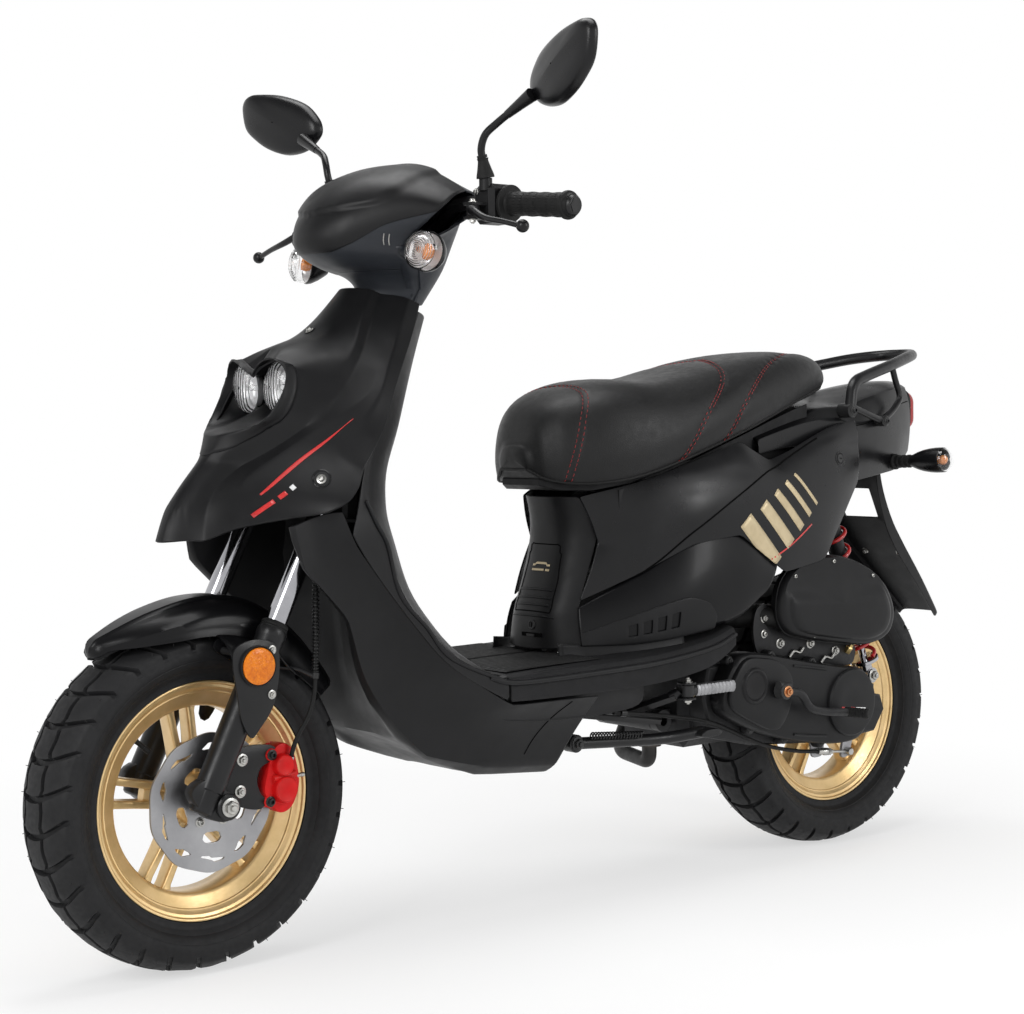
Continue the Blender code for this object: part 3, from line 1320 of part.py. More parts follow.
# Rear shock: an upper body and a lower rod that slides in it, with one coil spring around both

SHOCK_RUN = SHOCK_FOOT - SHOCK_TOP
SHOCK_LENGTH = SHOCK_RUN.length


def make_shock_body():
    tube_part = lathe("shock_body", (
        (0.034, 0.0), (0.034, 0.0255), (0.027, 0.0255), (0.014, 0.010), (0.0, 0.010), (0.0, 0.0),
    ), SHOCK_TOP, SHOCK_RUN, 14)
    cylinder = lathe("cylinder", (
        (0.110, 0.0), (0.110, 0.0085), (0.195, 0.0085), (0.195, 0.0145), (0.030, 0.0145), (0.030, 0.0),
    ), SHOCK_TOP, SHOCK_RUN, 12)
    eye = rod("eye", SHOCK_TOP - X_AXIS * 0.011, SHOCK_TOP + X_AXIS * 0.011, 0.0135, 14)
    return fuse(tube_part, cylinder, eye)


finish(make_shock_body(), SHOCK, ALLOY, 0.4, 0.8)


def make_shock_rod():
    rod_part = lathe("shock_rod", (
        (SHOCK_LENGTH - 0.010, 0.0), (SHOCK_LENGTH - 0.010, 0.010), (SHOCK_LENGTH - 0.022, 0.010),
        (SHOCK_LENGTH - 0.026, 0.0255), (SHOCK_LENGTH - 0.033, 0.0255), (SHOCK_LENGTH - 0.033, 0.0065),
        (0.185, 0.0065), (0.185, 0.0),
    ), SHOCK_TOP, SHOCK_RUN, 12)
    eye = rod("eye", SHOCK_FOOT - X_AXIS * 0.011, SHOCK_FOOT + X_AXIS * 0.011, 0.0135, 14)
    return fuse(rod_part, eye)


finish(make_shock_rod(), SHOCK_SLIDE, ALLOY, 0.35, 0.9)


def make_spring():
    """One unbroken coil; its end curls are closer wound, and its least gap is printed."""
    top = 0.0345 + SPRING_WIRE_R
    low = SHOCK_LENGTH - 0.0335 - SPRING_WIRE_R
    across_run = SHOCK_RUN.normalized()
    first = X_AXIS
    second = across_run.cross(first)
    per_curl = 9
    points = []
    count = SPRING_CURLS * per_curl
    for step in range(count + 1):
        t = step / count
        angle = t * SPRING_CURLS * math.tau
        ease = t - 0.045 * math.sin(math.tau * t)
        along = top + (low - top) * ease
        spot = SHOCK_TOP + across_run * along
        points.append(spot + (first * math.cos(angle) + second * math.sin(angle)) * SPRING_COIL_R)
    gaps = []
    for i, a in enumerate(points):
        for b in points[i + per_curl - 2:]:
            gaps.append((a - b).length - 2 * SPRING_WIRE_R)
    print("least gap between the spring's curls in mm:", round(min(gaps) * 1000, 2))
    return tube("shock_spring", points, SPRING_WIRE_R, None, 1)


finish(make_spring(), SHOCK, RED, 0.35)
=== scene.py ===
"""Looks of the moped scooter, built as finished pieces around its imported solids.

Points are written in the drawing frame of the solids: +X is the rider's left, -Y is forward, +Z is up,
and y = 0 at the front axle. at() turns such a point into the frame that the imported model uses.
"""

import json
import math

import bmesh
import bpy
from mathutils import Matrix, Vector
from mathutils.bvhtree import BVHTree

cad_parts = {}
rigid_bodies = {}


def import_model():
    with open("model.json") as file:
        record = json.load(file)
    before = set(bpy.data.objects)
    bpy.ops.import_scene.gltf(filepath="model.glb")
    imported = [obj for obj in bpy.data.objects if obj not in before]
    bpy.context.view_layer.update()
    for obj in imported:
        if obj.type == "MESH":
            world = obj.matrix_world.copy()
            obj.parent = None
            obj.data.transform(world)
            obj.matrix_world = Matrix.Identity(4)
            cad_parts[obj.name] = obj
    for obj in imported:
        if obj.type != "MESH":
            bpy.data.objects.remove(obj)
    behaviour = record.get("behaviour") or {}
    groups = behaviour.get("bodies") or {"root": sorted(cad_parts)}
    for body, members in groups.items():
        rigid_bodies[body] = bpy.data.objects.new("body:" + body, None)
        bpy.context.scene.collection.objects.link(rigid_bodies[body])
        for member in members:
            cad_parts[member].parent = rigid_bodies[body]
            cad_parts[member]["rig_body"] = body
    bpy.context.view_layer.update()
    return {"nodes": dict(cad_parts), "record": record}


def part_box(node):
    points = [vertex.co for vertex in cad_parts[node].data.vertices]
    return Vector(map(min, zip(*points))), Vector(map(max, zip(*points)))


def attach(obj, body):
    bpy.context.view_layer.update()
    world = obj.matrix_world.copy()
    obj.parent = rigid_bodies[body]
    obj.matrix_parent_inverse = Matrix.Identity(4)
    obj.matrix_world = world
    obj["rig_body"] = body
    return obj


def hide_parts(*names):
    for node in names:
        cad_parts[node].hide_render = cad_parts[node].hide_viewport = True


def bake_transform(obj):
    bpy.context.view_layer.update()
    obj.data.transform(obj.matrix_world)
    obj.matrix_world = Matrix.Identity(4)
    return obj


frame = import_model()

NODES = frame["nodes"]
X_AXIS = Vector((1.0, 0.0, 0.0))
Y_AXIS = Vector((0.0, 1.0, 0.0))
Z_AXIS = Vector((0.0, 0.0, 1.0))
SIDES = (("left", 1), ("right", -1))


def middle(node):
    """The middle of a node's box."""
    low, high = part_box(node)
    return (low + high) / 2


FRONT_AXLE = middle("front_axle")
REAR_AXLE = middle("rear_tyre")
REAR_HUB = Vector((0.0, REAR_AXLE.y, 0.2425))
RAKE = math.radians(27.0)
STEER = Vector((0.0, math.sin(RAKE), math.cos(RAKE)))
AHEAD = Vector((0.0, -math.cos(RAKE), math.sin(RAKE)))
FORK_HALF = 0.090
LEG_AHEAD = 0.030


def at(x, y, z):
    """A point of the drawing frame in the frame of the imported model."""
    return Vector((x, y + FRONT_AXLE.y, z))


def fork_point(along, ahead=0.0, x=0.0):
    """A point given along the steering axis from the front axle and ahead of that axis."""
    return FRONT_AXLE + STEER * along + AHEAD * ahead + X_AXIS * x


def sided(points, side):
    """Points of the drawing frame, written for the rider's left, on one side: 1 is left, -1 right."""
    return [at(side * x, y, z) for x, y, z in points]


def smooth_step(t):
    """An eased share: 0 below 0, 1 above 1, level at both ends."""
    t = max(0.0, min(1.0, t))
    return t * t * (3.0 - 2.0 * t)


# Camera, stage and light

SCENE = bpy.context.scene
SCENE.view_settings.view_transform = "Standard"
IMAGE_WIDTH = 1024
FOCAL_PIXELS = 2066.6
CAMERA_AZIMUTH = math.radians(50.48)
CAMERA_HEIGHT_ANGLE = math.radians(2.57)
CAMERA_ROLL = math.radians(-0.66)
CAMERA_PLACE = (2.488, -1.464, 0.764)
AMBIENT = 0.42
SKY_EDGES = (0.30, 0.70)
SKY_TOP = 0.16
FLOOR_REACH = 30.0
FLOOR_WHITE = 0.60
FLOOR_FADE = (0.7, 1.8)


def make_camera():
    """The camera of the photograph, as fitted to it."""
    data = bpy.data.cameras.new("photo_camera")
    data.sensor_width = 36.0
    data.lens = FOCAL_PIXELS / IMAGE_WIDTH * data.sensor_width
    camera = bpy.data.objects.new("photo_camera", data)
    SCENE.collection.objects.link(camera)
    level = math.cos(CAMERA_HEIGHT_ANGLE)
    look = -Vector((math.sin(CAMERA_AZIMUTH) * level, -math.cos(CAMERA_AZIMUTH) * level,
                    math.sin(CAMERA_HEIGHT_ANGLE)))
    right = look.cross(Z_AXIS).normalized()
    up = right.cross(look)
    turned_right = right * math.cos(CAMERA_ROLL) + up * math.sin(CAMERA_ROLL)
    turned_up = up * math.cos(CAMERA_ROLL) - right * math.sin(CAMERA_ROLL)
    placing = Matrix((turned_right, turned_up, -look)).transposed().to_4x4()
    placing.translation = at(*CAMERA_PLACE)
    camera.matrix_world = placing
    SCENE.camera = camera


make_camera()


def nodes_of(tree):
    """Short forms for adding and joining nodes in a tree."""
    def add(kind, **sockets):
        node = tree.nodes.new(kind)
        for name, value in sockets.items():
            node.inputs[name.replace("_", " ")].default_value = value
        return node

    def join(out, into):
        tree.links.new(out, into)

    return add, join


def seen_directly(add, join):
    """1 for what the camera, a mirror or a lens sees, 0 for light on its way to a surface."""
    path = add("ShaderNodeLightPath")
    total = path.outputs["Is Camera Ray"]
    for name in ("Is Glossy Ray", "Is Transmission Ray"):
        sum_node = add("ShaderNodeMath")
        sum_node.operation = "MAXIMUM"
        join(total, sum_node.inputs[0])
        join(path.outputs[name], sum_node.inputs[1])
        total = sum_node.outputs[0]
    return total


def make_world():
    """White round the horizon, where the camera looks, and grey overhead, as above a studio's lamps."""
    world = bpy.data.worlds.new("studio")
    SCENE.world = world
    world.use_nodes = True
    world.node_tree.nodes.clear()
    add, join = nodes_of(world.node_tree)
    ambient = add("ShaderNodeBackground", Color=(1.0, 1.0, 1.0, 1.0), Strength=AMBIENT)
    backdrop = add("ShaderNodeBackground", Color=(1.0, 1.0, 1.0, 1.0), Strength=1.0)
    height = add("ShaderNodeSeparateXYZ")
    join(add("ShaderNodeTexCoord").outputs["Generated"], height.inputs[0])
    fade = add("ShaderNodeMapRange", From_Min=SKY_EDGES[0], From_Max=SKY_EDGES[1], To_Min=1.0, To_Max=SKY_TOP)
    fade.interpolation_type = "SMOOTHSTEP"
    join(height.outputs["Z"], fade.inputs["Value"])
    join(fade.outputs[0], backdrop.inputs["Strength"])
    mix = add("ShaderNodeMixShader")
    join(seen_directly(add, join), mix.inputs[0])
    join(ambient.outputs[0], mix.inputs[1])
    join(backdrop.outputs[0], mix.inputs[2])
    join(mix.outputs[0], add("ShaderNodeOutputWorld").inputs[0])


make_world()


def make_floor():
    """White paper that takes the shadow near the object and fades into the background away from it."""
    mesh = bpy.data.meshes.new("floor")
    corners = [(FLOOR_REACH * x, FLOOR_REACH * y, 0) for x, y in ((-1, -1), (1, -1), (1, 1), (-1, 1))]
    mesh.from_pydata(corners, [], [(0, 1, 2, 3)])
    floor = bpy.data.objects.new("floor", mesh)
    SCENE.collection.objects.link(floor)
    material = bpy.data.materials.new("floor_paper")
    material.use_nodes = True
    material.node_tree.nodes.clear()
    add, join = nodes_of(material.node_tree)
    paper = add("ShaderNodeBsdfDiffuse", Color=(0.96, 0.96, 0.96, 1.0))
    white = add("ShaderNodeEmission", Color=(1.0, 1.0, 1.0, 1.0), Strength=1.0)
    place = add("ShaderNodeTexCoord")
    reach_node = add("ShaderNodeVectorMath")
    reach_node.operation = "LENGTH"
    join(place.outputs["Object"], reach_node.inputs[0])
    fade = add("ShaderNodeMapRange", From_Min=FLOOR_FADE[0], From_Max=FLOOR_FADE[1], To_Min=FLOOR_WHITE)
    fade.interpolation_type = "SMOOTHSTEP"
    join(reach_node.outputs["Value"], fade.inputs["Value"])
    shown = add("ShaderNodeMath")
    shown.operation = "MULTIPLY"
    join(fade.outputs[0], shown.inputs[0])
    join(seen_directly(add, join), shown.inputs[1])
    mix = add("ShaderNodeMixShader")
    join(shown.outputs[0], mix.inputs[0])
    join(paper.outputs[0], mix.inputs[1])
    join(white.outputs[0], mix.inputs[2])
    join(mix.outputs[0], add("ShaderNodeOutputMaterial").inputs[0])
    mesh.materials.append(material)


make_floor()


def softbox(name, place, target, width, height, watts):
    """A rectangular lamp turned to its target."""
    data = bpy.data.lights.new(name, "AREA")
    data.shape = "RECTANGLE"
    data.size, data.size_y = width, height
    data.energy = watts
    lamp = bpy.data.objects.new(name, data)
    SCENE.collection.objects.link(lamp)
    lamp.location = place
    lamp.rotation_euler = (Vector(target) - Vector(place)).to_track_quat("-Z", "Y").to_euler()


softbox("overhead_box", (-0.2, 0.0, 3.0), (0.0, 0.0, 0.4), 1.2, 2.4, 46)
softbox("front_box", (1.2, -3.4, 2.2), (0.0, 0.0, 0.6), 1.2, 1.8, 55)
softbox("side_box", (3.6, 1.6, 2.0), (0.0, 0.0, 0.6), 1.0, 1.8, 45)


# Materials

SLOTS = {}


def surface(name, slot, low, high, rough, spread=0.06, metal=0.0, patches=9.0, grain=None, coat=0.0,
            coat_rough=0.06, specular=0.5, sheen=0.0, wear=0.0, wear_colour=(0.10, 0.10, 0.10), cells=None,
            tint=None):
    """A finish with cloudy colour, uneven gloss, fine relief and lighter worn edges.

    slot is stored in SLOTS under the finish's name and not put on any piece. grain is (size, depth) of a
    noise relief in metres, cells the same for a pebbled one.
    """
    SLOTS[name] = slot
    material = bpy.data.materials.new(name)
    material.use_nodes = True
    tree = material.node_tree
    tree.nodes.clear()
    add, join = nodes_of(tree)
    shader = add("ShaderNodeBsdfPrincipled", Metallic=metal, Specular_IOR_Level=specular, Coat_Weight=coat,
                 Coat_Roughness=coat_rough, Sheen_Weight=sheen)
    join(shader.outputs[0], add("ShaderNodeOutputMaterial").inputs[0])
    place = add("ShaderNodeTexCoord").outputs["Object"]
    cloud = add("ShaderNodeTexNoise", Scale=patches, Detail=5.0, Roughness=0.6)
    join(place, cloud.inputs["Vector"])
    ramp = add("ShaderNodeValToRGB")
    ramp.color_ramp.elements[0].position = 0.32
    ramp.color_ramp.elements[1].position = 0.68
    ramp.color_ramp.elements[0].color = (*low, 1.0)
    ramp.color_ramp.elements[1].color = (*high, 1.0)
    join(cloud.outputs["Fac"], ramp.inputs["Fac"])
    colour = ramp.outputs["Color"]
    if wear:
        edge = add("ShaderNodeMapRange", From_Min=0.53, From_Max=0.62, To_Max=wear)
        join(add("ShaderNodeNewGeometry").outputs["Pointiness"], edge.inputs["Value"])
        mix = add("ShaderNodeMix")
        mix.data_type = "RGBA"
        mix.inputs["B"].default_value = (*wear_colour, 1.0)
        join(edge.outputs[0], mix.inputs["Factor"])
        join(colour, mix.inputs["A"])
        colour = mix.outputs["Result"]
    join(colour, shader.inputs["Base Color"])
    gloss = add("ShaderNodeTexNoise", Scale=patches * 6.0, Detail=4.0)
    join(place, gloss.inputs["Vector"])
    uneven = add("ShaderNodeMapRange", From_Min=0.3, From_Max=0.7, To_Min=rough - spread,
                 To_Max=rough + spread)
    join(gloss.outputs["Fac"], uneven.inputs["Value"])
    join(uneven.outputs[0], shader.inputs["Roughness"])
    relief = None
    for kind, pair in (("ShaderNodeTexNoise", grain), ("ShaderNodeTexVoronoi", cells)):
        if pair is None:
            continue
        size, depth = pair
        texture = add(kind, Scale=1.0 / size)
        join(place, texture.inputs["Vector"])
        bump = add("ShaderNodeBump", Strength=1.0, Distance=depth)
        join(texture.outputs[0], bump.inputs["Height"])
        if relief is not None:
            join(relief, bump.inputs["Normal"])
        relief = bump.outputs["Normal"]
    if relief is not None:
        join(relief, shader.inputs["Normal"])
    if tint:
        for socket, value in tint.items():
            shader.inputs[socket].default_value = value
    return material


MATTE = surface("matte_black_plastic", "paint", (0.0052, 0.0052, 0.0058), (0.0088, 0.0088, 0.0095), 0.44,
                0.05, patches=7.0, grain=(0.0011, 0.00006), specular=0.22, wear=0.5,
                wear_colour=(0.020, 0.020, 0.021))
SATIN = surface("satin_black_plastic", "paint", (0.0042, 0.0042, 0.0048), (0.0072, 0.0072, 0.0080), 0.30,
                0.04, patches=6.0, grain=(0.0012, 0.00003), specular=0.27, wear=0.4,
                wear_colour=(0.018, 0.018, 0.018))
GLOSS = surface("gloss_black_paint", "gloss", (0.003, 0.003, 0.0036), (0.005, 0.005, 0.0056), 0.34, 0.03,
                patches=5.0, grain=(0.004, 0.00002), coat=0.05, coat_rough=0.12, specular=0.17)
COARSE = surface("textured_black_plastic", "paint", (0.0065, 0.0065, 0.007), (0.011, 0.011, 0.012), 0.60,
                 0.06, patches=12.0, cells=(0.0016, 0.00012), specular=0.20, wear=0.5,
                 wear_colour=(0.022, 0.022, 0.022))
NECK = surface("blue_grey_plastic", "paint", (0.021, 0.0235, 0.029), (0.029, 0.032, 0.038), 0.46, 0.05,
               patches=8.0, grain=(0.0011, 0.00006), specular=0.26)
VINYL = surface("seat_vinyl", "vinyl", (0.0055, 0.0055, 0.0057), (0.010, 0.010, 0.0103), 0.46, 0.06,
                patches=14.0, cells=(0.0017, 0.00016), grain=(0.0007, 0.00005), specular=0.27, sheen=0.02)
TYRE = surface("tyre_rubber", "tyre", (0.008, 0.008, 0.0088), (0.013, 0.013, 0.0138), 0.62, 0.08,
               patches=22.0, grain=(0.0016, 0.00010), specular=0.26, wear=0.6, wear_colour=(0.04, 0.04, 0.04))
RUBBER = surface("soft_rubber", "rubber", (0.006, 0.006, 0.006), (0.011, 0.011, 0.011), 0.60, 0.07,
                 patches=20.0, grain=(0.0010, 0.00008), specular=0.22)
GOLD = surface("gold_cast_paint", "gold", (0.69, 0.48, 0.212), (0.82, 0.59, 0.295), 0.36, 0.05, metal=0.72,
               patches=30.0, grain=(0.0009, 0.00004), coat=0.35, coat_rough=0.18, wear=0.35,
               wear_colour=(0.75, 0.60, 0.36))
ZINC = surface("zinc_plate", "steel", (0.36, 0.36, 0.35), (0.52, 0.51, 0.48), 0.34, 0.10, metal=1.0,
               patches=90.0, grain=(0.0008, 0.00003))
CHROME = surface("chrome_plate", "chrome", (0.36, 0.36, 0.38), (0.46, 0.46, 0.48), 0.12, 0.03, metal=1.0,
                 patches=20.0, grain=(0.004, 0.00001))
ALLOY = surface("cast_alloy", "alloy", (0.26, 0.26, 0.27), (0.36, 0.36, 0.37), 0.46, 0.08, metal=0.9,
                patches=50.0, grain=(0.0016, 0.00012))
CASTING = surface("black_casting", "frame", (0.009, 0.009, 0.010), (0.017, 0.017, 0.018), 0.48, 0.08,
                  metal=0.1, patches=30.0, grain=(0.0014, 0.00010), specular=0.28, wear=0.6,
                  wear_colour=(0.05, 0.05, 0.05))
FRAME_PAINT = surface("frame_paint", "frame", (0.006, 0.006, 0.0065), (0.010, 0.010, 0.011), 0.34, 0.06,
                      patches=18.0, grain=(0.0020, 0.00004), specular=0.30, wear=0.5,
                      wear_colour=(0.03, 0.03, 0.03))
RED_PAINT = surface("red_caliper_paint", "redpaint", (0.50, 0.004, 0.005), (0.64, 0.008, 0.009), 0.40, 0.06,
                    patches=40.0, grain=(0.0012, 0.00006), specular=0.18, wear=0.3,
                    wear_colour=(0.66, 0.05, 0.04))
RED_SPRING = surface("red_spring_coat", "redpaint", (0.46, 0.012, 0.014), (0.60, 0.025, 0.025), 0.32, 0.05,
                     patches=40.0, grain=(0.003, 0.00003), coat=0.5, coat_rough=0.1)
RED_LENS = surface("red_lens", "redlens", (0.30, 0.004, 0.006), (0.40, 0.010, 0.010), 0.16, 0.03,
                   patches=25.0, cells=(0.0042, 0.0004), coat=0.15, coat_rough=0.05, specular=0.25)
AMBER = surface("amber_reflector", "lens", (0.62, 0.135, 0.004), (0.84, 0.24, 0.008), 0.20, 0.03,
                patches=160.0, cells=(0.0034, 0.0006), coat=0.25, coat_rough=0.05, specular=0.2)
BULB = surface("amber_bulb", "lens", (0.72, 0.20, 0.02), (0.86, 0.30, 0.05), 0.14, 0.03, patches=60.0,
               coat=0.6)
MIRROR_GLASS = surface("mirror_glass", "chrome", (0.80, 0.80, 0.80), (0.84, 0.84, 0.84), 0.03, 0.01,
                       metal=1.0, patches=4.0)
REFLECTOR = surface("lamp_reflector", "lens", (0.74, 0.74, 0.75), (0.84, 0.84, 0.85), 0.34, 0.05, metal=0.45,
                    patches=12.0)
COPPER = surface("copper_bolt", "gold", (0.46, 0.20, 0.09), (0.58, 0.29, 0.14), 0.36, 0.08, metal=1.0,
                 patches=60.0)
THREAD = surface("red_thread", "redpaint", (0.20, 0.008, 0.009), (0.30, 0.014, 0.014), 0.60, 0.06,
                 patches=300.0, grain=(0.0008, 0.0002))
PIPE = surface("heat_black", "frame", (0.014, 0.014, 0.014), (0.026, 0.025, 0.024), 0.48, 0.10, metal=0.4,
               patches=16.0, grain=(0.0010, 0.00006), wear=0.6, wear_colour=(0.10, 0.09, 0.08))


def clear_lens(name, ring=None):
    """Clear moulded plastic with shallow flutes."""
    material = surface(name, "lens", (0.95, 0.95, 0.95), (0.99, 0.99, 0.99), 0.03, 0.01, patches=20.0,
                       tint={"Transmission Weight": 1.0, "IOR": 1.46})
    if ring:
        tree = material.node_tree
        add, join = nodes_of(tree)
        shader = next(node for node in tree.nodes if node.type == "BSDF_PRINCIPLED")
        wave = add("ShaderNodeTexWave", Scale=ring)
        wave.bands_direction = "X"
        join(add("ShaderNodeTexCoord").outputs["Object"], wave.inputs["Vector"])
        bump = add("ShaderNodeBump", Strength=0.8, Distance=0.0006)
        join(wave.outputs["Fac"], bump.inputs["Height"])
        join(bump.outputs["Normal"], shader.inputs["Normal"])
    return material


CLEAR = clear_lens("clear_lens")
FLUTED = clear_lens("fluted_lens", 55.0)


# Making pieces

def piece(name, mesh, finish, body, smooth=35.0, stands_for=(), slot=None):
    """A finished object from a mesh, riding on a body, or on none when no body is given.

    Edges bent more than smooth degrees stay sharp. The slot, the one given or else the finish's own, is
    worked out but not put on the piece.
    """
    data = bpy.data.meshes.new(name)
    mesh.to_mesh(data)
    mesh.free()
    data.materials.append(finish)
    obj = bpy.data.objects.new(name, data)
    SCENE.collection.objects.link(obj)
    for face in data.polygons:
        face.use_smooth = True
    if smooth < 180.0:
        data.set_sharp_from_angle(angle=math.radians(smooth))
    if body:
        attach(obj, body)
    if stands_for:
        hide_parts(*stands_for)
    slot = slot or SLOTS[finish.name]
    return obj


def thicken(obj, thickness, offset=-1.0):
    """Gives a sheet its wall: inwards at -1, to both sides at 0."""
    wall = obj.modifiers.new("wall", "SOLIDIFY")
    wall.thickness = thickness
    wall.offset = offset


def break_edges(obj, width, limit, segments=2):
    """Rounds the edges that are bent more than limit degrees."""
    bevel = obj.modifiers.new("edges", "BEVEL")
    bevel.width = width
    bevel.segments = segments
    bevel.limit_method = "ANGLE"
    bevel.angle_limit = math.radians(limit)


def body_of(node):
    """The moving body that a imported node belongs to."""
    return NODES[node]["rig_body"]


def slot_of(node):
    """The material slot that the record gives a node."""
    for entry in frame["record"]["subparts"]:
        if entry["node"] == node:
            return entry["material_slot"]
    return None


COPLANAR = 0.6
HARD_EDGE = 34.0


def welded(node, flat=None):
    """A node's mesh with its points joined and its triangles paired into larger faces."""
    mesh = bmesh.new()
    mesh.from_mesh(NODES[node].data)
    bmesh.ops.remove_doubles(mesh, verts=mesh.verts, dist=1e-5)
    if flat is None:
        bmesh.ops.join_triangles(mesh, faces=mesh.faces, angle_face_threshold=math.radians(40.0),
                                 angle_shape_threshold=math.radians(70.0))
    else:
        bmesh.ops.dissolve_limit(mesh, angle_limit=math.radians(flat), verts=mesh.verts, edges=mesh.edges)
    return mesh


def skin(node, finish, fold=40.0, levels=2, soft=None):
    """A moulded panel: the node's shell with its faces curved smoothly between its folds.

    Edges bent more than fold degrees stay sharp; between soft and fold they stay as rounded creases.
    """
    mesh = welded(node)
    crease = mesh.edges.layers.float.get("crease_edge") or mesh.edges.layers.float.new("crease_edge")
    for edge in mesh.edges:
        if not edge.is_manifold:
            continue
        bend = math.degrees(edge.calc_face_angle())
        if bend > fold:
            edge[crease] = 0.9
            edge.smooth = False
        elif soft is not None and bend > soft:
            edge[crease] = 0.25 + 0.5 * (bend - soft) / (fold - soft)
    obj = piece(node + "_skin", mesh, finish, body_of(node), 180.0, [node], slot=slot_of(node))
    curve = obj.modifiers.new("curved", "SUBSURF")
    curve.levels = curve.render_levels = levels
    return obj


def machined(node, finish, width=0.0008, segments=2):
    """A hard part: the node's solid with its edges broken by a small rounded bevel."""
    obj = piece(node + "_body", welded(node, COPLANAR), finish, body_of(node), HARD_EDGE, [node],
                slot=slot_of(node))
    break_edges(obj, width, HARD_EDGE, segments)


def net(rows, around=False, across=False, caps=False):
    """A mesh from rows of points; around joins the last row to the first, across each row's ends."""
    mesh = bmesh.new()
    verts = [[mesh.verts.new(point) for point in row] for row in rows]
    size = len(rows[0])
    for r in range(len(rows) if around else len(rows) - 1):
        lower, upper = verts[r], verts[(r + 1) % len(rows)]
        for c in range(size if across else size - 1):
            after = (c + 1) % size
            quad = [lower[c], lower[after], upper[after], upper[c]]
            if len(set(quad)) == 4:
                mesh.faces.new(quad)
    if caps:
        mesh.faces.new(verts[0])
        mesh.faces.new(reversed(verts[-1]))
    bmesh.ops.remove_doubles(mesh, verts=mesh.verts, dist=1e-7)
    bmesh.ops.recalc_face_normals(mesh, faces=mesh.faces)
    return mesh


def aim(direction):
    """The turn that lays +Z along a direction."""
    return Z_AXIS.rotation_difference(Vector(direction).normalized()).to_matrix()


def turned(profile, centre, axis, steps=40, closed=False):
    """A turned form: profile is (height along the axis, radius)."""
    turn = aim(axis)
    rows = []
    for step in range(steps):
        angle = step * math.tau / steps
        flat = Vector((math.cos(angle), math.sin(angle), 0.0))
        rows.append([Vector(centre) + turn @ (flat * max(radius, 1e-6) + Z_AXIS * height)
                     for height, radius in profile])
    return net(rows, True, closed)


def spline(a, b, c, d, steps):
    """Points of the smooth curve from b up to c, with a before it and d after it."""
    return [0.5 * (2 * b + (c - a) * t + (2 * a - 5 * b + 4 * c - d) * t * t
                   + (3 * b - 3 * c + d - a) * t ** 3) for t in (step / steps for step in range(steps))]


def smooth_path(points, steps=8):
    """A curve through the points, rounded between them."""
    points = [Vector(point) for point in points]
    ends = [points[0] * 2 - points[1]] + points + [points[-1] * 2 - points[-2]]
    path = []
    for i in range(1, len(ends) - 2):
        path += spline(*ends[i - 1:i + 3], steps)
    return path + [points[-1]]


def smooth_ring(points, steps):
    """A closed curve through the points."""
    points = [Vector(point) for point in points]
    line = []
    for i in range(len(points)):
        line += spline(*(points[(i + k) % len(points)] for k in (-1, 0, 1, 2)), steps)
    return line


def tube(path, radius, sides=12, swell=None):
    """A round tube along a path; swell changes its radius along the way, t from 0 to 1."""
    rows = []
    normal = None
    for i, point in enumerate(path):
        ahead = (path[min(i + 1, len(path) - 1)] - path[max(i - 1, 0)]).normalized()
        if normal is None:
            normal = ahead.orthogonal().normalized()
        normal = (normal - ahead * normal.dot(ahead)).normalized()
        side = ahead.cross(normal)
        size = radius * (swell(i / (len(path) - 1)) if swell else 1.0)
        rows.append([point + (normal * math.cos(a) + side * math.sin(a)) * size
                     for a in (step * math.tau / sides for step in range(sides))])
    return net(rows, False, True, True)


def merged(*meshes):
    """One mesh holding all the given ones."""
    whole = meshes[0]
    for other in meshes[1:]:
        carry = bpy.data.meshes.new("carry")
        other.to_mesh(carry)
        other.free()
        whole.from_mesh(carry)
        bpy.data.meshes.remove(carry)
    return whole


def bolt_head(place, facing, size=0.005, socket=True, washer=True):
    """A domed screw with a hexagon socket, or a hexagon head, on its washer."""
    facing = Vector(facing).normalized()
    meshes = []
    base = 0.0
    if washer:
        base = size * 0.25
        meshes.append(turned(((0.0, 0.0), (0.0, size * 1.5), (base * 0.8, size * 1.5), (base, size * 1.4),
                              (base, 0.0)), place, facing, 24))
    if socket:
        top = base + size * 0.9
        meshes.append(turned(((base, 0.0), (base, size), (top - size * 0.35, size),
                              (top - size * 0.1, size * 0.85), (top, size * 0.62), (top, size * 0.55),
                              (top - size * 0.6, size * 0.5), (top - size * 0.6, 0.0)), place, facing, 18))
    else:
        top = base + size * 0.8
        head = turned(((base, 0.0), (base, size * 1.1), (top - size * 0.12, size * 1.1), (top, size * 0.95),
                       (top, 0.0)), place, facing, 6)
        stud = turned(((top, size * 0.55), (top + size * 0.35, size * 0.52), (top + size * 0.42, size * 0.42),
                       (top + size * 0.42, 0.0)), place, facing, 14)
        meshes += [head, stud]
    return merged(*meshes)


def spread(count):
    """Equal shares of a turn."""
    return [step * math.tau / count for step in range(count)]


# Wheels

TREAD_PITCHES = 30
GROOVE_HALF = 0.0047
GROOVE_DEPTH = 0.0074
TREAD_ARCH = 0.024
TREAD_STEP = 0.0032
VENT_HAIRS = 64


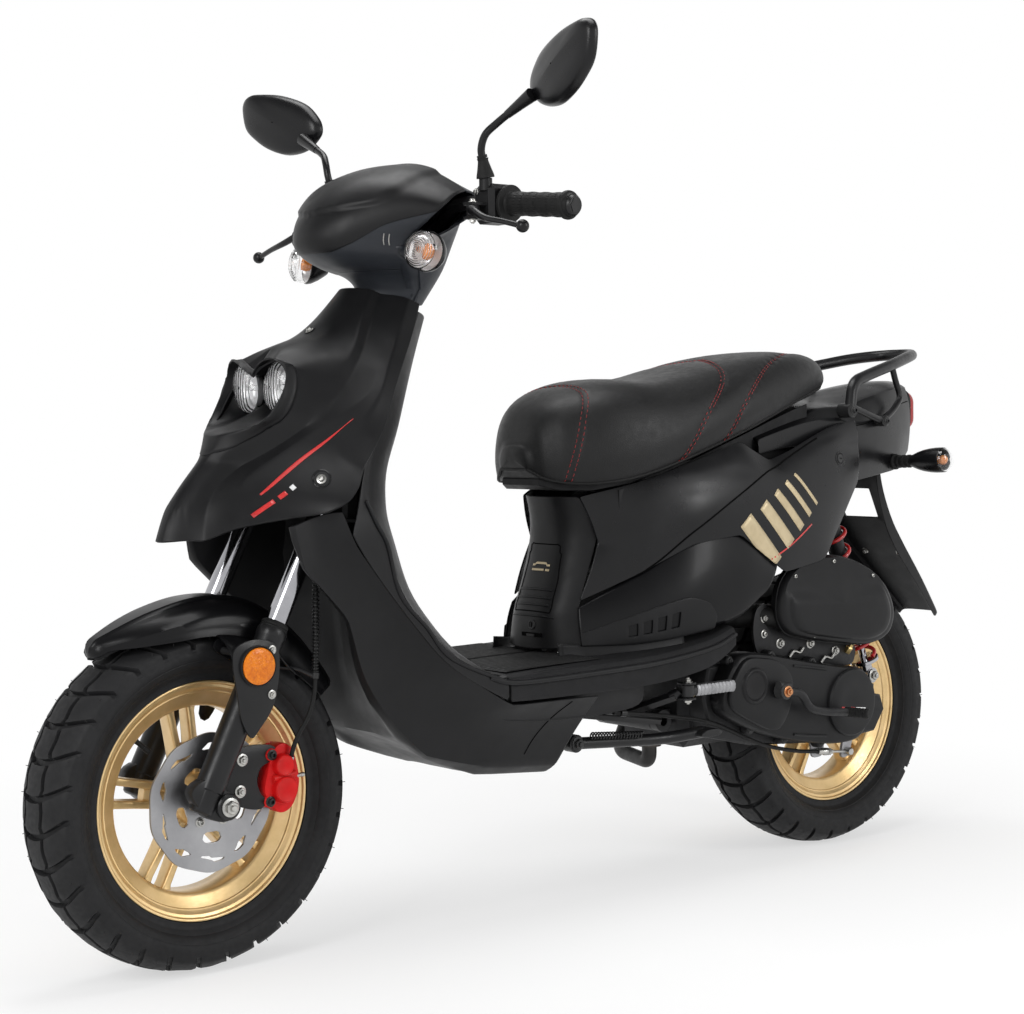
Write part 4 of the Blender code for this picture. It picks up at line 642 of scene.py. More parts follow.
def tyre(node, axle, half):
    """A tyre whose arched cross grooves are joined by short grooves that step from side to side."""
    crown = axle.z
    edge = half - 0.003
    drop = 0.0185

    def tread_radius(x):
        return crown - drop * (abs(x) / edge) ** 2.4

    stops = (0.0, 0.008, 0.014, 0.0185, 0.0197, 0.0243, 0.0255, 0.031, 0.037, 0.043, 0.048, 0.0525)
    tread = sorted({sign * x * edge / 0.057 for x in stops for sign in (1, -1)})
    tread = [-edge] + tread + [edge]
    wall = ((edge + 0.0012, crown - drop - 0.0025, 0.75), (edge + 0.0016, crown - drop - 0.0060, 0.45),
            (edge + 0.0019, crown - drop - 0.0100, 0.12), (half, 0.2080, 0), (half + 0.0004, 0.2035, 0),
            (half, 0.1990, 0), (half - 0.0012, 0.1965, 0), (half - 0.0016, 0.1958, 0),
            (half - 0.0014, 0.1948, 0), (half - 0.0040, 0.1890, 0), (half - 0.0080, 0.1835, 0),
            (half - 0.0086, 0.1832, 0), (half - 0.0092, 0.1819, 0), (0.0472, 0.1772, 0), (0.0462, 0.1758, 0),
            (0.0450, 0.1715, 0), (0.0453, 0.1668, 0), (0.0356, 0.1664, 0), (0.0353, 0.1520, 0),
            (0.0330, 0.1505, 0),)
    pitch = math.tau / TREAD_PITCHES
    length = pitch * crown
    steps = [-GROOVE_HALF, -GROOVE_HALF + 0.0012, GROOVE_HALF - 0.0012, GROOVE_HALF]
    steps += [GROOVE_HALF + (length - 2 * GROOVE_HALF) * share for share in (0.16, 0.33, 0.5, 0.67, 0.84)]
    section = [(-x, r, deep) for x, r, deep in reversed(wall)] + [(x, tread_radius(x), 1.0) for x in tread]
    section += list(wall)
    rows = []
    for block in range(TREAD_PITCHES):
        for index, step in enumerate(steps):
            row = []
            turn_share = (step + GROOVE_HALF) / length
            for x, radius, deep in section:
                arch = TREAD_ARCH * (1.0 - min(abs(x) / edge, 1.0) ** 2) if deep == 1.0 else 0.0
                angle = block * pitch + (step + arch) / crown
                place = abs(x) * 0.057 / edge
                groove = deep if index in (1, 2) else 0.0
                shift = 0.0
                if deep == 1.0 and 0.0 < place < 0.045:
                    if 0.0190 < place < 0.0250:
                        groove = max(groove, 0.85)
                    wave = (2.0 * abs(2.0 * turn_share - 1.0) - 1.0) * (1 if block % 2 else -1)
                    shift = TREAD_STEP * wave * max(0.0, 1.0 - abs(place - 0.022) / 0.022)
                reach = radius - GROOVE_DEPTH * groove
                row.append(axle + Vector((x + shift, reach * math.cos(angle), reach * math.sin(angle))))
            rows.append(row)
    body = body_of(node)
    piece(node + "_tread", net(rows, True, True), TYRE, body, 32.0, [node])
    hairs = []
    for index in range(VENT_HAIRS):
        angle = index * math.tau / VENT_HAIRS + 0.03 * math.sin(index * 5.0)
        x = edge * (-0.92 if index % 2 else 0.92)
        reach = tread_radius(x) - 0.001
        out = Vector((0.0, math.cos(angle), math.sin(angle)))
        if out.z < -0.93:
            continue
        root = axle + X_AXIS * x + out * reach
        hairs.append(tube([root, root + out * 0.0025, root + out * 0.0045 + X_AXIS * x * 0.02], 0.0005, 6))
    piece(node + "_vent_hairs", merged(*hairs), TYRE, body, 60.0)


SPOKE_PAIRS = 5
FIRST_SPOKE = math.radians(98.0)


def ring_bar(spin, axle, stops):
    """A spoke bar: stops are (reach, across, half width, half depth)."""
    rows = []
    boxy = 0.38
    for reach, across, wide, deep in stops:
        row = []
        for step in range(20):
            angle = (step + 0.5) * math.tau / 20
            c, s = math.cos(angle), math.sin(angle)
            row.append(axle + spin @ Vector((deep * math.copysign(abs(c) ** boxy, c), reach,
                                             across + wide * math.copysign(abs(s) ** boxy, s))))
        rows.append(row)
    return net(rows, False, True, True)


def rim(node, axle, hub_left, hub_right, bore):
    """A cast wheel: stepped barrel, hub and five forked spokes."""
    side = ((0.0352, 0.1500), (0.0352, 0.1652), (0.0358, 0.1660), (0.0430, 0.1660), (0.0440, 0.1655),
            (0.0444, 0.1645), (0.0442, 0.1628), (0.0428, 0.1614), (0.0404, 0.1608), (0.0398, 0.1598),
            (0.0396, 0.1575), (0.0386, 0.1562), (0.0368, 0.1545), (0.0330, 0.1480), (0.0262, 0.1350),
            (0.0245, 0.1312), (0.0220, 0.1292))
    outside = ((-0.0352, 0.1490), (-0.013, 0.1360), (0.013, 0.1360))
    profile = list(side) + [(-x, r) for x, r in reversed(side)] + list(outside)
    meshes = [turned(profile, axle, X_AXIS, 96, True)]
    meshes.append(turned((
        (hub_left, bore), (hub_left, 0.0225), (hub_left - 0.0015, 0.0240), (0.030, 0.0300), (0.026, 0.0350),
        (0.024, 0.0365), (-0.024, 0.0365), (-0.026, 0.0350), (-0.030, 0.0300), (-hub_right + 0.0015, 0.0240),
        (-hub_right, 0.0225), (-hub_right, bore)), axle, X_AXIS, 48, True))
    for pair in range(SPOKE_PAIRS):
        spin = Matrix.Rotation(FIRST_SPOKE + pair * math.tau / SPOKE_PAIRS, 3, "X")
        for lean in (1, -1):
            meshes.append(ring_bar(spin, axle, (
                (0.028, lean * 0.0100, 0.0070, 0.0180), (0.050, lean * 0.0120, 0.0062, 0.0170),
                (0.090, lean * 0.0142, 0.0056, 0.0148), (0.120, lean * 0.0158, 0.0060, 0.0135),
                (0.127, lean * 0.0168, 0.0074, 0.0142), (0.1325, lean * 0.0176, 0.0092, 0.0156))))
        meshes.append(ring_bar(spin, axle, (
            (0.030, 0.0, 0.0130, 0.0140), (0.060, 0.0, 0.0120, 0.0125), (0.070, 0.0, 0.0100, 0.0105),
            (0.076, 0.0, 0.0085, 0.0075))))
    piece(node + "_casting", merged(*meshes), GOLD, body_of(node), 40.0, [node])
    spin = Matrix.Rotation(FIRST_SPOKE + math.radians(36.0), 3, "X")
    valve = turned(((0.0, 0.0), (0.0, 0.0052), (0.004, 0.0055), (0.010, 0.0036), (0.022, 0.0032),
                    (0.022, 0.0042), (0.031, 0.0040), (0.032, 0.0030), (0.032, 0.0)),
                   axle + spin @ Vector((0.004, 0.1290, 0.0)), spin @ Vector((0.35, -0.94, 0.0)), 18)
    piece(node + "_valve", valve, RUBBER, body_of(node), 40.0)


def flat_plate(outline, holes, thickness, centre, facing, ahead, soften=0.0004):
    """A flat part cut from plate: closed lines of (along, across) points, with holes."""
    data = bpy.data.curves.new("plate", "CURVE")
    data.dimensions = "2D"
    data.fill_mode = "BOTH"
    data.extrude = thickness / 2 - soften
    data.bevel_depth = soften
    data.bevel_resolution = 1
    for line in [outline] + list(holes):
        spline = data.splines.new("POLY")
        spline.points.add(len(line) - 1)
        for point, (u, v) in zip(spline.points, line):
            point.co = (u, v, 0.0, 1.0)
        spline.use_cyclic_u = True
    carrier = bpy.data.objects.new("plate", data)
    SCENE.collection.objects.link(carrier)
    facing = Vector(facing).normalized()
    along = (Vector(ahead) - facing * facing.dot(Vector(ahead))).normalized()
    placing = Matrix((along, facing.cross(along), facing)).transposed().to_4x4()
    placing.translation = Vector(centre)
    bpy.context.view_layer.update()
    mesh = bmesh.new()
    flat = carrier.evaluated_get(bpy.context.evaluated_depsgraph_get()).to_mesh()
    mesh.from_mesh(flat)
    bpy.data.objects.remove(carrier)
    bpy.data.curves.remove(data)
    mesh.transform(placing)
    bmesh.ops.remove_doubles(mesh, verts=mesh.verts, dist=1e-6)
    bmesh.ops.recalc_face_normals(mesh, faces=mesh.faces)
    return mesh


def side_plate(points, steps, thickness, x, soften=0.0008):
    """A plate that stands along the scooter at x: (y, z) points, curved in so many steps."""
    line = smooth_ring(points, steps) if steps else points
    return flat_plate(line, (), thickness, at(x, 0, 0), X_AXIS, Y_AXIS, soften)


def arc_slot(inner, outer, start, end, lean=0.0):
    """A rounded slot between two radii; lean turns its outer side along the disc."""
    line = []
    steps = 8
    for radius, shift, order in ((inner, -lean, 1), (outer, lean, -1)):
        turns = [start + (end - start) * step / steps for step in range(steps + 1)][::order]
        for index, turn in enumerate(turns):
            near_end = min(index, steps - index)
            tuck = (outer - inner) * (0.28, 0.08)[near_end] if near_end < 2 else 0.0
            size = radius + (tuck if radius == inner else -tuck)
            line.append((size * math.cos(turn + shift), size * math.sin(turn + shift)))
    return line


DISC_R = 0.096
DISC_X = 0.058


def disc():
    """A waved brake disc with leaning slots, on a five-armed carrier held by bolts."""
    waves = 10
    outline = [(DISC_R - 0.0022 * (1 - math.cos(waves * t)) / 2) for t in spread(240)]
    outline = [(r * math.cos(t), r * math.sin(t)) for r, t in zip(outline, spread(240))]
    holes = [[(0.0215 * math.cos(t), 0.0215 * math.sin(t)) for t in spread(40)]]
    for index, turn in enumerate(spread(waves)):
        lean = 0.13 if index % 2 else -0.05
        holes.append(arc_slot(0.073, 0.083, turn - 0.13, turn + 0.13, lean))
    for turn in spread(5):
        holes.append(arc_slot(0.040, 0.056, turn + 0.33, turn + 0.93))
    plate = flat_plate(outline, holes, 0.004, FRONT_AXLE + X_AXIS * DISC_X, X_AXIS, Z_AXIS)
    piece("brake_disc_ground", plate, BRUSHED, "front_wheel", 12.0, ["brake_disc"])
    bolts = []
    for turn in spread(5):
        spot = FRONT_AXLE + Vector((DISC_X + 0.002, 0.031 * math.sin(turn), 0.031 * math.cos(turn)))
        bolts.append(bolt_head(spot, X_AXIS, 0.0048))
    piece("brake_disc_bolts", merged(*bolts), ZINC, "front_wheel")


def brushed_steel():
    """Ground steel with fine rings round the wheel's axle."""
    material = surface("brushed_disc_steel", "steel", (0.29, 0.29, 0.30), (0.38, 0.38, 0.39), 0.40, 0.05,
                       metal=1.0, patches=14.0)
    add, join = nodes_of(material.node_tree)
    shader = next(node for node in material.node_tree.nodes if node.type == "BSDF_PRINCIPLED")
    mapping = add("ShaderNodeMapping")
    mapping.inputs["Location"].default_value = -FRONT_AXLE
    join(add("ShaderNodeTexCoord").outputs["Object"], mapping.inputs["Vector"])
    rings = add("ShaderNodeTexWave", Scale=420.0, Distortion=1.5, Detail=2.0)
    rings.wave_type = "RINGS"
    rings.rings_direction = "X"
    join(mapping.outputs[0], rings.inputs["Vector"])
    bump = add("ShaderNodeBump", Strength=0.6, Distance=0.00003)
    join(rings.outputs["Fac"], bump.inputs["Height"])
    join(bump.outputs["Normal"], shader.inputs["Normal"])
    return material


BRUSHED = brushed_steel()
tyre("front_tyre", FRONT_AXLE, 0.060)
tyre("rear_tyre", REAR_HUB, 0.065)
rim("front_rim", FRONT_AXLE, 0.0555, 0.060, 0.0090)
rim("rear_rim", REAR_HUB, 0.070, 0.055, 0.0115)
disc()


# Seat

SEAT_SECTION = ((0.0, 1.0), (0.36, 0.985), (0.66, 0.92), (0.86, 0.76), (0.97, 0.52), (1.0, 0.28),
                (0.955, 0.08), (0.90, 0.0))
SEAT_SEAMS = (
    ((0.0, 0.690), (0.25, 0.678), (0.5, 0.652), (0.75, 0.636), (1.0, 0.632)),
    ((0.0, 1.004), (0.2, 0.966), (0.4, 0.931), (0.6, 0.874), (0.8, 0.840), (1.0, 0.821)),
    ((0.0, 1.195), (0.2, 1.150), (0.4, 1.040), (0.6, 0.966), (0.8, 0.932), (1.0, 0.921)),
)
SEAM_DEPTH = 0.0024
SEAM_WIDTH = 0.0042
STITCH = 0.0046
STITCH_STEP = 0.0066
STITCH_R = 0.00055
STITCH_SHIFT = 0.0042
SEAT_ROWS = 230
SEAT_COLUMNS = 30
SEAT_END = 0.009


def through(points, value):
    """The height at a value on a smooth line through (value, height) points."""
    values = [point[0] for point in points]
    i = max(0, min(len(points) - 2, sum(v <= value for v in values) - 1))
    (x0, y0), (x1, y1) = points[i], points[i + 1]
    before = points[max(i - 1, 0)]
    after = points[min(i + 2, len(points) - 1)]
    slope0 = (y1 - before[1]) / (x1 - before[0])
    slope1 = (after[1] - y0) / (after[0] - x0)
    t = (value - x0) / (x1 - x0)
    step = x1 - x0
    return ((2 * t ** 3 - 3 * t * t + 1) * y0 + (t ** 3 - 2 * t * t + t) * step * slope0
            + (3 * t * t - 2 * t ** 3) * y1 + (t ** 3 - t * t) * step * slope1)


def seat_stations():
    """The sections of the cushion's solid: where each lies, its underside, its top and its half width."""
    groups = {}
    for vert in NODES["seat_cushion"].data.vertices:
        groups.setdefault(round(vert.co.y, 3), []).append(vert.co)
    return [(y, min(p.z for p in points), max(p.z for p in points), max(p.x for p in points))
            for y, points in sorted(groups.items())]


STATIONS = seat_stations()
SEAT_FRONT, SEAT_BACK = STATIONS[0][0], STATIONS[-1][0]
SHARES = [index / (len(SEAT_SECTION) - 1) for index in range(len(SEAT_SECTION))]
ACROSS = list(zip(SHARES, [x for x, z in SEAT_SECTION]))
UPWARD = list(zip(SHARES, [z for x, z in SEAT_SECTION]))
LOWS, TOPS, HALVES = ([(row[0], row[column]) for row in STATIONS] for column in (1, 2, 3))


def seat_point(y, share, side):
    """A point of the cover: share runs from the middle of the top to the lower edge."""
    inside = min(max(y, SEAT_FRONT), SEAT_BACK)
    low, top, half = through(LOWS, inside), through(TOPS, inside), through(HALVES, inside)
    beyond = abs(y - inside)
    shrink = math.sqrt(max(0.0, 1.0 - (beyond / SEAT_END) ** 2))
    middle_z = (low + top) / 2
    z = low + (top - low) * through(UPWARD, share)
    return Vector((side * half * shrink * through(ACROSS, share), y, middle_z + (z - middle_z) * shrink))


def seam_place(seam, share):
    """Where a seat seam lies along the scooter at a share of the seat's width."""
    return through(seam, share) + FRONT_AXLE.y


def make_seat():
    """The two-level cushion: crowned, drawn in at its foot, with three sewn seams."""
    ends = (0.0086, 0.0078, 0.0062, 0.0036)
    ys = [SEAT_FRONT - e for e in ends]
    ys += [SEAT_FRONT + (SEAT_BACK - SEAT_FRONT) * i / SEAT_ROWS for i in range(SEAT_ROWS + 1)]
    ys += [SEAT_BACK + e for e in reversed(ends)]
    shares = [i / SEAT_COLUMNS for i in range(SEAT_COLUMNS + 1)]
    rows = []
    facts = []
    for y in ys:
        row = [seat_point(y, share, 1) for share in shares]
        row += [seat_point(y, 1.0, 1).lerp(seat_point(y, 1.0, -1), t) for t in (0.2, 0.4, 0.6, 0.8)]
        row += [seat_point(y, share, -1) for share in reversed(shares[1:])]
        rows.append(row)
        facts += [(y, share) for share in shares] + [(y, 2.0)] * 4
        facts += [(y, share) for share in reversed(shares[1:])]
    mesh = net(rows, False, True, True)
    mesh.normal_update()
    moves = []
    for vert in mesh.verts:
        y, share = facts[vert.index] if vert.index < len(facts) else (vert.co.y, 2.0)
        if share > 1.0:
            moves.append(0.0)
            continue
        gap = min(abs(y - seam_place(seam, share)) for seam in SEAT_SEAMS)
        dent = -SEAM_DEPTH * math.exp(-(gap / SEAM_WIDTH) ** 2)
        swell = 0.0016 * (1.0 - math.exp(-(gap / 0.03) ** 2)) * (1.0 - share ** 4)
        moves.append(dent + swell)
    for vert, move in zip(mesh.verts, moves):
        vert.co += vert.normal * move
    seat = piece("seat_cover", mesh, VINYL, "seat", 60.0, ["seat_cushion"])
    stitches = []
    for seam in SEAT_SEAMS:
        for shift in (-STITCH_SHIFT, STITCH_SHIFT):
            for side in (1, -1):
                line = [seat_point(seam_place(seam, i / 60) + shift, i / 60, side) for i in range(59)]
                stitches += stitch_line(line)
    piece("seat_stitches", merged(*stitches), THREAD, "seat", 60.0)
    edge = [seat_point(y, 0.985, 1) for y in ys[3:-3:4]]
    edge += [seat_point(y, 0.985, -1) for y in reversed(ys[3:-3:4])]
    band = tube(edge + [edge[0]], 0.0026, 8)
    piece("seat_edge_piping", band, RUBBER, "seat", 60.0)


def stitch_line(line):
    """Short threads along a line of points, a little proud of it."""
    made = []
    gone = 0.0
    for a, b in zip(line, line[1:]):
        step = (b - a).length
        gone += step
        if gone >= STITCH_STEP and step > 1e-6:
            gone = 0.0
            way = (b - a).normalized()
            out = Vector((a.x * 3.0, 0.0, 1.0)).normalized()
            if abs(way.z) >= 0.8:
                out = Vector((math.copysign(1, a.x), 0, 0))
            spot = a + out * (-SEAM_DEPTH * 0.35 + STITCH_R)
            sink = out * 0.0006
            made.append(tube([spot - way * STITCH / 2 - sink, spot - way * STITCH * 0.3,
                              spot + way * STITCH * 0.3, spot + way * STITCH / 2 - sink], STITCH_R, 6))
    return made


make_seat()


# Lamps

LAMP_X, LAMP_Z = 0.040, 0.806
LAMP_HALF_X, LAMP_HALF_Z = 0.0275, 0.0362
LAMP_LEAN = math.radians(13.0)


def lamp_oval(side, y, share):
    """A ring of one headlamp, leaning outwards at the top."""
    ring = []
    for angle in spread(48):
        x = LAMP_HALF_X * share * math.cos(angle)
        z = LAMP_HALF_Z * share * math.sin(angle)
        lean_x = x * math.cos(LAMP_LEAN) + z * math.sin(LAMP_LEAN)
        lean_z = z * math.cos(LAMP_LEAN) - x * math.sin(LAMP_LEAN)
        ring.append(at(side * (LAMP_X + lean_x), y, LAMP_Z + lean_z))
    return ring


def make_headlamps():
    """Two fluted oval lenses over bright bowls, in a black housing."""
    outline = ((1.0, 0.35), (0.80, 0.85), (0.45, 1.0), (0.12, 0.92), (-0.12, 0.92), (-0.45, 1.0),
               (-0.80, 0.85), (-1.0, 0.35), (-0.90, -0.55), (-0.60, -1.0), (0.60, -1.0), (0.90, -0.55))
    rows = []
    for y, wide, top, low in ((0.1595, 0.066, 0.836, 0.762), (0.163, 0.071, 0.838, 0.759),
                              (0.172, 0.072, 0.838, 0.759), (0.196, 0.054, 0.828, 0.768)):
        rows.append([at(wide * x, y, (top + low) / 2 + (top - low) / 2 * z) for x, z in outline])
    piece("headlight_housing", net(rows, False, True, True), MATTE, "chassis", 35.0, ["headlight_unit"])
    for name, side in SIDES:
        bowl = [lamp_oval(side, y, share) for y, share in (
            (0.1330, 0.95), (0.1370, 0.93), (0.1440, 0.84), (0.1490, 0.66), (0.1520, 0.42), (0.1530, 0.20),
            (0.1532, 0.02))]
        piece("headlight_bowl_" + name, net(bowl, False, True), REFLECTOR, "chassis", 60.0)
        outer = [(0.1480, 0.995), (0.1310, 0.995), (0.1265, 0.95), (0.1225, 0.84), (0.1200, 0.64),
                 (0.1186, 0.36), (0.1182, 0.06)]
        inner = [(y + 0.0024, share * 0.94) for y, share in reversed(outer[1:])] + [(0.1480, 0.935)]
        lens = [lamp_oval(side, y, share) for y, share in outer + inner]
        piece("headlight_lens_" + name, net(lens, True, True), FLUTED, "chassis", 50.0)
        spot = at(side * LAMP_X, 0.1530, LAMP_Z)
        bulb = turned(((0.0, 0.0), (0.0, 0.0055), (0.004, 0.0055), (0.005, 0.0042), (0.014, 0.0042),
                       (0.018, 0.0026), (0.019, 0.0)), spot, -Y_AXIS, 24)
        piece("headlight_bulb_" + name, bulb, CLEAR, "chassis", 45.0)


make_headlamps()


def make_front_signal(name, side):
    """A round signal: ribbed clear lens, amber bulb, bright bowl, black back and its stalk."""
    face = at(side * 0.156, 0.296, 0.997)
    facing = Vector((side * 0.30, -0.94, 0.10)).normalized()

    def form(profile, steps=40, closed=False):
        return turned(profile, face, facing, steps, closed)

    outer = [(-0.0185, 0.0285), (-0.0030, 0.0282)]
    for ring in range(9):
        radius = 0.0270 - 0.0030 * ring
        height = 0.0098 - 0.0128 * (radius / 0.0285) ** 2.6
        outer += [(height, radius), (height - 0.0007, radius - 0.0014)]
    outer.append((0.0094, 0.0))
    inner = [(0.0068, 0.0), (0.0060, 0.0120), (0.0010, 0.0220), (-0.0050, 0.0262), (-0.0185, 0.0266)]
    piece(name + "_lens", form(outer + inner, 48, True), CLEAR, "steering", 50.0, [name])
    bowl = ((-0.0180, 0.0262), (-0.0220, 0.0240), (-0.0280, 0.0180), (-0.0310, 0.0100), (-0.0315, 0.0))
    piece(name + "_bowl", form(bowl), REFLECTOR, "steering", 60.0)
    bulb = ((-0.0312, 0.0), (-0.0312, 0.0060), (-0.0240, 0.0062), (-0.0220, 0.0088), (-0.0160, 0.0100),
            (-0.0090, 0.0088), (-0.0060, 0.0050), (-0.0052, 0.0))
    piece(name + "_bulb", form(bulb, 24), BULB, "steering", 50.0)
    back = [(-0.0175, 0.0267), (-0.0175, 0.0292), (-0.0200, 0.0295), (-0.0260, 0.0280), (-0.0360, 0.0225),
            (-0.0460, 0.0150), (-0.0500, 0.0115), (-0.0505, 0.0), (-0.0330, 0.0), (-0.0320, 0.0120),
            (-0.0285, 0.0200), (-0.0210, 0.0262)]
    stalk = [face - facing * 0.030, at(side * 0.140, 0.330, 0.999), at(side * 0.1128, 0.339, 1.003)]
    shell = merged(form(back), tube(smooth_path(stalk, 6), 0.0098, 20))
    piece(name + "_back", shell, SATIN, "steering", 40.0)


for name, side in SIDES:
    make_front_signal("front_signal_" + name, side)


# Front fork, guard and brake

GUARD_STATIONS = (
    (122.0, 0.272, 0.026, 0.004), (113.0, 0.270, 0.050, 0.016), (102.0, 0.271, 0.064, 0.026),
    (90.0, 0.277, 0.067, 0.034), (76.0, 0.282, 0.066, 0.040), (62.0, 0.277, 0.066, 0.044),
    (48.0, 0.270, 0.066, 0.040), (36.0, 0.266, 0.064, 0.030),
)
GUARD_SHEET = 0.003
WEB_SHEET = 0.0024
NOSE = ((0.96, 0.0040), (0.86, 0.0085), (0.70, 0.0125), (0.46, 0.0155), (0.20, 0.0170), (0.02, 0.0174))
PLATE_X = 0.1128
CHEEK = ((0.004, 0.452), (0.030, 0.474), (0.064, 0.478), (0.104, 0.446), (0.112, 0.418), (0.096, 0.372),
         (0.072, 0.334), (0.058, 0.342), (0.066, 0.394), (0.034, 0.430))
GUARD_PLATE = ((0.012, 0.454), (0.006, 0.432), (0.012, 0.392), (0.018, 0.356), (0.032, 0.331), (0.044, 0.340),
               (0.066, 0.368), (0.076, 0.404), (0.078, 0.440), (0.068, 0.456), (0.040, 0.462))
WEB_EDGE = ((0.0060, 0.4180), (0.0085, 0.4460), (0.0300, 0.4600), (0.0560, 0.4600), (0.0740, 0.4480))


def guard_row(angle):
    """One line across the guard: a raised spine, a rounded shoulder and a side that falls to a lip."""
    radius, half, drop = (through([(-row[0], row[column]) for row in GUARD_STATIONS], -angle)
                          for column in (1, 2, 3))
    turn = math.radians(angle)
    out = Vector((0.0, math.cos(turn), math.sin(turn)))
    fade = max(0.0, min(1.0, (118.0 - angle) / 14.0, (angle - 38.0) / 12.0))
    spine = 0.0022 * fade
    falls = ((0.0, -spine), (0.20, -spine), (0.33, -spine * 0.9), (0.36, 0.002), (0.45, 0.004),
             (0.60, 0.0062), (0.74, 0.0098), (0.86, 0.0148), (0.94, 0.0205), (0.985, 0.42 * drop + 0.0105),
             (1.004, 0.70 * drop + 0.0125), (1.014, drop + 0.0125), (1.030, drop + 0.0138),
             (1.030, drop + 0.0152))
    return [FRONT_AXLE + X_AXIS * (share * half) + out * (radius - fall) for share, fall in falls]


def make_guard():
    """The front mudguard with its spine, the cheeks and webs down to the fork, brackets and reflectors."""
    rows = []
    for step in range(61):
        row = guard_row(122.0 - 86.0 * step / 60)
        mirrored = [Vector((-p.x, p.y, p.z)) for p in reversed(row[1:])]
        rows.append(mirrored + row)
    first = rows[0]
    root = (first[0] + first[-1]) / 2
    turn = math.radians(122.0)
    onward = Vector((0.0, -math.sin(turn), math.cos(turn)))
    for share, step in NOSE:
        rows.insert(0, [root + (point - root) * share + onward * step for point in first])
    guard = piece("front_mudguard_shell", net(rows), GLOSS, "fork_lower", 50.0, ["front_mudguard"])
    thicken(guard, GUARD_SHEET)
    for name, side in SIDES:
        cheek = side_plate(CHEEK, 3, 0.004, side * 0.0642)
        piece("front_mudguard_cheek_" + name, cheek, GLOSS, "fork_lower", 30.0)
        plate = side_plate(GUARD_PLATE, 4, 0.004, side * PLATE_X, 0.0012)
        stays = [tube([at(side * 0.066, y, z), at(side * (PLATE_X - 0.001), y, z)], 0.0052, 14)
                 for y, z in ((0.062, 0.449), (0.020, 0.446), (0.064, 0.383))]
        rows = []
        for i, end in enumerate(smooth_path([at(side * PLATE_X, y, z) for y, z in WEB_EDGE], 4)):
            lip = guard_row(88.0 - 40.0 * i / 16)[-2]
            lip = Vector((side * lip.x, lip.y, lip.z))
            bend = Vector((end.x, lip.y * 0.35 + end.y * 0.65, lip.z * 0.75 + end.z * 0.25))
            rows.append([lip.lerp(bend, t).lerp(bend.lerp(end, t), t)
                         for t in (0.0, 0.14, 0.28, 0.42, 0.56, 0.70, 0.85, 1.0)])
        web = piece("front_mudguard_web_" + name, net(rows), GLOSS, "fork_lower", 60.0)
        thicken(web, WEB_SHEET, 0.0)
        piece("front_mudguard_bracket_" + name, merged(plate, *stays), FRAME_PAINT, "fork_lower", 30.0)
        bolts = [bolt_head(at(side * (PLATE_X + 0.002), y, z), X_AXIS * side, 0.0042, False)
                 for y, z in ((0.067, 0.447), (0.0655, 0.386))]
        piece("front_mudguard_bolts_" + name, merged(*bolts), ZINC, "fork_lower")
        spot = at(side * (PLATE_X + 0.002), 0.0425, 0.427)
        cup = turned(((0.0, 0.0), (0.0, 0.0282), (0.0050, 0.0282), (0.0058, 0.0272), (0.0050, 0.0258),
                      (0.0030, 0.0255), (0.0030, 0.0)), spot, X_AXIS * side, 48)
        piece("front_reflector_cup_" + name, cup, MATTE, "fork_lower", 40.0)
        glass = turned(((0.0032, 0.0), (0.0032, 0.0252), (0.0062, 0.0252), (0.0074, 0.0236), (0.0078, 0.0160),
                        (0.0080, 0.0)), spot, X_AXIS * side, 48)
        piece("front_reflector_" + name, glass, AMBER, "fork_lower", 40.0)


def make_fork_leg(name, side):
    """A lower fork leg with its dust seal, its axle lug and the chromed tube above it."""
    foot = fork_point(0.0, LEG_AHEAD, side * FORK_HALF)
    leg = turned(((0.090, 0.0), (0.090, 0.0166), (0.2465, 0.0166), (0.2475, 0.0196), (0.2440, 0.0213),
                  (0.2350, 0.0215), (0.2325, 0.0205), (0.020, 0.0205), (0.0110, 0.0203), (0.0095, 0.0186),
                  (0.0075, 0.0184), (-0.012, 0.0182), (-0.0200, 0.0160), (-0.0222, 0.0128), (-0.0222, 0.0)),
                 foot, STEER, 48)
    boss = turned(((0.0735, 0.0092), (0.0735, 0.0165), (0.0750, 0.0182), (0.1065, 0.0182), (0.1085, 0.0165),
                   (0.1085, 0.0092)), FRONT_AXLE, X_AXIS * side, 40, True)
    lug = side_plate(((-0.052, 0.262), (-0.030, 0.276), (0.000, 0.257), (0.0155, 0.245), (0.0150, 0.228),
                      (0.0, 0.2210), (-0.018, 0.224), (-0.034, 0.234)), 4, 0.022, side * 0.0915, 0.003)
    piece("fork_leg_" + name, merged(leg, boss, lug), FRAME_PAINT, "fork_lower", 38.0,
          ["fork_slider_" + name])
    seal = turned(((0.2470, 0.0166), (0.2470, 0.0192), (0.2490, 0.0198), (0.2510, 0.0188), (0.2530, 0.0196),
                   (0.2560, 0.0186), (0.2575, 0.0166), (0.2560, 0.0156), (0.2500, 0.0156)), foot, STEER, 40,
                  True)
    piece("fork_seal_" + name, seal, RUBBER, "fork_lower", 30.0)
    upper = turned(((0.146, 0.0), (0.146, 0.0142), (0.1475, 0.0150), (0.4910, 0.0150), (0.492, 0.0140),
                    (0.492, 0.0)), foot, STEER, 48)
    piece("fork_chrome_" + name, upper, CHROME, "steering", 40.0, ["fork_tube_" + name])


def make_axle():
    """The front axle with a hexagon head on each side, over its washers."""
    shaft = turned(((-0.1095, 0.0), (-0.1095, 0.0075), (0.1095, 0.0075), (0.1095, 0.0)), FRONT_AXLE, X_AXIS,
                   32)
    heads = [bolt_head(FRONT_AXLE + X_AXIS * side * 0.1086, X_AXIS * side, 0.0088, False) for side in (1, -1)]
    piece("front_axle_bolt", merged(shaft, *heads), ZINC, "fork_lower", 35.0, ["front_axle"])


CALIPER_PINS = ((0.0795, 0.2985), (0.0760, 0.2340))


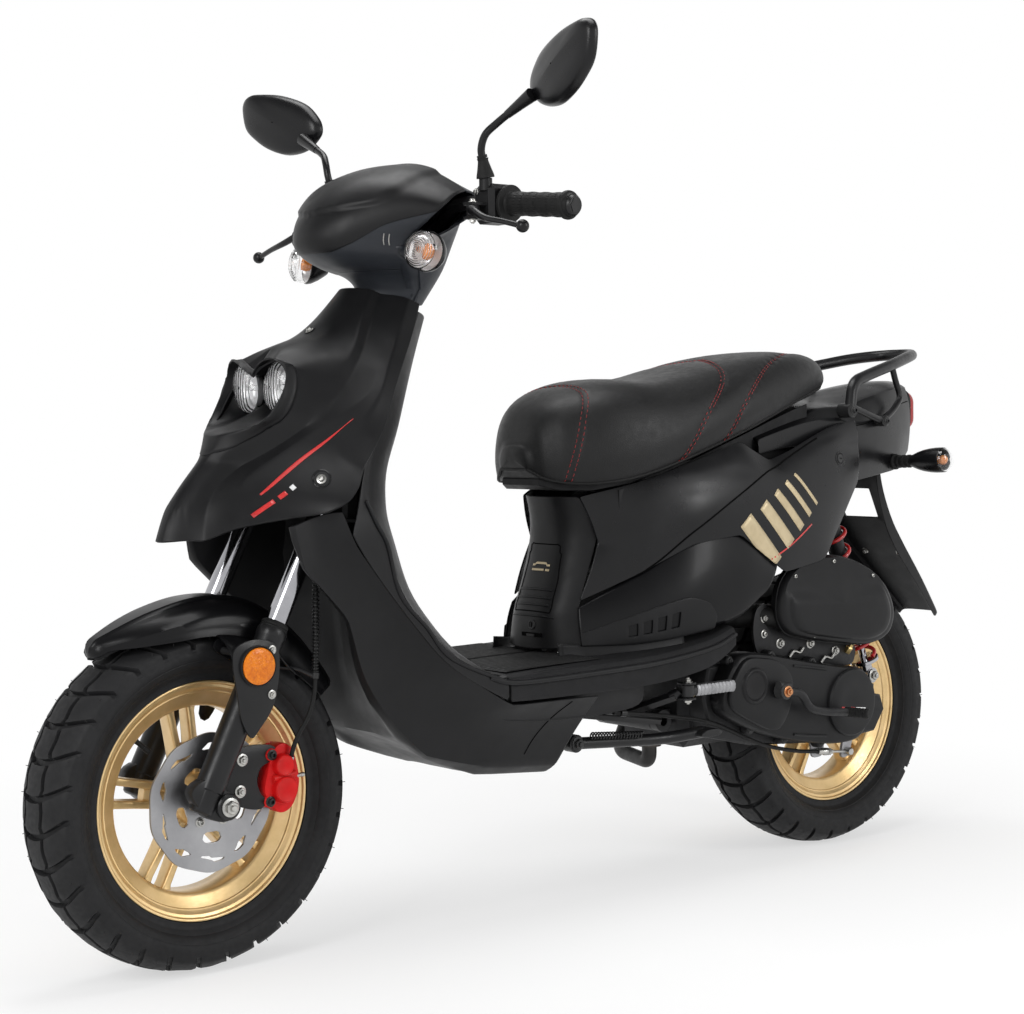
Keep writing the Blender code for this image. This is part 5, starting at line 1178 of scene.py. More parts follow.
def make_caliper():
    """A two-piston caliper on its bracket: two halves, their bridge, pins, pads, bolts and bleeder."""
    outer = ((0.071, 0.250), (0.080, 0.232), (0.094, 0.219), (0.110, 0.224), (0.121, 0.246), (0.122, 0.268),
             (0.113, 0.300), (0.098, 0.310), (0.084, 0.300), (0.077, 0.278))
    inner = ((0.074, 0.252), (0.092, 0.222), (0.110, 0.226), (0.121, 0.252), (0.112, 0.300), (0.094, 0.306),
             (0.080, 0.282))
    bridge = ((0.101, 0.222), (0.112, 0.228), (0.122, 0.256), (0.113, 0.300), (0.103, 0.306), (0.108, 0.262))
    meshes = [side_plate(outer, 5, 0.0225, 0.0780, 0.003), side_plate(inner, 5, 0.0050, 0.0500, 0.001),
              side_plate(bridge, 4, 0.022, 0.0590, 0.0012)]
    for y, z, radius in ((0.0985, 0.2490, 0.0185), (0.0965, 0.2830, 0.0150)):
        meshes.append(turned(((0.0850, 0.0), (0.0850, radius + 0.002), (0.0900, radius + 0.0012),
                              (0.0940, radius), (0.0985, radius - 0.0006), (0.0998, radius - 0.002),
                              (0.0990, radius - 0.0035), (0.0985, 0.0)), at(0.0, y, z), X_AXIS, 40))
    meshes.append(tube([at(0.0895, 0.0810, 0.2645), at(0.0900, 0.0990, 0.2665), at(0.0895, 0.1170, 0.2685)],
                       0.0055, 14))
    for y, z in CALIPER_PINS:
        meshes.append(turned(((0.0660, 0.0), (0.0660, 0.0095), (0.0890, 0.0088), (0.0905, 0.0076),
                              (0.0905, 0.0)), at(0.0, y, z), X_AXIS, 32))
    piece("brake_caliper_casting", merged(*meshes), RED_PAINT, "fork_lower", 38.0, ["brake_caliper"])
    pins = [bolt_head(at(0.0905, y, z), X_AXIS, 0.0050) for y, z in CALIPER_PINS]
    piece("brake_caliper_pins", merged(*pins), FRAME_PAINT, "fork_lower")
    pads = [side_plate(((0.080, 0.252), (0.090, 0.232), (0.104, 0.238), (0.108, 0.264), (0.102, 0.292),
                        (0.088, 0.286)), 4, 0.0024, x, 0.0005) for x in (0.0539, 0.0629)]
    piece("brake_pads", merged(*pads), CASTING, "fork_lower", 30.0)
    bracket = side_plate((
        (-0.010, 0.262), (0.002, 0.291), (0.018, 0.309), (0.046, 0.314), (0.080, 0.311), (0.090, 0.300),
        (0.078, 0.290), (0.062, 0.282), (0.056, 0.264), (0.062, 0.246), (0.070, 0.236), (0.062, 0.226),
        (0.040, 0.229), (0.020, 0.238), (0.006, 0.246)), 4, 0.006, 0.0850)
    piece("brake_bracket", bracket, FRAME_PAINT, "fork_lower", 30.0)
    bolts = [bolt_head(at(0.0880, y, z), X_AXIS, 0.0058, False)
             for y, z in ((0.0290, 0.2535), (0.0330, 0.2965))]
    bleed = turned(((0.0, 0.0), (0.0, 0.0044), (0.005, 0.0044), (0.005, 0.0030), (0.009, 0.0028),
                    (0.010, 0.0034), (0.014, 0.0030), (0.015, 0.0020), (0.015, 0.0)),
                   at(0.0840, 0.1200, 0.2640), (0.35, 0.93, 0.10), 18)
    piece("brake_bolts", merged(bleed, *bolts), ZINC, "fork_lower")


HOSE = ((0.0930, 0.1085, 0.2870), (0.0975, 0.1100, 0.3050), (0.1010, 0.1180, 0.3260),
        (0.1040, 0.1290, 0.3440), (0.1050, 0.1370, 0.3620), (0.1050, 0.1415, 0.3800),
        (0.1045, 0.1435, 0.3950), (0.1035, 0.1445, 0.4090), (0.1020, 0.1460, 0.4250),
        (0.1005, 0.1480, 0.4420), (0.0985, 0.1500, 0.4600), (0.0960, 0.1520, 0.4780),
        (0.0930, 0.1545, 0.4960), (0.0890, 0.1575, 0.5160), (0.0840, 0.1620, 0.5380),
        (0.0770, 0.1680, 0.5600))
HOSE_R = 0.0032
WRAP_TURNS, WRAP_STEPS = 30, 12


def make_hose():
    """The brake hose from the caliper up behind the leg, its spiral wrap and the clip that holds it."""
    path = smooth_path([at(*point) for point in HOSE], 4)
    hose = piece("front_brake_hose", tube(path, HOSE_R, 14), RUBBER, None, 60.0)
    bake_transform(hose)
    start = next(i for i, point in enumerate(path) if point.z > 0.405)
    core = path[start:]
    helix = []
    count = WRAP_TURNS * WRAP_STEPS
    for step in range(count + 1):
        t = step / count * (len(core) - 1)
        i = min(int(t), len(core) - 2)
        spot = core[i].lerp(core[i + 1], t - i)
        ahead = (core[i + 1] - core[i]).normalized()
        first = (X_AXIS - ahead * ahead.x).normalized()
        second = ahead.cross(first)
        angle = step / WRAP_STEPS * math.tau
        helix.append(spot + (first * math.cos(angle) + second * math.sin(angle)) * (HOSE_R + 0.0009))
    wrap = piece("front_brake_hose_wrap", tube(helix, 0.0013, 6), SATIN, None, 60.0)
    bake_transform(wrap)
    banjo = turned(((-0.004, 0.0), (-0.004, 0.0062), (0.004, 0.0062), (0.004, 0.0)),
                   at(0.0905, 0.1075, 0.2800), (0.3, 0.9, 0.3), 20)
    neck = tube([at(0.0908, 0.1078, 0.2815), at(0.0930, 0.1085, 0.2880), at(0.0946, 0.1090, 0.2940)], 0.0042,
                14)
    piece("front_brake_hose_banjo", merged(banjo, neck), ZINC, "fork_lower")
    clip_point = at(0.1040, 0.1440, 0.4040)
    arm = tube(smooth_path([at(0.0780, 0.100, 0.418), at(0.0920, 0.122, 0.414), clip_point - Y_AXIS * 0.004],
                           6), 0.003, 10)
    ring = turned(((-0.004, HOSE_R), (-0.004, 0.0056), (0.004, 0.0056), (0.004, HOSE_R)), clip_point,
                  (0.0, 0.15, 1.0), 24, True)
    piece("front_brake_hose_clip", merged(arm, ring), FRAME_PAINT, "fork_lower")


make_guard()
for name, side in SIDES:
    make_fork_leg(name, side)
make_axle()
make_caliper()
make_hose()


# Handlebar, its cover and its controls

COWL_STATIONS = (
    (0.372, 1.131, 0.140, 0.392, 1.086, 2.4), (0.318, 1.121, 0.152, 0.366, 1.078, 2.4),
    (0.262, 1.096, 0.158, 0.338, 1.060, 2.4), (0.222, 1.058, 0.138, 0.318, 1.034, 2.2),
    (0.205, 1.022, 0.112, 0.306, 1.010, 2.0), (0.216, 0.998, 0.100, 0.304, 0.994, 2.0),
    (0.250, 0.980, 0.094, 0.326, 0.982, 2.0), (0.290, 0.968, 0.074, 0.345, 0.967, 2.0),
    (0.304, 0.950, 0.0610, 0.3615, 0.947, 2.0), (0.299, 0.930, 0.0575, 0.3525, 0.926, 2.0),
)
COWL_SEAM = ((0.0, 4.95), (0.25, 4.95), (0.43, 4.85), (0.63, 4.30), (0.72, 3.80), (0.78, 3.35), (0.84, 3.05),
             (0.93, 2.65), (1.0, 2.30))
COWL_RIDGE = ((-0.5, 0.66), (0.40, 0.66), (1.55, 0.68), (2.25, 0.65), (2.60, 0.60), (2.85, 0.42),
              (3.05, 0.18), (3.15, 0.0), (3.5, -0.6), (9.5, -0.6))
COWL_FOOT = 6.55
COWL_WALL = 0.0028
SLEEVE_WALL = 0.0012
BULKHEAD = ((0.234, 1.030), (0.252, 1.060), (0.284, 1.086), (0.330, 1.104), (0.380, 1.106), (0.412, 1.085),
            (0.418, 1.040), (0.398, 1.002), (0.360, 0.988), (0.300, 0.992), (0.256, 1.002))


def cowl_point(row, share):
    """A point of the cover: row counts down its stations, share runs from -1 at the right edge to 1."""
    values = [through(list(enumerate(column)), row) for column in zip(*COWL_STATIONS)]
    centre_y, centre_z, edge_x, edge_y, edge_z, fall = values
    side = abs(share)
    return at(edge_x * share, centre_y + (edge_y - centre_y) * side ** 2.2,
              centre_z + (edge_z - centre_z) * side ** fall)


def cowl_patch(name, start, end, steps, finish, lift, raised=False):
    """Part of the cover between two lines that depend on the share across it."""
    shares = [i / 40 - 1.0 for i in range(81)]
    rows = [[cowl_point(start(abs(s)) + (end(abs(s)) - start(abs(s))) * k / steps, s) for s in shares]
            for k in range(steps + 1)]
    mesh = net(rows)
    mesh.normal_update()
    outward = 1.0 if mesh.faces[len(mesh.faces) // 2].normal.dot(Vector((0.0, -1.0, 0.4))) > 0 else -1.0
    for index, vert in enumerate(mesh.verts):
        k, column = divmod(index, len(shares))
        share = abs(shares[column])
        row = start(share) + (end(share) - start(share)) * k / steps
        rise = lift
        if raised:
            inside = (through(COWL_RIDGE, row) - share) / 0.10
            rise += 0.0042 * smooth_step(inside + 0.5)
        vert.co += vert.normal * outward * rise
    if outward < 0:
        bmesh.ops.reverse_faces(mesh, faces=mesh.faces)
    obj = piece(name, mesh, finish, "steering", 180.0)
    thicken(obj, COWL_WALL)
    return obj


def make_cowl():
    """The front cover: a hood with a raised middle that laps over the grey front, and the neck below."""
    def seam(share):
        return through(COWL_SEAM, share)

    hood = cowl_patch("cowl_hood", lambda s: 0.0, lambda s: seam(s) + 0.03, 60, MATTE, 0.0009, True)
    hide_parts("handlebar_cover_front")
    cowl_patch("cowl_front", lambda s: seam(s) - 0.06, lambda s: COWL_FOOT, 40, NECK, -0.0004)
    cowl_patch("cowl_neck", lambda s: COWL_FOOT + 0.02, lambda s: 9.0, 24, NECK, -0.0010)
    sleeves = []
    for side in (1, -1):
        rows = []
        for fx, fy, rx, ry, z in ((0.1120, 0.306, 0.1060, 0.322, 1.006),
                                  (0.1000, 0.304, 0.0990, 0.332, 0.994),
                                  (0.0940, 0.326, 0.0900, 0.346, 0.981),
                                  (0.0740, 0.345, 0.0775, 0.3565, 0.967),
                                  (0.0610, 0.3615, 0.0617, 0.3690, 0.947),
                                  (0.0575, 0.3525, 0.0582, 0.3600, 0.927)):
            rows.append([at(side * (fx - 0.0096), fy - 0.010, z), at(side * (fx - 0.0036), fy, z),
                         at(side * (rx - 0.0036), ry, z), at(side * (rx - 0.0080), ry + 0.010, z)])
        sleeves.append(net(rows))
    sleeve = piece("cowl_sleeve", merged(*sleeves), NECK, "steering", 60.0)
    thicken(sleeve, SLEEVE_WALL)
    piece("cowl_bulkhead", side_plate(BULKHEAD, 3, 0.050, 0.0, 0.004), CASTING, "steering")
    slots = []
    for share in (0.835, 0.870):
        line = [cowl_point(3.65 + 0.62 * i / 6, share + 0.045 * i / 6) for i in range(7)]
        out = Vector((0.75, -0.66, 0.0))
        slots += [tube([p + out * 0.0002 for p in line], 0.0010, 8)]
        slots += [tube([Vector((-p.x, p.y, p.z)) + Vector((-out.x, out.y, 0)) * 0.0002 for p in line], 0.0010,
                       8)]
    piece("cowl_slots", merged(*slots), ZINC, "steering", 60.0)


def bar_point(x):
    """A point on the middle line of the handlebar's outer part."""
    reach = abs(x) - 0.22
    return at(x, 0.413 + 0.112 * reach, 1.062 - 0.096 * reach)


def bar_way(side):
    """The direction of the handlebar on one side, outwards."""
    return (bar_point(side * 0.34) - bar_point(side * 0.16)).normalized()


def make_grip(node, side):
    """A grip with swells for the fingers, fine grooves along it, a flange and a bar end."""
    start, way = bar_point(side * 0.214), bar_way(side)
    profile = [(0.0, 0.0122), (0.0, 0.0258), (0.0012, 0.0266), (0.0050, 0.0266), (0.0062, 0.0256),
               (0.0072, 0.0180)]
    for step in range(49):
        share = step / 48
        swell = 0.0004 * math.sin(share * math.tau * 4 - math.pi / 2)
        profile.append((0.0095 + 0.1010 * share, 0.0171 + swell))
    profile += [(0.1112, 0.0176), (0.1120, 0.0200), (0.1150, 0.0204), (0.1180, 0.0198), (0.1192, 0.0172),
                (0.1240, 0.0160), (0.1240, 0.0122)]
    turn = aim(way)
    rows = []
    around = 96
    for step in range(around):
        angle = step * math.tau / around
        flat = Vector((math.cos(angle), math.sin(angle), 0.0))
        row = []
        for index, (height, radius) in enumerate(profile):
            ribbed = 8 < index < 52 and (index // 3) % 2 == 0 and step % 4 == 0
            row.append(start + turn @ (flat * (radius - (0.0007 if ribbed else 0.0)) + Z_AXIS * height))
        rows.append(row)
    piece(node + "_rubber", net(rows, True, True), RUBBER, body_of(node), 35.0, [node])
    weight = turned(((0.1200, 0.0), (0.1200, 0.0150), (0.1262, 0.0146), (0.1290, 0.0122), (0.1300, 0.0060),
                     (0.1284, 0.0050), (0.1284, 0.0)), start, way, 32)
    piece("bar_end_" + node, weight, FRAME_PAINT, body_of(node), 40.0)


def make_lever(name, side):
    """A forged hand lever that thins towards its ball end."""
    points = ((0.190, 0.366, 1.052), (0.210, 0.350, 1.051), (0.252, 0.338, 1.036), (0.290, 0.3385, 1.0280),
              (0.322, 0.3405, 1.0202))
    path = smooth_path(sided(points, side), 10)
    blade = tube(path, 0.0062, 18, lambda t: (1.12 - 0.25 * t) * (0.86 + 0.14 * math.cos(t * 4.0)))
    eye = turned(((-0.0074, 0.0), (-0.0074, 0.0088), (-0.0066, 0.0096), (0.0066, 0.0096), (0.0074, 0.0088),
                  (0.0074, 0.0)), at(side * 0.190, 0.366, 1.052), Z_AXIS, 28)
    ball_place = at(side * 0.3295, 0.3409, 1.0187)
    ball = turned([(-0.0092 * math.cos(a), 0.0092 * math.sin(a))
                   for a in [math.pi * i / 16 for i in range(17)]], ball_place, (side, 0.05, -0.2), 24)
    node = "brake_lever_" + name
    piece(node + "_forging", merged(blade, eye, ball), SATIN, body_of(node), 50.0, [node])
    pivot = merged(bolt_head(at(side * 0.190, 0.366, 1.0640), Z_AXIS, 0.0045),
                   bolt_head(at(side * 0.190, 0.366, 1.0400), -Z_AXIS, 0.0042, False))
    piece("lever_pivot_" + name, pivot, ZINC, "steering")


def make_controls(name, side):
    """The switch housing with its clamp and screws."""
    machined("switch_pod_" + name, MATTE, 0.0065, 4)
    spot = bar_point(side * 0.187)
    screws = [bolt_head(spot + Vector((side * across, -0.0238, z)), -Y_AXIS, 0.0034)
              for across, z in ((-0.013, 0.016), (0.012, -0.022))]
    screws.append(bolt_head(spot + Vector((side * -0.012, 0.004, 0.0256)), Z_AXIS, 0.0036))
    screws += [bolt_head(spot + Vector((side * across, 0.0238, -0.024)), Y_AXIS, 0.0028, True, False)
               for across in (-0.014, 0.014)]
    piece("switch_screws_" + name, merged(*screws), ZINC, "steering")
    collar = turned(((-0.0330, 0.0112), (-0.0330, 0.0150), (-0.0315, 0.0162), (-0.0235, 0.0162),
                     (-0.0220, 0.0150), (-0.0220, 0.0112)), spot, bar_way(side), 32, True)
    piece("switch_clamp_" + name, collar, FRAME_PAINT, "steering")


MIRROR_LEAF = ((0.2690, 1.2080), (0.2960, 1.1905), (0.3350, 1.1865), (0.3720, 1.1975), (0.4020, 1.2150),
               (0.4245, 1.2360), (0.4320, 1.2680), (0.4270, 1.2835), (0.4150, 1.2905), (0.3960, 1.2910),
               (0.3500, 1.2840), (0.3000, 1.2660), (0.2720, 1.2420), (0.2630, 1.2230))
MIRROR_STEM = ((0.191, 0.3893, 1.1080), (0.1905, 0.3855, 1.1230), (0.1915, 0.3815, 1.1400),
               (0.1990, 0.3832, 1.1590), (0.2161, 0.3901, 1.1733), (0.2500, 0.3945, 1.1900),
               (0.2840, 0.3985, 1.2060))
MIRROR_BOOT = ((0.191, 0.3893, 1.0995), (0.1908, 0.3880, 1.1080), (0.1905, 0.3862, 1.1190),
               (0.1905, 0.3846, 1.1270))


def make_mirror(name, side):
    """A leaf-shaped mirror with a ridge along its back, its glass, bent stem and cone boot."""
    outline = smooth_ring(MIRROR_LEAF, 5)
    centre = Vector((0.345, 1.239))
    long_way = Vector((0.160, 0.084)).normalized()
    node = "mirror_" + name

    def ring(y, share, ridge=0.0):
        points = []
        for x, z in outline:
            spot = centre + (Vector((x, z)) - centre) * share
            away = abs((spot - centre).cross(long_way))
            depth = y + (spot.x - centre.x) * -0.20 - ridge * max(0.0, 1.0 - away / 0.016)
            points.append(at(side * spot.x, depth, spot.y))
        return points

    rows = [ring(0.4080, 0.90), ring(0.4086, 0.955), ring(0.4076, 0.990), ring(0.4050, 1.0),
            ring(0.4020, 0.995)]
    for step in range(1, 13):
        turn = step / 12 * math.pi / 2
        share = 0.985 * math.cos(turn)
        rows.append(ring(0.4000 - 0.0180 * math.sin(turn) ** 0.8, max(share, 0.02), 0.0016 * math.sin(turn)))
    shell = net(rows, False, True)
    stem_path = smooth_path(sided(MIRROR_STEM, side), 8)
    stem = tube(stem_path, 0.0055, 18)
    boot_path = smooth_path(sided(MIRROR_BOOT, side), 6)
    boot = tube(boot_path, 0.0130, 28, lambda t: 1.0 - 0.42 * smooth_step(t * 1.1) + 0.05 * (t > 0.9))
    nut = tube(stem_path[10:13], 0.0074, 6)
    socket = tube([stem_path[-12], stem_path[-6], stem_path[-1]], 0.0085, 18, lambda t: 0.72 + 0.5 * t)
    piece(node + "_shell", merged(shell, stem, socket), SATIN, body_of(node), 50.0, [node])
    piece(node + "_boot", merged(boot, nut), RUBBER, body_of(node))
    glass_ring = ring(0.4076, 0.945)
    inner_ring = ring(0.4079, 0.5)
    middle_point = sum(glass_ring, Vector()) / len(glass_ring)
    glass = net([glass_ring, inner_ring, [middle_point + Vector((0, 0.0003, 0))] * len(outline)], False, True)
    piece(node + "_glass", glass, MIRROR_GLASS, body_of(node), 60.0)


make_cowl()
for node, side in (("grip_left", 1), ("throttle_grip", -1)):
    make_grip(node, side)
for name, side in SIDES:
    make_lever(name, side)
    make_controls(name, side)
    make_mirror(name, side)


# Body panels

DECAL_RED = surface("red_decal", "redpaint", (0.50, 0.020, 0.020), (0.62, 0.035, 0.032), 0.34, 0.04,
                    patches=30.0, coat=0.2)
DECAL_GOLD = surface("gold_decal", "gold", (0.50, 0.40, 0.24), (0.62, 0.51, 0.32), 0.42, 0.05, metal=0.25,
                     patches=30.0)
DECAL_WHITE = surface("white_decal", "lens", (0.70, 0.70, 0.70), (0.80, 0.80, 0.80), 0.36, 0.04, patches=30.0,
                      coat=0.2)
# Near-black and barely glossy: painted shade, laid in panel joints, slots and keyholes where the shade of the
# gap falls.
SHADE_SEAM = surface("painted_shade_seam", "frame", (0.0012, 0.0012, 0.0012), (0.0025, 0.0025, 0.0025), 0.8, 0.1,
               patches=40.0, specular=0.05)
DECAL_FILM = 0.0003
DECAL_LIFT = 0.0004
APRON_RIDGE = ((0.090, 0.218, 0.847), (0.096, 0.193, 0.817), (0.096, 0.164, 0.788), (0.090, 0.134, 0.759),
               (0.064, 0.098, 0.727), (0.034, 0.063, 0.704))
APRON_FOLD = ((0.114, 0.250, 0.833), (0.134, 0.232, 0.803), (0.134, 0.200, 0.781), (0.124, 0.170, 0.760),
              (0.102, 0.130, 0.733), (0.064, 0.076, 0.692), (0.056, 0.050, 0.668))


def crease_along(obj, points, weight):
    """Keeps the panel's edges along a line of its points, on both sides, as a crease."""
    mesh = bmesh.new()
    mesh.from_mesh(obj.data)
    layer = mesh.edges.layers.float.get("crease_edge")
    for side in (1, -1):
        spots = sided(points, side)
        near = {}
        for vert in mesh.verts:
            for index, spot in enumerate(spots):
                if (vert.co - spot).length < 0.0016:
                    near[vert] = index
        for edge in mesh.edges:
            if all(vert in near for vert in edge.verts):
                if abs(near[edge.verts[0]] - near[edge.verts[1]]) == 1:
                    edge[layer] = weight
    mesh.to_mesh(obj.data)
    mesh.free()


def face_tree(obj):
    """A search tree over a finished piece, its modifiers included."""
    bpy.context.view_layer.update()
    return BVHTree.FromObject(obj, bpy.context.evaluated_depsgraph_get())


def perch(tree, point):
    """The nearest spot of a piece and the way that it faces."""
    return tree.find_nearest(Vector(point))[:2]


def ribbon(tree, points, width, steps=6):
    """A thin strip that lies on a piece; width may change along it."""
    path = smooth_path(points, steps)
    rows = []
    for i, point in enumerate(path):
        ahead = (path[min(i + 1, len(path) - 1)] - path[max(i - 1, 0)]).normalized()
        spot, normal = perch(tree, point)
        across = normal.cross(ahead).normalized()
        size = width(i / (len(path) - 1)) if callable(width) else width
        row = []
        for share in (-1.0, -0.5, 0.0, 0.5, 1.0):
            near, facing = perch(tree, spot + across * size / 2 * share)
            row.append(near + facing * DECAL_LIFT)
        rows.append(row)
    return net(rows)


def decal(name, meshes, finish):
    """A plain mark of thin film on the body panels."""
    thicken(piece(name, merged(*meshes), finish, "chassis", 60.0), DECAL_FILM, 0.0)


def seam_line(tree, points, radius=0.0011, steps=6, sink=0.0):
    """A tube along a line on a piece, let into it by sink: in the near-black finish it is painted shade in a
    joint, in a panel's finish a raised rib.
    """
    path = []
    for point in smooth_path(points, steps):
        spot, normal = perch(tree, point)
        path.append(spot - normal * sink)
    return tube(path, radius, 8)


def both_sides(points):
    """A line for the rider's left and the same line on the right."""
    return [sided(points, 1), sided(points, -1)]


LAMP_MOUTH = ((0.0, 0.1150, 0.8235), (0.0110, 0.1125, 0.8285), (0.0280, 0.1105, 0.8390),
              (0.0475, 0.1135, 0.8445), (0.0655, 0.1185, 0.8395), (0.0775, 0.1215, 0.8225),
              (0.0800, 0.1140, 0.7985), (0.0760, 0.0980, 0.7715), (0.0640, 0.0815, 0.7540),
              (0.0440, 0.0645, 0.7455), (0.0220, 0.0510, 0.7405), (0.0, 0.0470, 0.7385))
LAMP_INNER = ((0.0, 0.8230), (0.0070, 0.8265), (0.0240, 0.8390), (0.0430, 0.8420), (0.0600, 0.8350),
              (0.0690, 0.8180), (0.0685, 0.7960), (0.0610, 0.7780), (0.0470, 0.7690), (0.0300, 0.7690),
              (0.0130, 0.7760), (0.0, 0.7810))
SURROUND_WALL = 0.0012
# How far the beak is pushed forward, by height.
BEAK_SWELL = ((0.598, 0.0), (0.634, 0.013), (0.668, 0.0145), (0.702, 0.005), (0.718, 0.0))


def make_lamp_surround(tree):
    """The smooth rim of the lamp mouth on the apron, and the dish that runs from it back to the lenses."""
    mouth = [Vector(point) for point in LAMP_MOUTH]
    inner = [Vector((x, 0.1345, z)) for x, z in LAMP_INNER]
    mouth += [Vector((-p.x, p.y, p.z)) for p in reversed(mouth[1:-1])]
    inner += [Vector((-p.x, p.y, p.z)) for p in reversed(inner[1:-1])]

    middle_point = Vector((0.0, 0.095, 0.790))
    rows = []
    for outer, lens in zip(smooth_ring(mouth, 6), smooth_ring(inner, 6)):
        away = (outer - middle_point).normalized()
        reach = 0.030 if outer.z < 0.80 else 0.010 + 0.020 * smooth_step(abs(outer.x) / 0.045)
        crest = at(*outer)
        foot, normal = perch(tree, crest)
        rise = crest - foot
        row = []
        for share in (0.0, 0.2, 0.4, 0.6, 0.8, 0.92):
            spot, normal = perch(tree, at(*(outer + away * reach * (1.0 - share))))
            row.append(spot + rise * smooth_step(share) + normal * (0.0003 + 0.0011 * share))
        row.append(crest + normal * 0.0004)
        back = at(*lens)
        for share, hollow in ((0.08, 0.0), (0.22, 0.0018), (0.40, 0.0030), (0.60, 0.0030), (0.80, 0.0018),
                              (0.94, 0.0005), (1.0, 0.0)):
            row.append(crest.lerp(back, share) + Vector((0.0, hollow, 0.0)))
        row.append(back + Vector((0.0, 0.010, 0.0)))
        rows.append(row)
    surround = piece("headlight_surround", net(rows, True), MATTE, "chassis", 70.0)
    thicken(surround, SURROUND_WALL, 0.0)


def stripe_width(t):
    """The width of the long stripe, which thins towards its end."""
    return 0.0010 + 0.0052 * math.sin(math.pi * min(1.0, 0.12 + t)) ** 0.7


def make_apron():
    """The front shell with its pod crease and wing fold, bolts and plain stripes."""
    apron = skin("front_apron", MATTE, 40.0, 3, 16.0)
    for vert in apron.data.vertices:
        across = vert.co.x / 0.056
        up = min(max(vert.co.z, BEAK_SWELL[0][0]), BEAK_SWELL[-1][0])
        vert.co.y -= through(BEAK_SWELL, up) * max(0.0, 1.0 - across * across)
    crease_along(apron, APRON_RIDGE, 0.85)
    crease_along(apron, APRON_FOLD, 0.75)
    tree = face_tree(apron)
    make_lamp_surround(tree)
    bolts, cups = [], []
    for side in (1, -1):
        spot, normal = perch(tree, at(side * 0.1418, 0.1341, 0.6783))
        cups.append(turned(((-0.002, 0.0), (-0.002, 0.0135), (0.0010, 0.0135), (0.0016, 0.0125),
                            (0.0010, 0.0112), (-0.0008, 0.0100), (-0.0008, 0.0)), spot, normal, 40))
        bolts.append(bolt_head(spot - normal * 0.0008, normal, 0.0046))
    spot, normal = perch(tree, at(0.0, 0.2140, 0.8877))
    cups.append(turned(((-0.002, 0.0), (-0.002, 0.0090), (0.0008, 0.0090), (0.0012, 0.0082), (0.0002, 0.0070),
                        (0.0002, 0.0)), spot, normal, 32))
    bolts.append(bolt_head(spot, normal, 0.0042))
    piece("apron_bolt_cups", merged(*cups), SATIN, "chassis")
    piece("apron_bolts", merged(*bolts), ZINC, "chassis")
    long_line = ((0.0900, 0.0680, 0.6580), (0.0990, 0.0960, 0.6810), (0.1110, 0.1200, 0.7030),
                 (0.1290, 0.1520, 0.7300), (0.1400, 0.1900, 0.7600))
    red, white = [], []
    for line in both_sides(long_line):
        red.append(ribbon(tree, line, stripe_width))
    for start, end, width, group in (((0.1000, 0.0480, 0.6300), (0.1105, 0.0770, 0.6500), 0.0080, red),
                                     ((0.1130, 0.0830, 0.6545), (0.1165, 0.0930, 0.6615), 0.0080, red),
                                     ((0.1185, 0.0990, 0.6660), (0.1200, 0.1045, 0.6700), 0.0080, white)):
        for line in both_sides((start, end)):
            group.append(ribbon(tree, line, width))
    decal("apron_stripes_red", red, DECAL_RED)
    decal("apron_stripes_white", white, DECAL_WHITE)


LEG_EDGE = ((0.180, 0.182, 0.648), (0.184, 0.196, 0.616), (0.184, 0.214, 0.585), (0.184, 0.234, 0.516),
            (0.184, 0.280, 0.466), (0.184, 0.325, 0.418), (0.1815, 0.4335, 0.374))
FLOOR_EDGE = ((0.1800, 0.395, 0.3850), (0.1810, 0.4200, 0.3775), (0.1800, 0.4500, 0.3735),
              (0.1785, 0.520, 0.3725), (0.1780, 0.640, 0.3745), (0.1780, 0.715, 0.3768),
              (0.1778, 0.790, 0.3830), (0.1775, 0.862, 0.3940), (0.1772, 0.903, 0.4090))

FLOOR_TOP = ((0.4375, 0.384), (0.520, 0.387), (0.640, 0.389), (0.715, 0.391), (0.800, 0.394), (0.900, 0.408))
FLOOR_INNER = ((0.392, 0.371), (0.390, 0.350), (0.428, 0.320), (0.520, 0.307), (0.640, 0.305), (0.714, 0.313),
               (0.724, 0.342), (0.716, 0.371), (0.560, 0.369))
FLOOR_CORNER = ((0.1700, 0.4270, 0.3830), (0.1690, 0.4290, 0.3680), (0.1680, 0.4270, 0.3540),
                (0.1660, 0.4100, 0.3560), (0.1620, 0.3860, 0.3700))


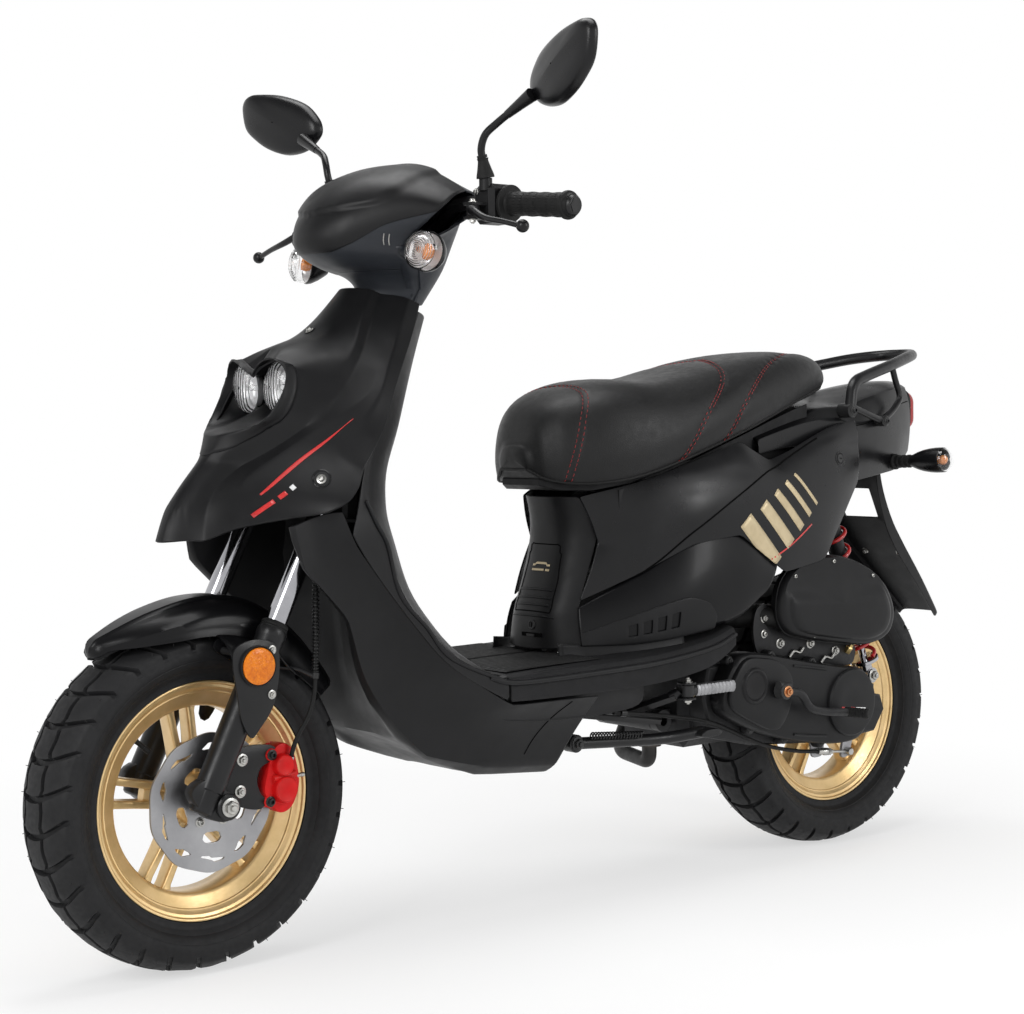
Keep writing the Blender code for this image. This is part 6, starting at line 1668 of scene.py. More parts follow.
def make_floor_area():
    """The leg shield with its edge bead, the floor with its mat and inner walls, the belly pan."""
    skin("leg_shield", MATTE)
    belly = skin("belly_pan", MATTE, 40.0, 2, 14.0)
    skin("floorboard", COARSE)
    beads = []
    for line in both_sides(LEG_EDGE):
        beads.append(tube(smooth_path(line, 6), 0.0028, 10))
    for line in both_sides(FLOOR_EDGE):
        beads.append(tube(smooth_path(line, 6), 0.0046, 12,
                          lambda t: 0.75 + 0.25 * math.sin(math.pi * t) ** 0.5))
    piece("leg_shield_bead", merged(*beads), MATTE, "chassis", 60.0)
    mats = []
    for side in (1, -1):
        rows = []
        for i in range(41):
            y = 0.452 + 0.190 * i / 40
            top = through(FLOOR_TOP, y)
            border = min(1.0, min(i, 40 - i) / 2)
            row = []
            for k in range(73):
                x = 0.006 + 0.140 * k / 72
                rib = 0.0012 * (0.5 + 0.5 * math.cos(k / 72 * math.tau * 12)) * border
                edge = min(1.0, min(k, 72 - k) / 2)
                row.append(at(side * x, y, top + 0.0004 + (0.0016 + rib) * min(edge, border)))
            rows.append(row)
        mats.append(net(rows))
    piece("floor_mat", merged(*mats), RUBBER, "chassis", 40.0)
    for name, side in SIDES:
        wall = side_plate(FLOOR_INNER, 4, 0.003, side * 0.150)
        corner = tube(smooth_path(sided(FLOOR_CORNER, side), 6), 0.0062, 14)
        piece("floor_inner_wall_" + name, merged(wall, corner), MATTE, "chassis", 40.0)
    tree = face_tree(belly)
    # Near-black tubes along the belly pan's joints: painted shade in the joint.
    lines = []
    for line in both_sides(((0.1765, 0.560, 0.330), (0.1600, 0.535, 0.305), (0.1440, 0.515, 0.275),
                            (0.1300, 0.505, 0.252))):
        lines.append(seam_line(tree, line, 0.0009))
    piece("belly_joint_shade", merged(*lines), SHADE_SEAM, "chassis", 60.0)


def block(place, size, turn=Matrix.Identity(4)):
    """A small block: a latch, or painted shade in a keyway or slot."""
    mesh = bmesh.new()
    placing = Matrix.Translation(place) @ turn @ Matrix.Diagonal((*size, 1.0))
    bmesh.ops.create_cube(mesh, size=1.0, matrix=placing)
    return mesh


def make_pillar():
    """The seat pillar: a front panel framed in painted shade, three ribs, its lock with painted shade in the
    keyhole, and the latch over painted shade in its slot.
    """
    pillar = skin("pillar_cover", MATTE)
    tree = face_tree(pillar)
    frame_line = [at(x, 0.60, z) for x, z in ((-0.050, 0.566), (0.050, 0.566), (0.060, 0.556),
                                              (0.0575, 0.470), (0.0520, 0.460), (-0.0520, 0.460),
                                              (-0.0575, 0.470), (-0.060, 0.556), (-0.050, 0.566))]
    # The frame round the front panel: near-black tubes, painted shade in its joint.
    lines = []
    for a, b in zip(frame_line, frame_line[1:]):
        lines.append(seam_line(tree, [a, a.lerp(b, 0.25), a.lerp(b, 0.5), a.lerp(b, 0.75), b], 0.0010, 3))
    piece("pillar_panel_shade_line", merged(*lines), SHADE_SEAM, "chassis", 60.0)
    ribs = []
    for z in (0.5020, 0.4880, 0.4740):
        ribs.append(seam_line(tree, [at(x, 0.60, z) for x in (-0.050, -0.03, -0.01, 0.01, 0.03, 0.050)],
                              0.0021, 4, 0.0003))
    ribs.append(seam_line(tree, [at(x, 0.60, 0.4505) for x in (-0.066, -0.04, -0.01, 0.01, 0.04, 0.066)],
                          0.0016, 4))
    piece("pillar_ribs", merged(*ribs), MATTE, "chassis", 60.0)
    bars = []
    for x0, x1, z in ((-0.026, 0.026, 0.540), (-0.026, 0.010, 0.532), (0.015, 0.026, 0.532)):
        bars.append(ribbon(tree, [at(x0, 0.60, z), at((x0 + x1) / 2, 0.60, z), at(x1, 0.60, z)], 0.0036))
    decal("pillar_bars", bars, DECAL_GOLD)
    spot, normal = perch(tree, at(0.012, 0.55, 0.4390))
    lock = turned(((-0.002, 0.0), (-0.002, 0.0078), (0.0008, 0.0078), (0.0014, 0.0070), (0.0014, 0.0054),
                   (0.0006, 0.0050), (0.0006, 0.0)), spot, normal, 32)
    piece("pillar_lock", lock, CASTING, "chassis")
    # A near-black block in the lock's face: painted shade in the keyhole.
    keyway = block(spot + normal * 0.0006, (0.0016, 0.0014, 0.0072))
    piece("pillar_keyway_shade", keyway, SHADE_SEAM, "chassis", 30.0)
    # A near-black block sunk below the latch: painted shade in its slot.
    spot, normal = perch(tree, at(0.012, 0.55, 0.4215))
    slot = block(spot - normal * 0.0006, (0.044, 0.0040, 0.0062))
    piece("pillar_latch_slot_shade", slot, SHADE_SEAM, "chassis", 30.0)
    hook = block(spot + normal * 0.0014 - Z_AXIS * 0.0008, (0.018, 0.0030, 0.0036))
    piece("pillar_latch", hook, CASTING, "chassis", 30.0)


PANEL_CREASE = ((0.1560, 1.1350, 0.7270), (0.1600, 1.0700, 0.7020), (0.1644, 1.0151, 0.6763),
                (0.1669, 0.9634, 0.6507), (0.1655, 0.8882, 0.6097), (0.1541, 0.8248, 0.5690),
                (0.1312, 0.7737, 0.5279), (0.1080, 0.7250, 0.4990))
TRIM_STATIONS = (
    ((0.0805, 0.652, 0.462), (0.0880, 0.648, 0.434), (0.0935, 0.648, 0.404)),
    ((0.1105, 0.742, 0.510), (0.131, 0.735, 0.452), (0.130, 0.735, 0.404)),
    ((0.1460, 0.834, 0.560), (0.161, 0.826, 0.482), (0.153, 0.822, 0.413)),
    ((0.1570, 0.930, 0.570), (0.169, 0.925, 0.500), (0.163, 0.918, 0.432)),
    ((0.1570, 1.022, 0.514), (0.166, 1.002, 0.490), (0.165, 0.985, 0.470)),
)
COVER_TOP = ((0.600, 0.412), (0.648, 0.4224), (0.700, 0.4400), (0.764, 0.4601), (0.800, 0.4700),
             (0.826, 0.4717), (0.852, 0.4640), (0.868, 0.4480), (0.880, 0.4250), (0.890, 0.400))
VENT_FIRST, VENT_PITCH, VENT_LONG = 0.80, 0.262, 0.165
TRIM_WALL = 0.0026


def trim_point(side, t, w):
    """A point of the infill below the side panel: t along it, w from its top edge down."""
    lines = []
    for place in range(3):
        lines.append([through(list(enumerate([station[place][axis] for station in TRIM_STATIONS])), t)
                      for axis in range(3)])
    top, middle_line, low = (Vector(line) for line in lines)
    bend = middle_line * 2 - (top + low) / 2
    spot = top * (1 - w) ** 2 + bend * 2 * w * (1 - w) + low * w * w
    return at(side * spot.x, spot.y, spot.z)


def cover_start(t):
    """Where the matt cover begins on the infill, as its share from the top."""
    for step in range(101):
        spot = trim_point(1, t, step / 100)
        if spot.z <= through(COVER_TOP, spot.y - FRONT_AXLE.y):
            return step / 100
    return 1.0


def sheet_piece(name, mesh, side, finish, lift, stands_for=()):
    """A trim panel of even thickness, moved out from its surface by lift."""
    mesh.normal_update()
    if sum(face.normal.x for face in mesh.faces) * side < 0:
        bmesh.ops.reverse_faces(mesh, faces=mesh.faces)
        mesh.normal_update()
    for vert in mesh.verts:
        vert.co += vert.normal * lift
    obj = piece(name, mesh, finish, "chassis", 60.0, stands_for)
    thicken(obj, TRIM_WALL)
    return obj


def make_trim(name, side):
    """The gloss infill and, over its lower front, the matt cover with four vents."""
    stops = [4.0 * i / 72 for i in range(73)]
    rows = [[trim_point(side, t, w / 16) for w in range(17)] for t in stops]
    sheet_piece("side_infill_" + name, net(rows), side, GLOSS, -0.0002, ["side_trim_" + name])
    rows = []
    start = trim_point(side, 0.0, 0.985)
    feet = [start + Vector((-side * 0.0032, -0.009, 0.001)) * step for step in (4, 3, 2, 1)]
    feet += [trim_point(side, 1.9 * i / 28, 0.985) for i in range(29)]
    for foot in feet:
        floor = through(FLOOR_TOP, foot.y - FRONT_AXLE.y) - 0.004
        rows.append([foot + Vector((side * (0.0045 * t * t - 0.0012), 0.0, (floor - foot.z) * t))
                     for t in (0.0, 0.2, 0.4, 0.6, 0.8, 1.0)])
    sheet_piece("side_skirt_" + name, net(rows), side, MATTE, 0.0)
    vents = [VENT_FIRST + VENT_PITCH * k for k in range(4)]
    stops = {0.0, 0.15, 0.3, 0.45, 0.6, 0.7, 1.95, 2.05, 2.15, 2.25, 2.33, 2.40, 2.46, 2.50}
    for start in vents:
        stops |= {start, start + VENT_LONG / 2, start + VENT_LONG, start + VENT_LONG * 1.3}
    stops = sorted(t for t in stops if cover_start(t) < 0.98)
    shares = (0.0, 0.04, 0.12, 0.30, 0.42, 0.56, 0.70, 0.82, 0.92, 1.0)
    rows = []
    for t in stops:
        start = cover_start(t)
        rows.append([trim_point(side, t, start + (1.0 - start) * share) for share in shares])
    mesh = bmesh.new()
    grid = [[mesh.verts.new(point) for point in row] for row in rows]
    for r in range(len(stops) - 1):
        middle_t = (stops[r] + stops[r + 1]) / 2
        in_vent = any(start < middle_t < start + VENT_LONG for start in vents)
        for c in range(len(shares) - 1):
            if in_vent and 0.30 <= shares[c] and shares[c + 1] <= 0.70:
                continue
            mesh.faces.new((grid[r][c], grid[r][c + 1], grid[r + 1][c + 1], grid[r + 1][c]))
    cover = sheet_piece("side_vent_cover_" + name, mesh, side, MATTE, 0.0030)
    break_edges(cover, 0.0007, 50.0)


# The upright liner below the seat: its top follows the seat's base, a little below it.
WELL_STOPS = [0.720 + 0.430 * step / 14 for step in range(15)]
SEAT_WELL = [(y, through(LOWS, at(0, y, 0).y) - 0.016) for y in WELL_STOPS]
SEAT_WELL += [(1.150, 0.690), (1.100, 0.640), (0.980, 0.598), (0.800, 0.580), (0.720, 0.600)]


def make_side(name, side):
    """The side panel with painted shade along its joint line, plain slanted bars, the liner inside it and the
    seat's lock, with painted shade in its keyhole.
    """
    panel = skin("side_panel_" + name, SATIN, 40.0, 3, 14.0)
    tree = face_tree(panel)
    # A near-black tube along the panel's joint: painted shade in the joint.
    line = seam_line(tree, sided(PANEL_CREASE, side), 0.0015, 8)
    piece("side_panel_joint_shade_" + name, line, SHADE_SEAM, "chassis", 60.0)
    bars = []
    low, high = Vector((0.975, 0.552)), Vector((1.125, 0.664))
    slant = Vector((0.030, -0.030))
    place = 0.0
    for width in (0.030, 0.022, 0.015, 0.010, 0.006):
        spot = low.lerp(high, min(place, 1.0))
        half = slant * (1.25 - 0.45 * place)
        ends = [at(side * 0.17, *(spot + half * share)) for share in (-1.0, -0.5, 0.0, 0.5, 1.0)]
        bars.append(ribbon(tree, ends, width, 3))
        place += (width + 0.016) / (high - low).length
    decal("side_panel_bars_" + name, bars, DECAL_GOLD)
    edge = [(1.0000, 0.5220), (1.0500, 0.5460), (1.1000, 0.5760)]
    pin = ribbon(tree, [at(side * 0.17, y, z) for y, z in edge], 0.0028)
    decal("side_panel_pin_" + name, [pin], DECAL_RED)
    piece("seat_well_liner_" + name, side_plate(SEAT_WELL, 0, 0.003, side * 0.104), COARSE, "chassis")
    if side > 0:
        spot, normal = perch(tree, at(0.1700, 1.1892, 0.6845))
        lock = turned(((-0.003, 0.0), (-0.003, 0.0118), (0.0006, 0.0118), (0.0012, 0.0110), (0.0008, 0.0096),
                       (-0.0006, 0.0088), (0.0016, 0.0076), (0.0022, 0.0066), (0.0018, 0.0)), spot, normal,
                      40)
        piece("seat_lock", lock, CASTING, "chassis", 30.0)
        # A near-black block in the lock: painted shade in the keyhole.
        way = block(spot + normal * 0.0018, (0.0014, 0.0072, 0.0012), aim(normal).to_4x4())
        piece("seat_lock_keyway_shade", way, SHADE_SEAM, "chassis", 30.0)


make_apron()
make_floor_area()
make_pillar()
for name, side in SIDES:
    make_trim(name, side)
    make_side(name, side)


# Tail, rail, rear guard and rear signals

def bent(points, radius, steps=6):
    """A path of straight runs with rounded corners."""
    points = [Vector(point) for point in points]
    path = [points[0]]
    for before, corner, after in zip(points, points[1:], points[2:]):
        reach = min(radius, (corner - before).length * 0.48, (after - corner).length * 0.48)
        start = corner + (before - corner).normalized() * reach
        end = corner + (after - corner).normalized() * reach
        for step in range(steps + 1):
            t = step / steps
            path.append(start * (1 - t) ** 2 + corner * 2 * t * (1 - t) + end * t * t)
    path.append(points[-1])
    return path


RAIL_HALF = ((0.1330, 1.229, 0.7660), (0.1260, 1.243, 0.812), (0.115, 1.307, 0.828), (0.101, 1.373, 0.842),
             (0.068, 1.462, 0.859), (0.036, 1.514, 0.865))
RAIL_HOOP = ((0.1325, 1.229, 0.7720), (0.1250, 1.298, 0.7520), (0.1190, 1.331, 0.7450),
             (0.1090, 1.371, 0.7640), (0.1010, 1.401, 0.7860), (0.0985, 1.390, 0.8120),
             (0.1000, 1.377, 0.8430))


def make_rail():
    """The grab rail, its side hoops, and the bosses that hold it to the tail."""
    path = sided(RAIL_HALF, 1) + sided(RAIL_HALF, -1)[::-1]
    tubes = [tube(bent(path, 0.03, 8), 0.0100, 20)]
    bosses, bolts = [], []
    for side in (1, -1):
        tubes.append(tube(bent(sided(RAIL_HOOP, side), 0.015, 6), 0.0055, 14))
        for x, y, z, radius in ((0.1330, 1.229, 0.7640, 0.0125), (0.1190, 1.331, 0.7450, 0.0095)):
            spot = at(side * x, y, z)
            bosses.append(turned(((-0.020, 0.0), (-0.020, radius), (0.0060, radius),
                                  (0.0085, radius - 0.0025), (0.0085, 0.0)), spot, X_AXIS * side, 28))
            bolts.append(bolt_head(spot + X_AXIS * side * 0.0085, X_AXIS * side, radius * 0.40))
    piece("grab_rail_tube", merged(*tubes), FRAME_PAINT, "chassis", 45.0, ["grab_rail"])
    piece("grab_rail_bosses", merged(*bosses), FRAME_PAINT, "chassis")
    piece("grab_rail_bolts", merged(*bolts), CASTING, "chassis")


def rounded_box_ring(y, half_x, low, high, corner, steps=6):
    """A ring across the scooter with rounded corners."""
    ring = []
    middle_z = (low + high) / 2
    half_z = (high - low) / 2
    for quarter in range(4):
        for step in range(steps + 1):
            angle = (quarter + step / steps) * math.pi / 2
            sx = 1 if math.cos(angle + 1e-9 if step < steps else angle - 1e-9) > 0 else -1
            sz = 1 if math.sin(angle + 1e-9 if step < steps else angle - 1e-9) > 0 else -1
            ring.append(at(sx * (half_x - corner) + corner * math.cos(angle), y,
                           middle_z + sz * (half_z - corner) + corner * math.sin(angle)))
    return ring


def make_tail():
    """The tail shell with painted shade along the joint on its sides, and the ribbed red lamp in its black
    bezel.
    """
    tail = skin("tail_cover", SATIN, 45.0, 3, 20.0)
    tree = face_tree(tail)
    # Near-black tubes along the joints on the tail's sides: painted shade in the joint.
    lines = []
    for line in both_sides(((0.120, 1.262, 0.738), (0.113, 1.300, 0.742), (0.106, 1.345, 0.752),
                            (0.096, 1.385, 0.765), (0.083, 1.425, 0.775), (0.066, 1.466, 0.780))):
        lines.append(seam_line(tree, line, 0.0009))
    piece("tail_joint_shade", merged(*lines), SHADE_SEAM, "chassis", 60.0)
    rows = [rounded_box_ring(*row) for row in ((1.4745, 0.0440, 0.728, 0.797, 0.020),
                                               (1.4745, 0.0540, 0.722, 0.803, 0.024),
                                               (1.4840, 0.0540, 0.722, 0.803, 0.024),
                                               (1.4860, 0.0525, 0.7235, 0.8015, 0.023),
                                               (1.4850, 0.0505, 0.7255, 0.7995, 0.021),
                                               (1.4790, 0.0500, 0.726, 0.799, 0.021))]
    piece("tail_lamp_bezel", net(rows, False, True), SATIN, "chassis")
    rows = [rounded_box_ring(*row) for row in ((1.4760, 0.0300, 0.740, 0.785, 0.015),
                                               (1.4760, 0.0495, 0.7265, 0.7985, 0.0205),
                                               (1.4930, 0.0495, 0.7265, 0.7985, 0.0205),
                                               (1.5005, 0.0470, 0.7285, 0.7965, 0.020),
                                               (1.5045, 0.0400, 0.7340, 0.7910, 0.018),
                                               (1.5058, 0.0270, 0.7450, 0.7800, 0.012),
                                               (1.5060, 0.0080, 0.7600, 0.7650, 0.0022))]
    piece("tail_lamp_lens", net(rows, False, True, True), RED_LENS, "chassis", 40.0, ["tail_light"])
    ribs = [tube([at(x, 1.5052, 0.740), at(x, 1.5062, 0.7625), at(x, 1.5052, 0.785)], 0.0011, 8)
            for x in (-0.024, -0.012, 0.0, 0.012, 0.024)]
    piece("tail_lamp_ribs", merged(*ribs), RED_LENS, "chassis", 60.0)


def make_rear_guard():
    """The plate behind the wheel with its window, a stiffening bead round the window, and its bolts."""
    guard = skin("rear_mudguard", MATTE, 45.0, 3, 20.0)
    tree = face_tree(guard)
    frame_line = [at(x, y, z) for x, y, z in (
        (-0.034, 1.392, 0.634), (0.034, 1.392, 0.634), (0.0445, 1.400, 0.615), (0.0430, 1.412, 0.580),
        (0.034, 1.424, 0.562), (-0.034, 1.424, 0.562), (-0.0430, 1.412, 0.580), (-0.0445, 1.400, 0.615),
        (-0.034, 1.392, 0.634))]
    bead = seam_line(tree, frame_line, 0.0020, 6)
    rib_lines = [seam_line(tree, [at(x, 1.450, 0.530), at(x * 0.9, 1.500, 0.478), at(x * 0.75, 1.555, 0.418)],
                           0.0018, 6) for x in (-0.046, 0.046)]
    piece("rear_guard_bead", merged(bead, *rib_lines), MATTE, "chassis", 60.0)
    bolts = []
    for x, y, z in ((0.040, 1.470, 0.508), (-0.040, 1.470, 0.508), (0.030, 1.386, 0.655),
                    (-0.030, 1.386, 0.655)):
        for way in (1, -1):
            spot, normal = perch(tree, at(x, y - 0.006 * way, z - 0.006 * way))
            bolts.append(bolt_head(spot, normal, 0.0044, way > 0))
    piece("rear_guard_bolts", merged(*bolts), ZINC, "chassis")


def make_rear_signal(name, side):
    """A rear signal: short ribbed stalk, a long black head, and a clear end lens over an amber bulb."""
    start = at(side * 0.0900, 1.398, 0.672)
    way = (X_AXIS * side + Vector((0.0, 0.05, 0.04))).normalized()
    profile = [(-0.004, 0.0), (-0.004, 0.0140), (0.002, 0.0140), (0.004, 0.0115)]
    for rib in range(3):
        low = 0.0055 + rib * 0.0110
        profile += [(low, 0.0100), (low + 0.0012, 0.0116), (low + 0.0056, 0.0116), (low + 0.0068, 0.0100),
                    (low + 0.0076, 0.0086), (low + 0.0098, 0.0086)]
    profile += [(0.0400, 0.0100), (0.0420, 0.0)]
    piece("rear_signal_stalk_" + name, turned(profile, start, way, 32), RUBBER, "chassis")
    head = ((0.0360, 0.0), (0.0360, 0.0098), (0.0420, 0.0120), (0.0520, 0.0158), (0.0640, 0.0190),
            (0.0780, 0.0212), (0.0900, 0.0220), (0.1000, 0.0220), (0.1044, 0.0216), (0.1048, 0.0208),
            (0.1030, 0.0198), (0.0940, 0.0150), (0.0900, 0.0))
    piece("rear_signal_head_" + name, turned(head, start, way, 48), SATIN, "chassis", 32.0)
    lens = [(0.0990, 0.0204), (0.1052, 0.0206), (0.1085, 0.0196), (0.1125, 0.0168), (0.1155, 0.0120),
            (0.1172, 0.0060), (0.1176, 0.0), (0.1152, 0.0), (0.1146, 0.0060), (0.1130, 0.0112),
            (0.1102, 0.0154), (0.1066, 0.0182), (0.0990, 0.0188)]
    piece("rear_signal_lens_" + name, turned(lens, start, way, 48, True), CLEAR, "chassis", 45.0,
          ["rear_signal_" + name])
    bulb = ((0.0930, 0.0), (0.0930, 0.0060), (0.1010, 0.0085), (0.1070, 0.0072), (0.1100, 0.0034),
            (0.1106, 0.0))
    piece("rear_signal_bulb_" + name, turned(bulb, start, way, 24), BULB, "chassis", 50.0)


make_tail()
make_rail()
make_rear_guard()
for name, side in SIDES:
    make_rear_signal(name, side)


# Power unit, stand, pegs and shock absorber

BRASS = surface("brass_plate", "gold", (0.44, 0.32, 0.13), (0.58, 0.44, 0.20), 0.36, 0.08, metal=1.0,
                patches=80.0)
SWING = body_of("engine_case")
COVER_LINE = ((0.906, 0.316), (0.909, 0.279), (0.952, 0.254), (1.017, 0.229), (1.100, 0.2095),
              (1.180, 0.1985), (1.236, 0.2040), (1.264, 0.236), (1.271, 0.278), (1.246, 0.320),
              (1.180, 0.332), (1.090, 0.349), (1.008, 0.366), (0.952, 0.371), (0.926, 0.352))
FRONT_SWELL = ((0.913, 0.315), (0.917, 0.286), (0.956, 0.262), (1.015, 0.239), (1.044, 0.258), (1.060, 0.300),
               (1.053, 0.332), (1.022, 0.354), (0.985, 0.362), (0.953, 0.363), (0.932, 0.347))


def swollen(line, layers, steps=5):
    """A moulded lid: layers of (x, share) draw the outline in towards its middle."""
    ring = smooth_ring(line, steps)
    middle_y = sum(y for y, z in ring) / len(ring)
    middle_z = sum(z for y, z in ring) / len(ring)
    rows = []
    for x, share in layers:
        rows.append([at(x, middle_y + (y - middle_y) * share, middle_z + (z - middle_z) * share)
                     for y, z in ring])
    return net(rows, False, True, True)


def make_drive_cover():
    """The belt cover: a rounded lid, its front swell with a ringed boss, the rear swell, ears and bolts."""
    lid = swollen(COVER_LINE, ((0.1192, 0.985), (0.1192, 1.0), (0.1400, 1.0), (0.1455, 0.985),
                               (0.1488, 0.955), (0.1500, 0.90), (0.1506, 0.60), (0.1506, 0.05)))
    front = swollen(FRONT_SWELL, ((0.1460, 1.0), (0.1535, 1.0), (0.1562, 0.975), (0.1576, 0.92),
                                  (0.1580, 0.60), (0.1580, 0.05)))
    boss = turned(((0.1560, 0.0), (0.1560, 0.0310), (0.1585, 0.0300), (0.1612, 0.0275), (0.1618, 0.0255),
                   (0.1612, 0.0238), (0.1592, 0.0222), (0.1586, 0.0200), (0.1590, 0.0)), at(0, 0.966, 0.318),
                  X_AXIS, 56)
    rear = turned(((0.1480, 0.0), (0.1480, 0.0575), (0.1545, 0.0575), (0.1572, 0.0555), (0.1582, 0.0520),
                   (0.1584, 0.0300), (0.1584, 0.0)), at(0, 1.207, 0.268), X_AXIS, 64)
    ribs = [tube([at(0.1500, 1.066, z0), at(0.1508, 1.105, z1), at(0.1500, 1.146, z2)], 0.0024, 10)
            for z0, z1, z2 in ((0.3420, 0.3360, 0.3290), (0.2270, 0.2210, 0.2160))]
    ears, bolts = [], []
    for y, z in ((0.911, 0.296), (0.980, 0.2430), (1.060, 0.2180), (1.150, 0.2020), (1.256, 0.2200),
                 (1.260, 0.304), (1.130, 0.3410), (1.030, 0.3610), (0.932, 0.3600)):
        spot = at(0.1265, y, z)
        ears.append(turned(((-0.0073, 0.0), (-0.0073, 0.0088), (0.0068, 0.0082), (0.0080, 0.0070),
                            (0.0080, 0.0)), spot, X_AXIS, 24))
        bolts.append(bolt_head(spot + X_AXIS * 0.0080, X_AXIS, 0.0042, False, True))
    piece("drive_cover_lid", merged(lid, front, boss, rear, *ribs, *ears), MATTE, SWING, 32.0, ["cvt_cover"])
    piece("drive_cover_bolts", merged(*bolts), CASTING, SWING)
    marks = [side_plate(((y, z), (y + w, z - w * 0.11), (y + w - 0.001, z - w * 0.11 - 0.006),
                         (y - 0.001, z - 0.006)), 0, 0.0004, 0.1588, 0.00005)
             for y, z, w in ((1.1760, 0.2630, 0.020), (1.1990, 0.2605, 0.010))]
    piece("drive_cover_marks_red", merged(*marks), DECAL_RED, SWING, 30.0)
    mark = side_plate(((1.2120, 0.2590), (1.2360, 0.2564), (1.2350, 0.2504), (1.2110, 0.2530)), 0, 0.0004,
                      0.1588, 0.00005)
    piece("drive_cover_mark_white", mark, DECAL_WHITE, SWING, 30.0)


AIRBOX_LINE = ((1.040, 0.440), (1.052, 0.482), (1.090, 0.510), (1.160, 0.520), (1.230, 0.508), (1.290, 0.478),
               (1.322, 0.440), (1.330, 0.404), (1.312, 0.374), (1.262, 0.362), (1.180, 0.370), (1.090, 0.386),
               (1.052, 0.404))


def make_airbox():
    """The air filter box: a rounded lid with its rim, screws and the duct to the engine."""
    box_form = swollen(AIRBOX_LINE, ((0.1242, 0.97), (0.1242, 0.995), (0.1330, 1.0), (0.1332, 1.012),
                                     (0.1362, 1.012), (0.1364, 0.998), (0.1430, 0.985), (0.1478, 0.955),
                                     (0.1500, 0.915), (0.1506, 0.880), (0.1512, 0.872), (0.1540, 0.852),
                                     (0.1562, 0.815), (0.1574, 0.74), (0.1582, 0.55), (0.1586, 0.05)), 6)
    for vert in box_form.verts:
        vert.co.x = min(vert.co.x, 0.1586 - 0.0116 * smooth_step((vert.co.z - 0.438) / 0.036))
    duct = tube(smooth_path([at(0.128, 1.075, 0.420), at(0.100, 1.030, 0.425), at(0.060, 0.995, 0.420),
                             at(0.020, 0.975, 0.415)], 8), 0.019, 20, lambda t: 1.0 + 0.06 * math.cos(t * 60))
    piece("airbox_lid", box_form, MATTE, SWING, 32.0, ["airbox"])
    piece("airbox_duct", duct, RUBBER, SWING, 60.0)
    screws = []
    for y, z in ((1.058, 0.430), (1.075, 0.490), (1.170, 0.510), (1.270, 0.480), (1.312, 0.412),
                 (1.240, 0.372), (1.120, 0.387)):
        screws.append(bolt_head(at(0.1462, y, z), X_AXIS, 0.0036, True, False))
    piece("airbox_screws", merged(*screws), ZINC, SWING)


def make_engine():
    """The castings, cylinder fins, fan grille, the bracket below the air filter and its fastenings."""
    machined("engine_case", CASTING, 0.0014)
    fins = []
    for k in range(8):
        z = 0.352 + 0.0122 * k
        rows = []
        for height, reach in ((-0.0011, 0.0), (-0.0011, 0.0075), (0.0, 0.0085), (0.0011, 0.0075),
                              (0.0011, 0.0)):
            ring = []
            for sx, sy, turn in ((1, 1, 0.0), (-1, 1, 0.25), (-1, -1, 0.5), (1, -1, 0.75)):
                for step in range(5):
                    angle = (turn + step / 16) * math.tau
                    ring.append(at(0.001 + sx * 0.047 + math.cos(angle) * (0.0125 + reach),
                                   0.937 + sy * 0.041 + math.sin(angle) * (0.0125 + reach), z + height))
            rows.append(ring)
        fins.append(net(rows, True, True))
    piece("cylinder_fins", merged(*fins), CASTING, SWING, 40.0)
    hub = at(-0.1142, 0.949, 0.283)
    grille = [turned(((0.0, r), (0.0, r + 0.0034), (0.0022, r + 0.0030), (0.0022, r + 0.0004)), hub, -X_AXIS,
                     56, True) for r in (0.010, 0.020, 0.030, 0.040)]
    for angle in spread(12):
        way = Vector((0.0, math.cos(angle), math.sin(angle)))
        grille.append(tube([hub - X_AXIS * 0.001 + way * 0.010, hub - X_AXIS * 0.001 + way * 0.046], 0.0015,
                           8))
    grille.append(turned(((0.0, 0.0), (0.0, 0.010), (0.0030, 0.0085), (0.0036, 0.0)), hub, -X_AXIS, 32))
    piece("fan_grille", merged(*grille), MATTE, SWING)
    bracket = side_plate(((1.006, 0.398), (1.014, 0.436), (1.040, 0.442), (1.064, 0.404), (1.130, 0.394),
                          (1.200, 0.380), (1.250, 0.362), (1.256, 0.340), (1.236, 0.326), (1.150, 0.340),
                          (1.060, 0.352), (1.020, 0.360)), 4, 0.005, 0.1150)
    piece("airbox_bracket", bracket, CASTING, SWING, 30.0)
    bolts = [bolt_head(at(0.1175, y, z), X_AXIS, size, socket) for y, z, size, socket in (
        (1.030, 0.4215, 0.0052, False), (1.030, 0.3950, 0.0046, True), (1.068, 0.3765, 0.0060, False),
        (1.142, 0.3705, 0.0058, False), (1.205, 0.3530, 0.0056, False))]
    clips = [tube(smooth_path([at(0.1205, y - 0.016, z - 0.006), at(0.1215, y - 0.006, z + 0.003),
                               at(0.1215, y + 0.008, z), at(0.1205, y + 0.018, z + 0.007)], 6), 0.0028, 10)
             for y, z in ((1.104, 0.3580), (1.182, 0.3420))]
    piece("engine_bolts", merged(*bolts, *clips), ZINC, SWING)
    brass = [turned(((0.0, 0.0), (0.0, 0.0070), (0.010, 0.0070), (0.012, 0.0050), (0.017, 0.0046),
                     (0.018, 0.0)), at(0.1165, 1.236, 0.3480), (0.5, 0.2, 0.8), 6),
             turned(((0.0, 0.0), (0.0, 0.0060), (0.012, 0.0060), (0.014, 0.0042), (0.022, 0.0040),
                     (0.023, 0.0)), at(0.0900, 0.8850, 0.3020), (0.6, 0.2, 0.7), 6)]
    piece("engine_fittings", merged(*brass), BRASS, SWING)
    drum = [turned(((-0.1005, 0.0105), (-0.1005, 0.0180), (-0.0930, 0.0190), (-0.0925, 0.0105)), REAR_AXLE,
                   X_AXIS, 32, True)]
    drum.append(bolt_head(REAR_AXLE - X_AXIS * 0.0780, -X_AXIS, 0.0105, False))
    piece("rear_axle_nut", merged(*drum), ZINC, SWING)


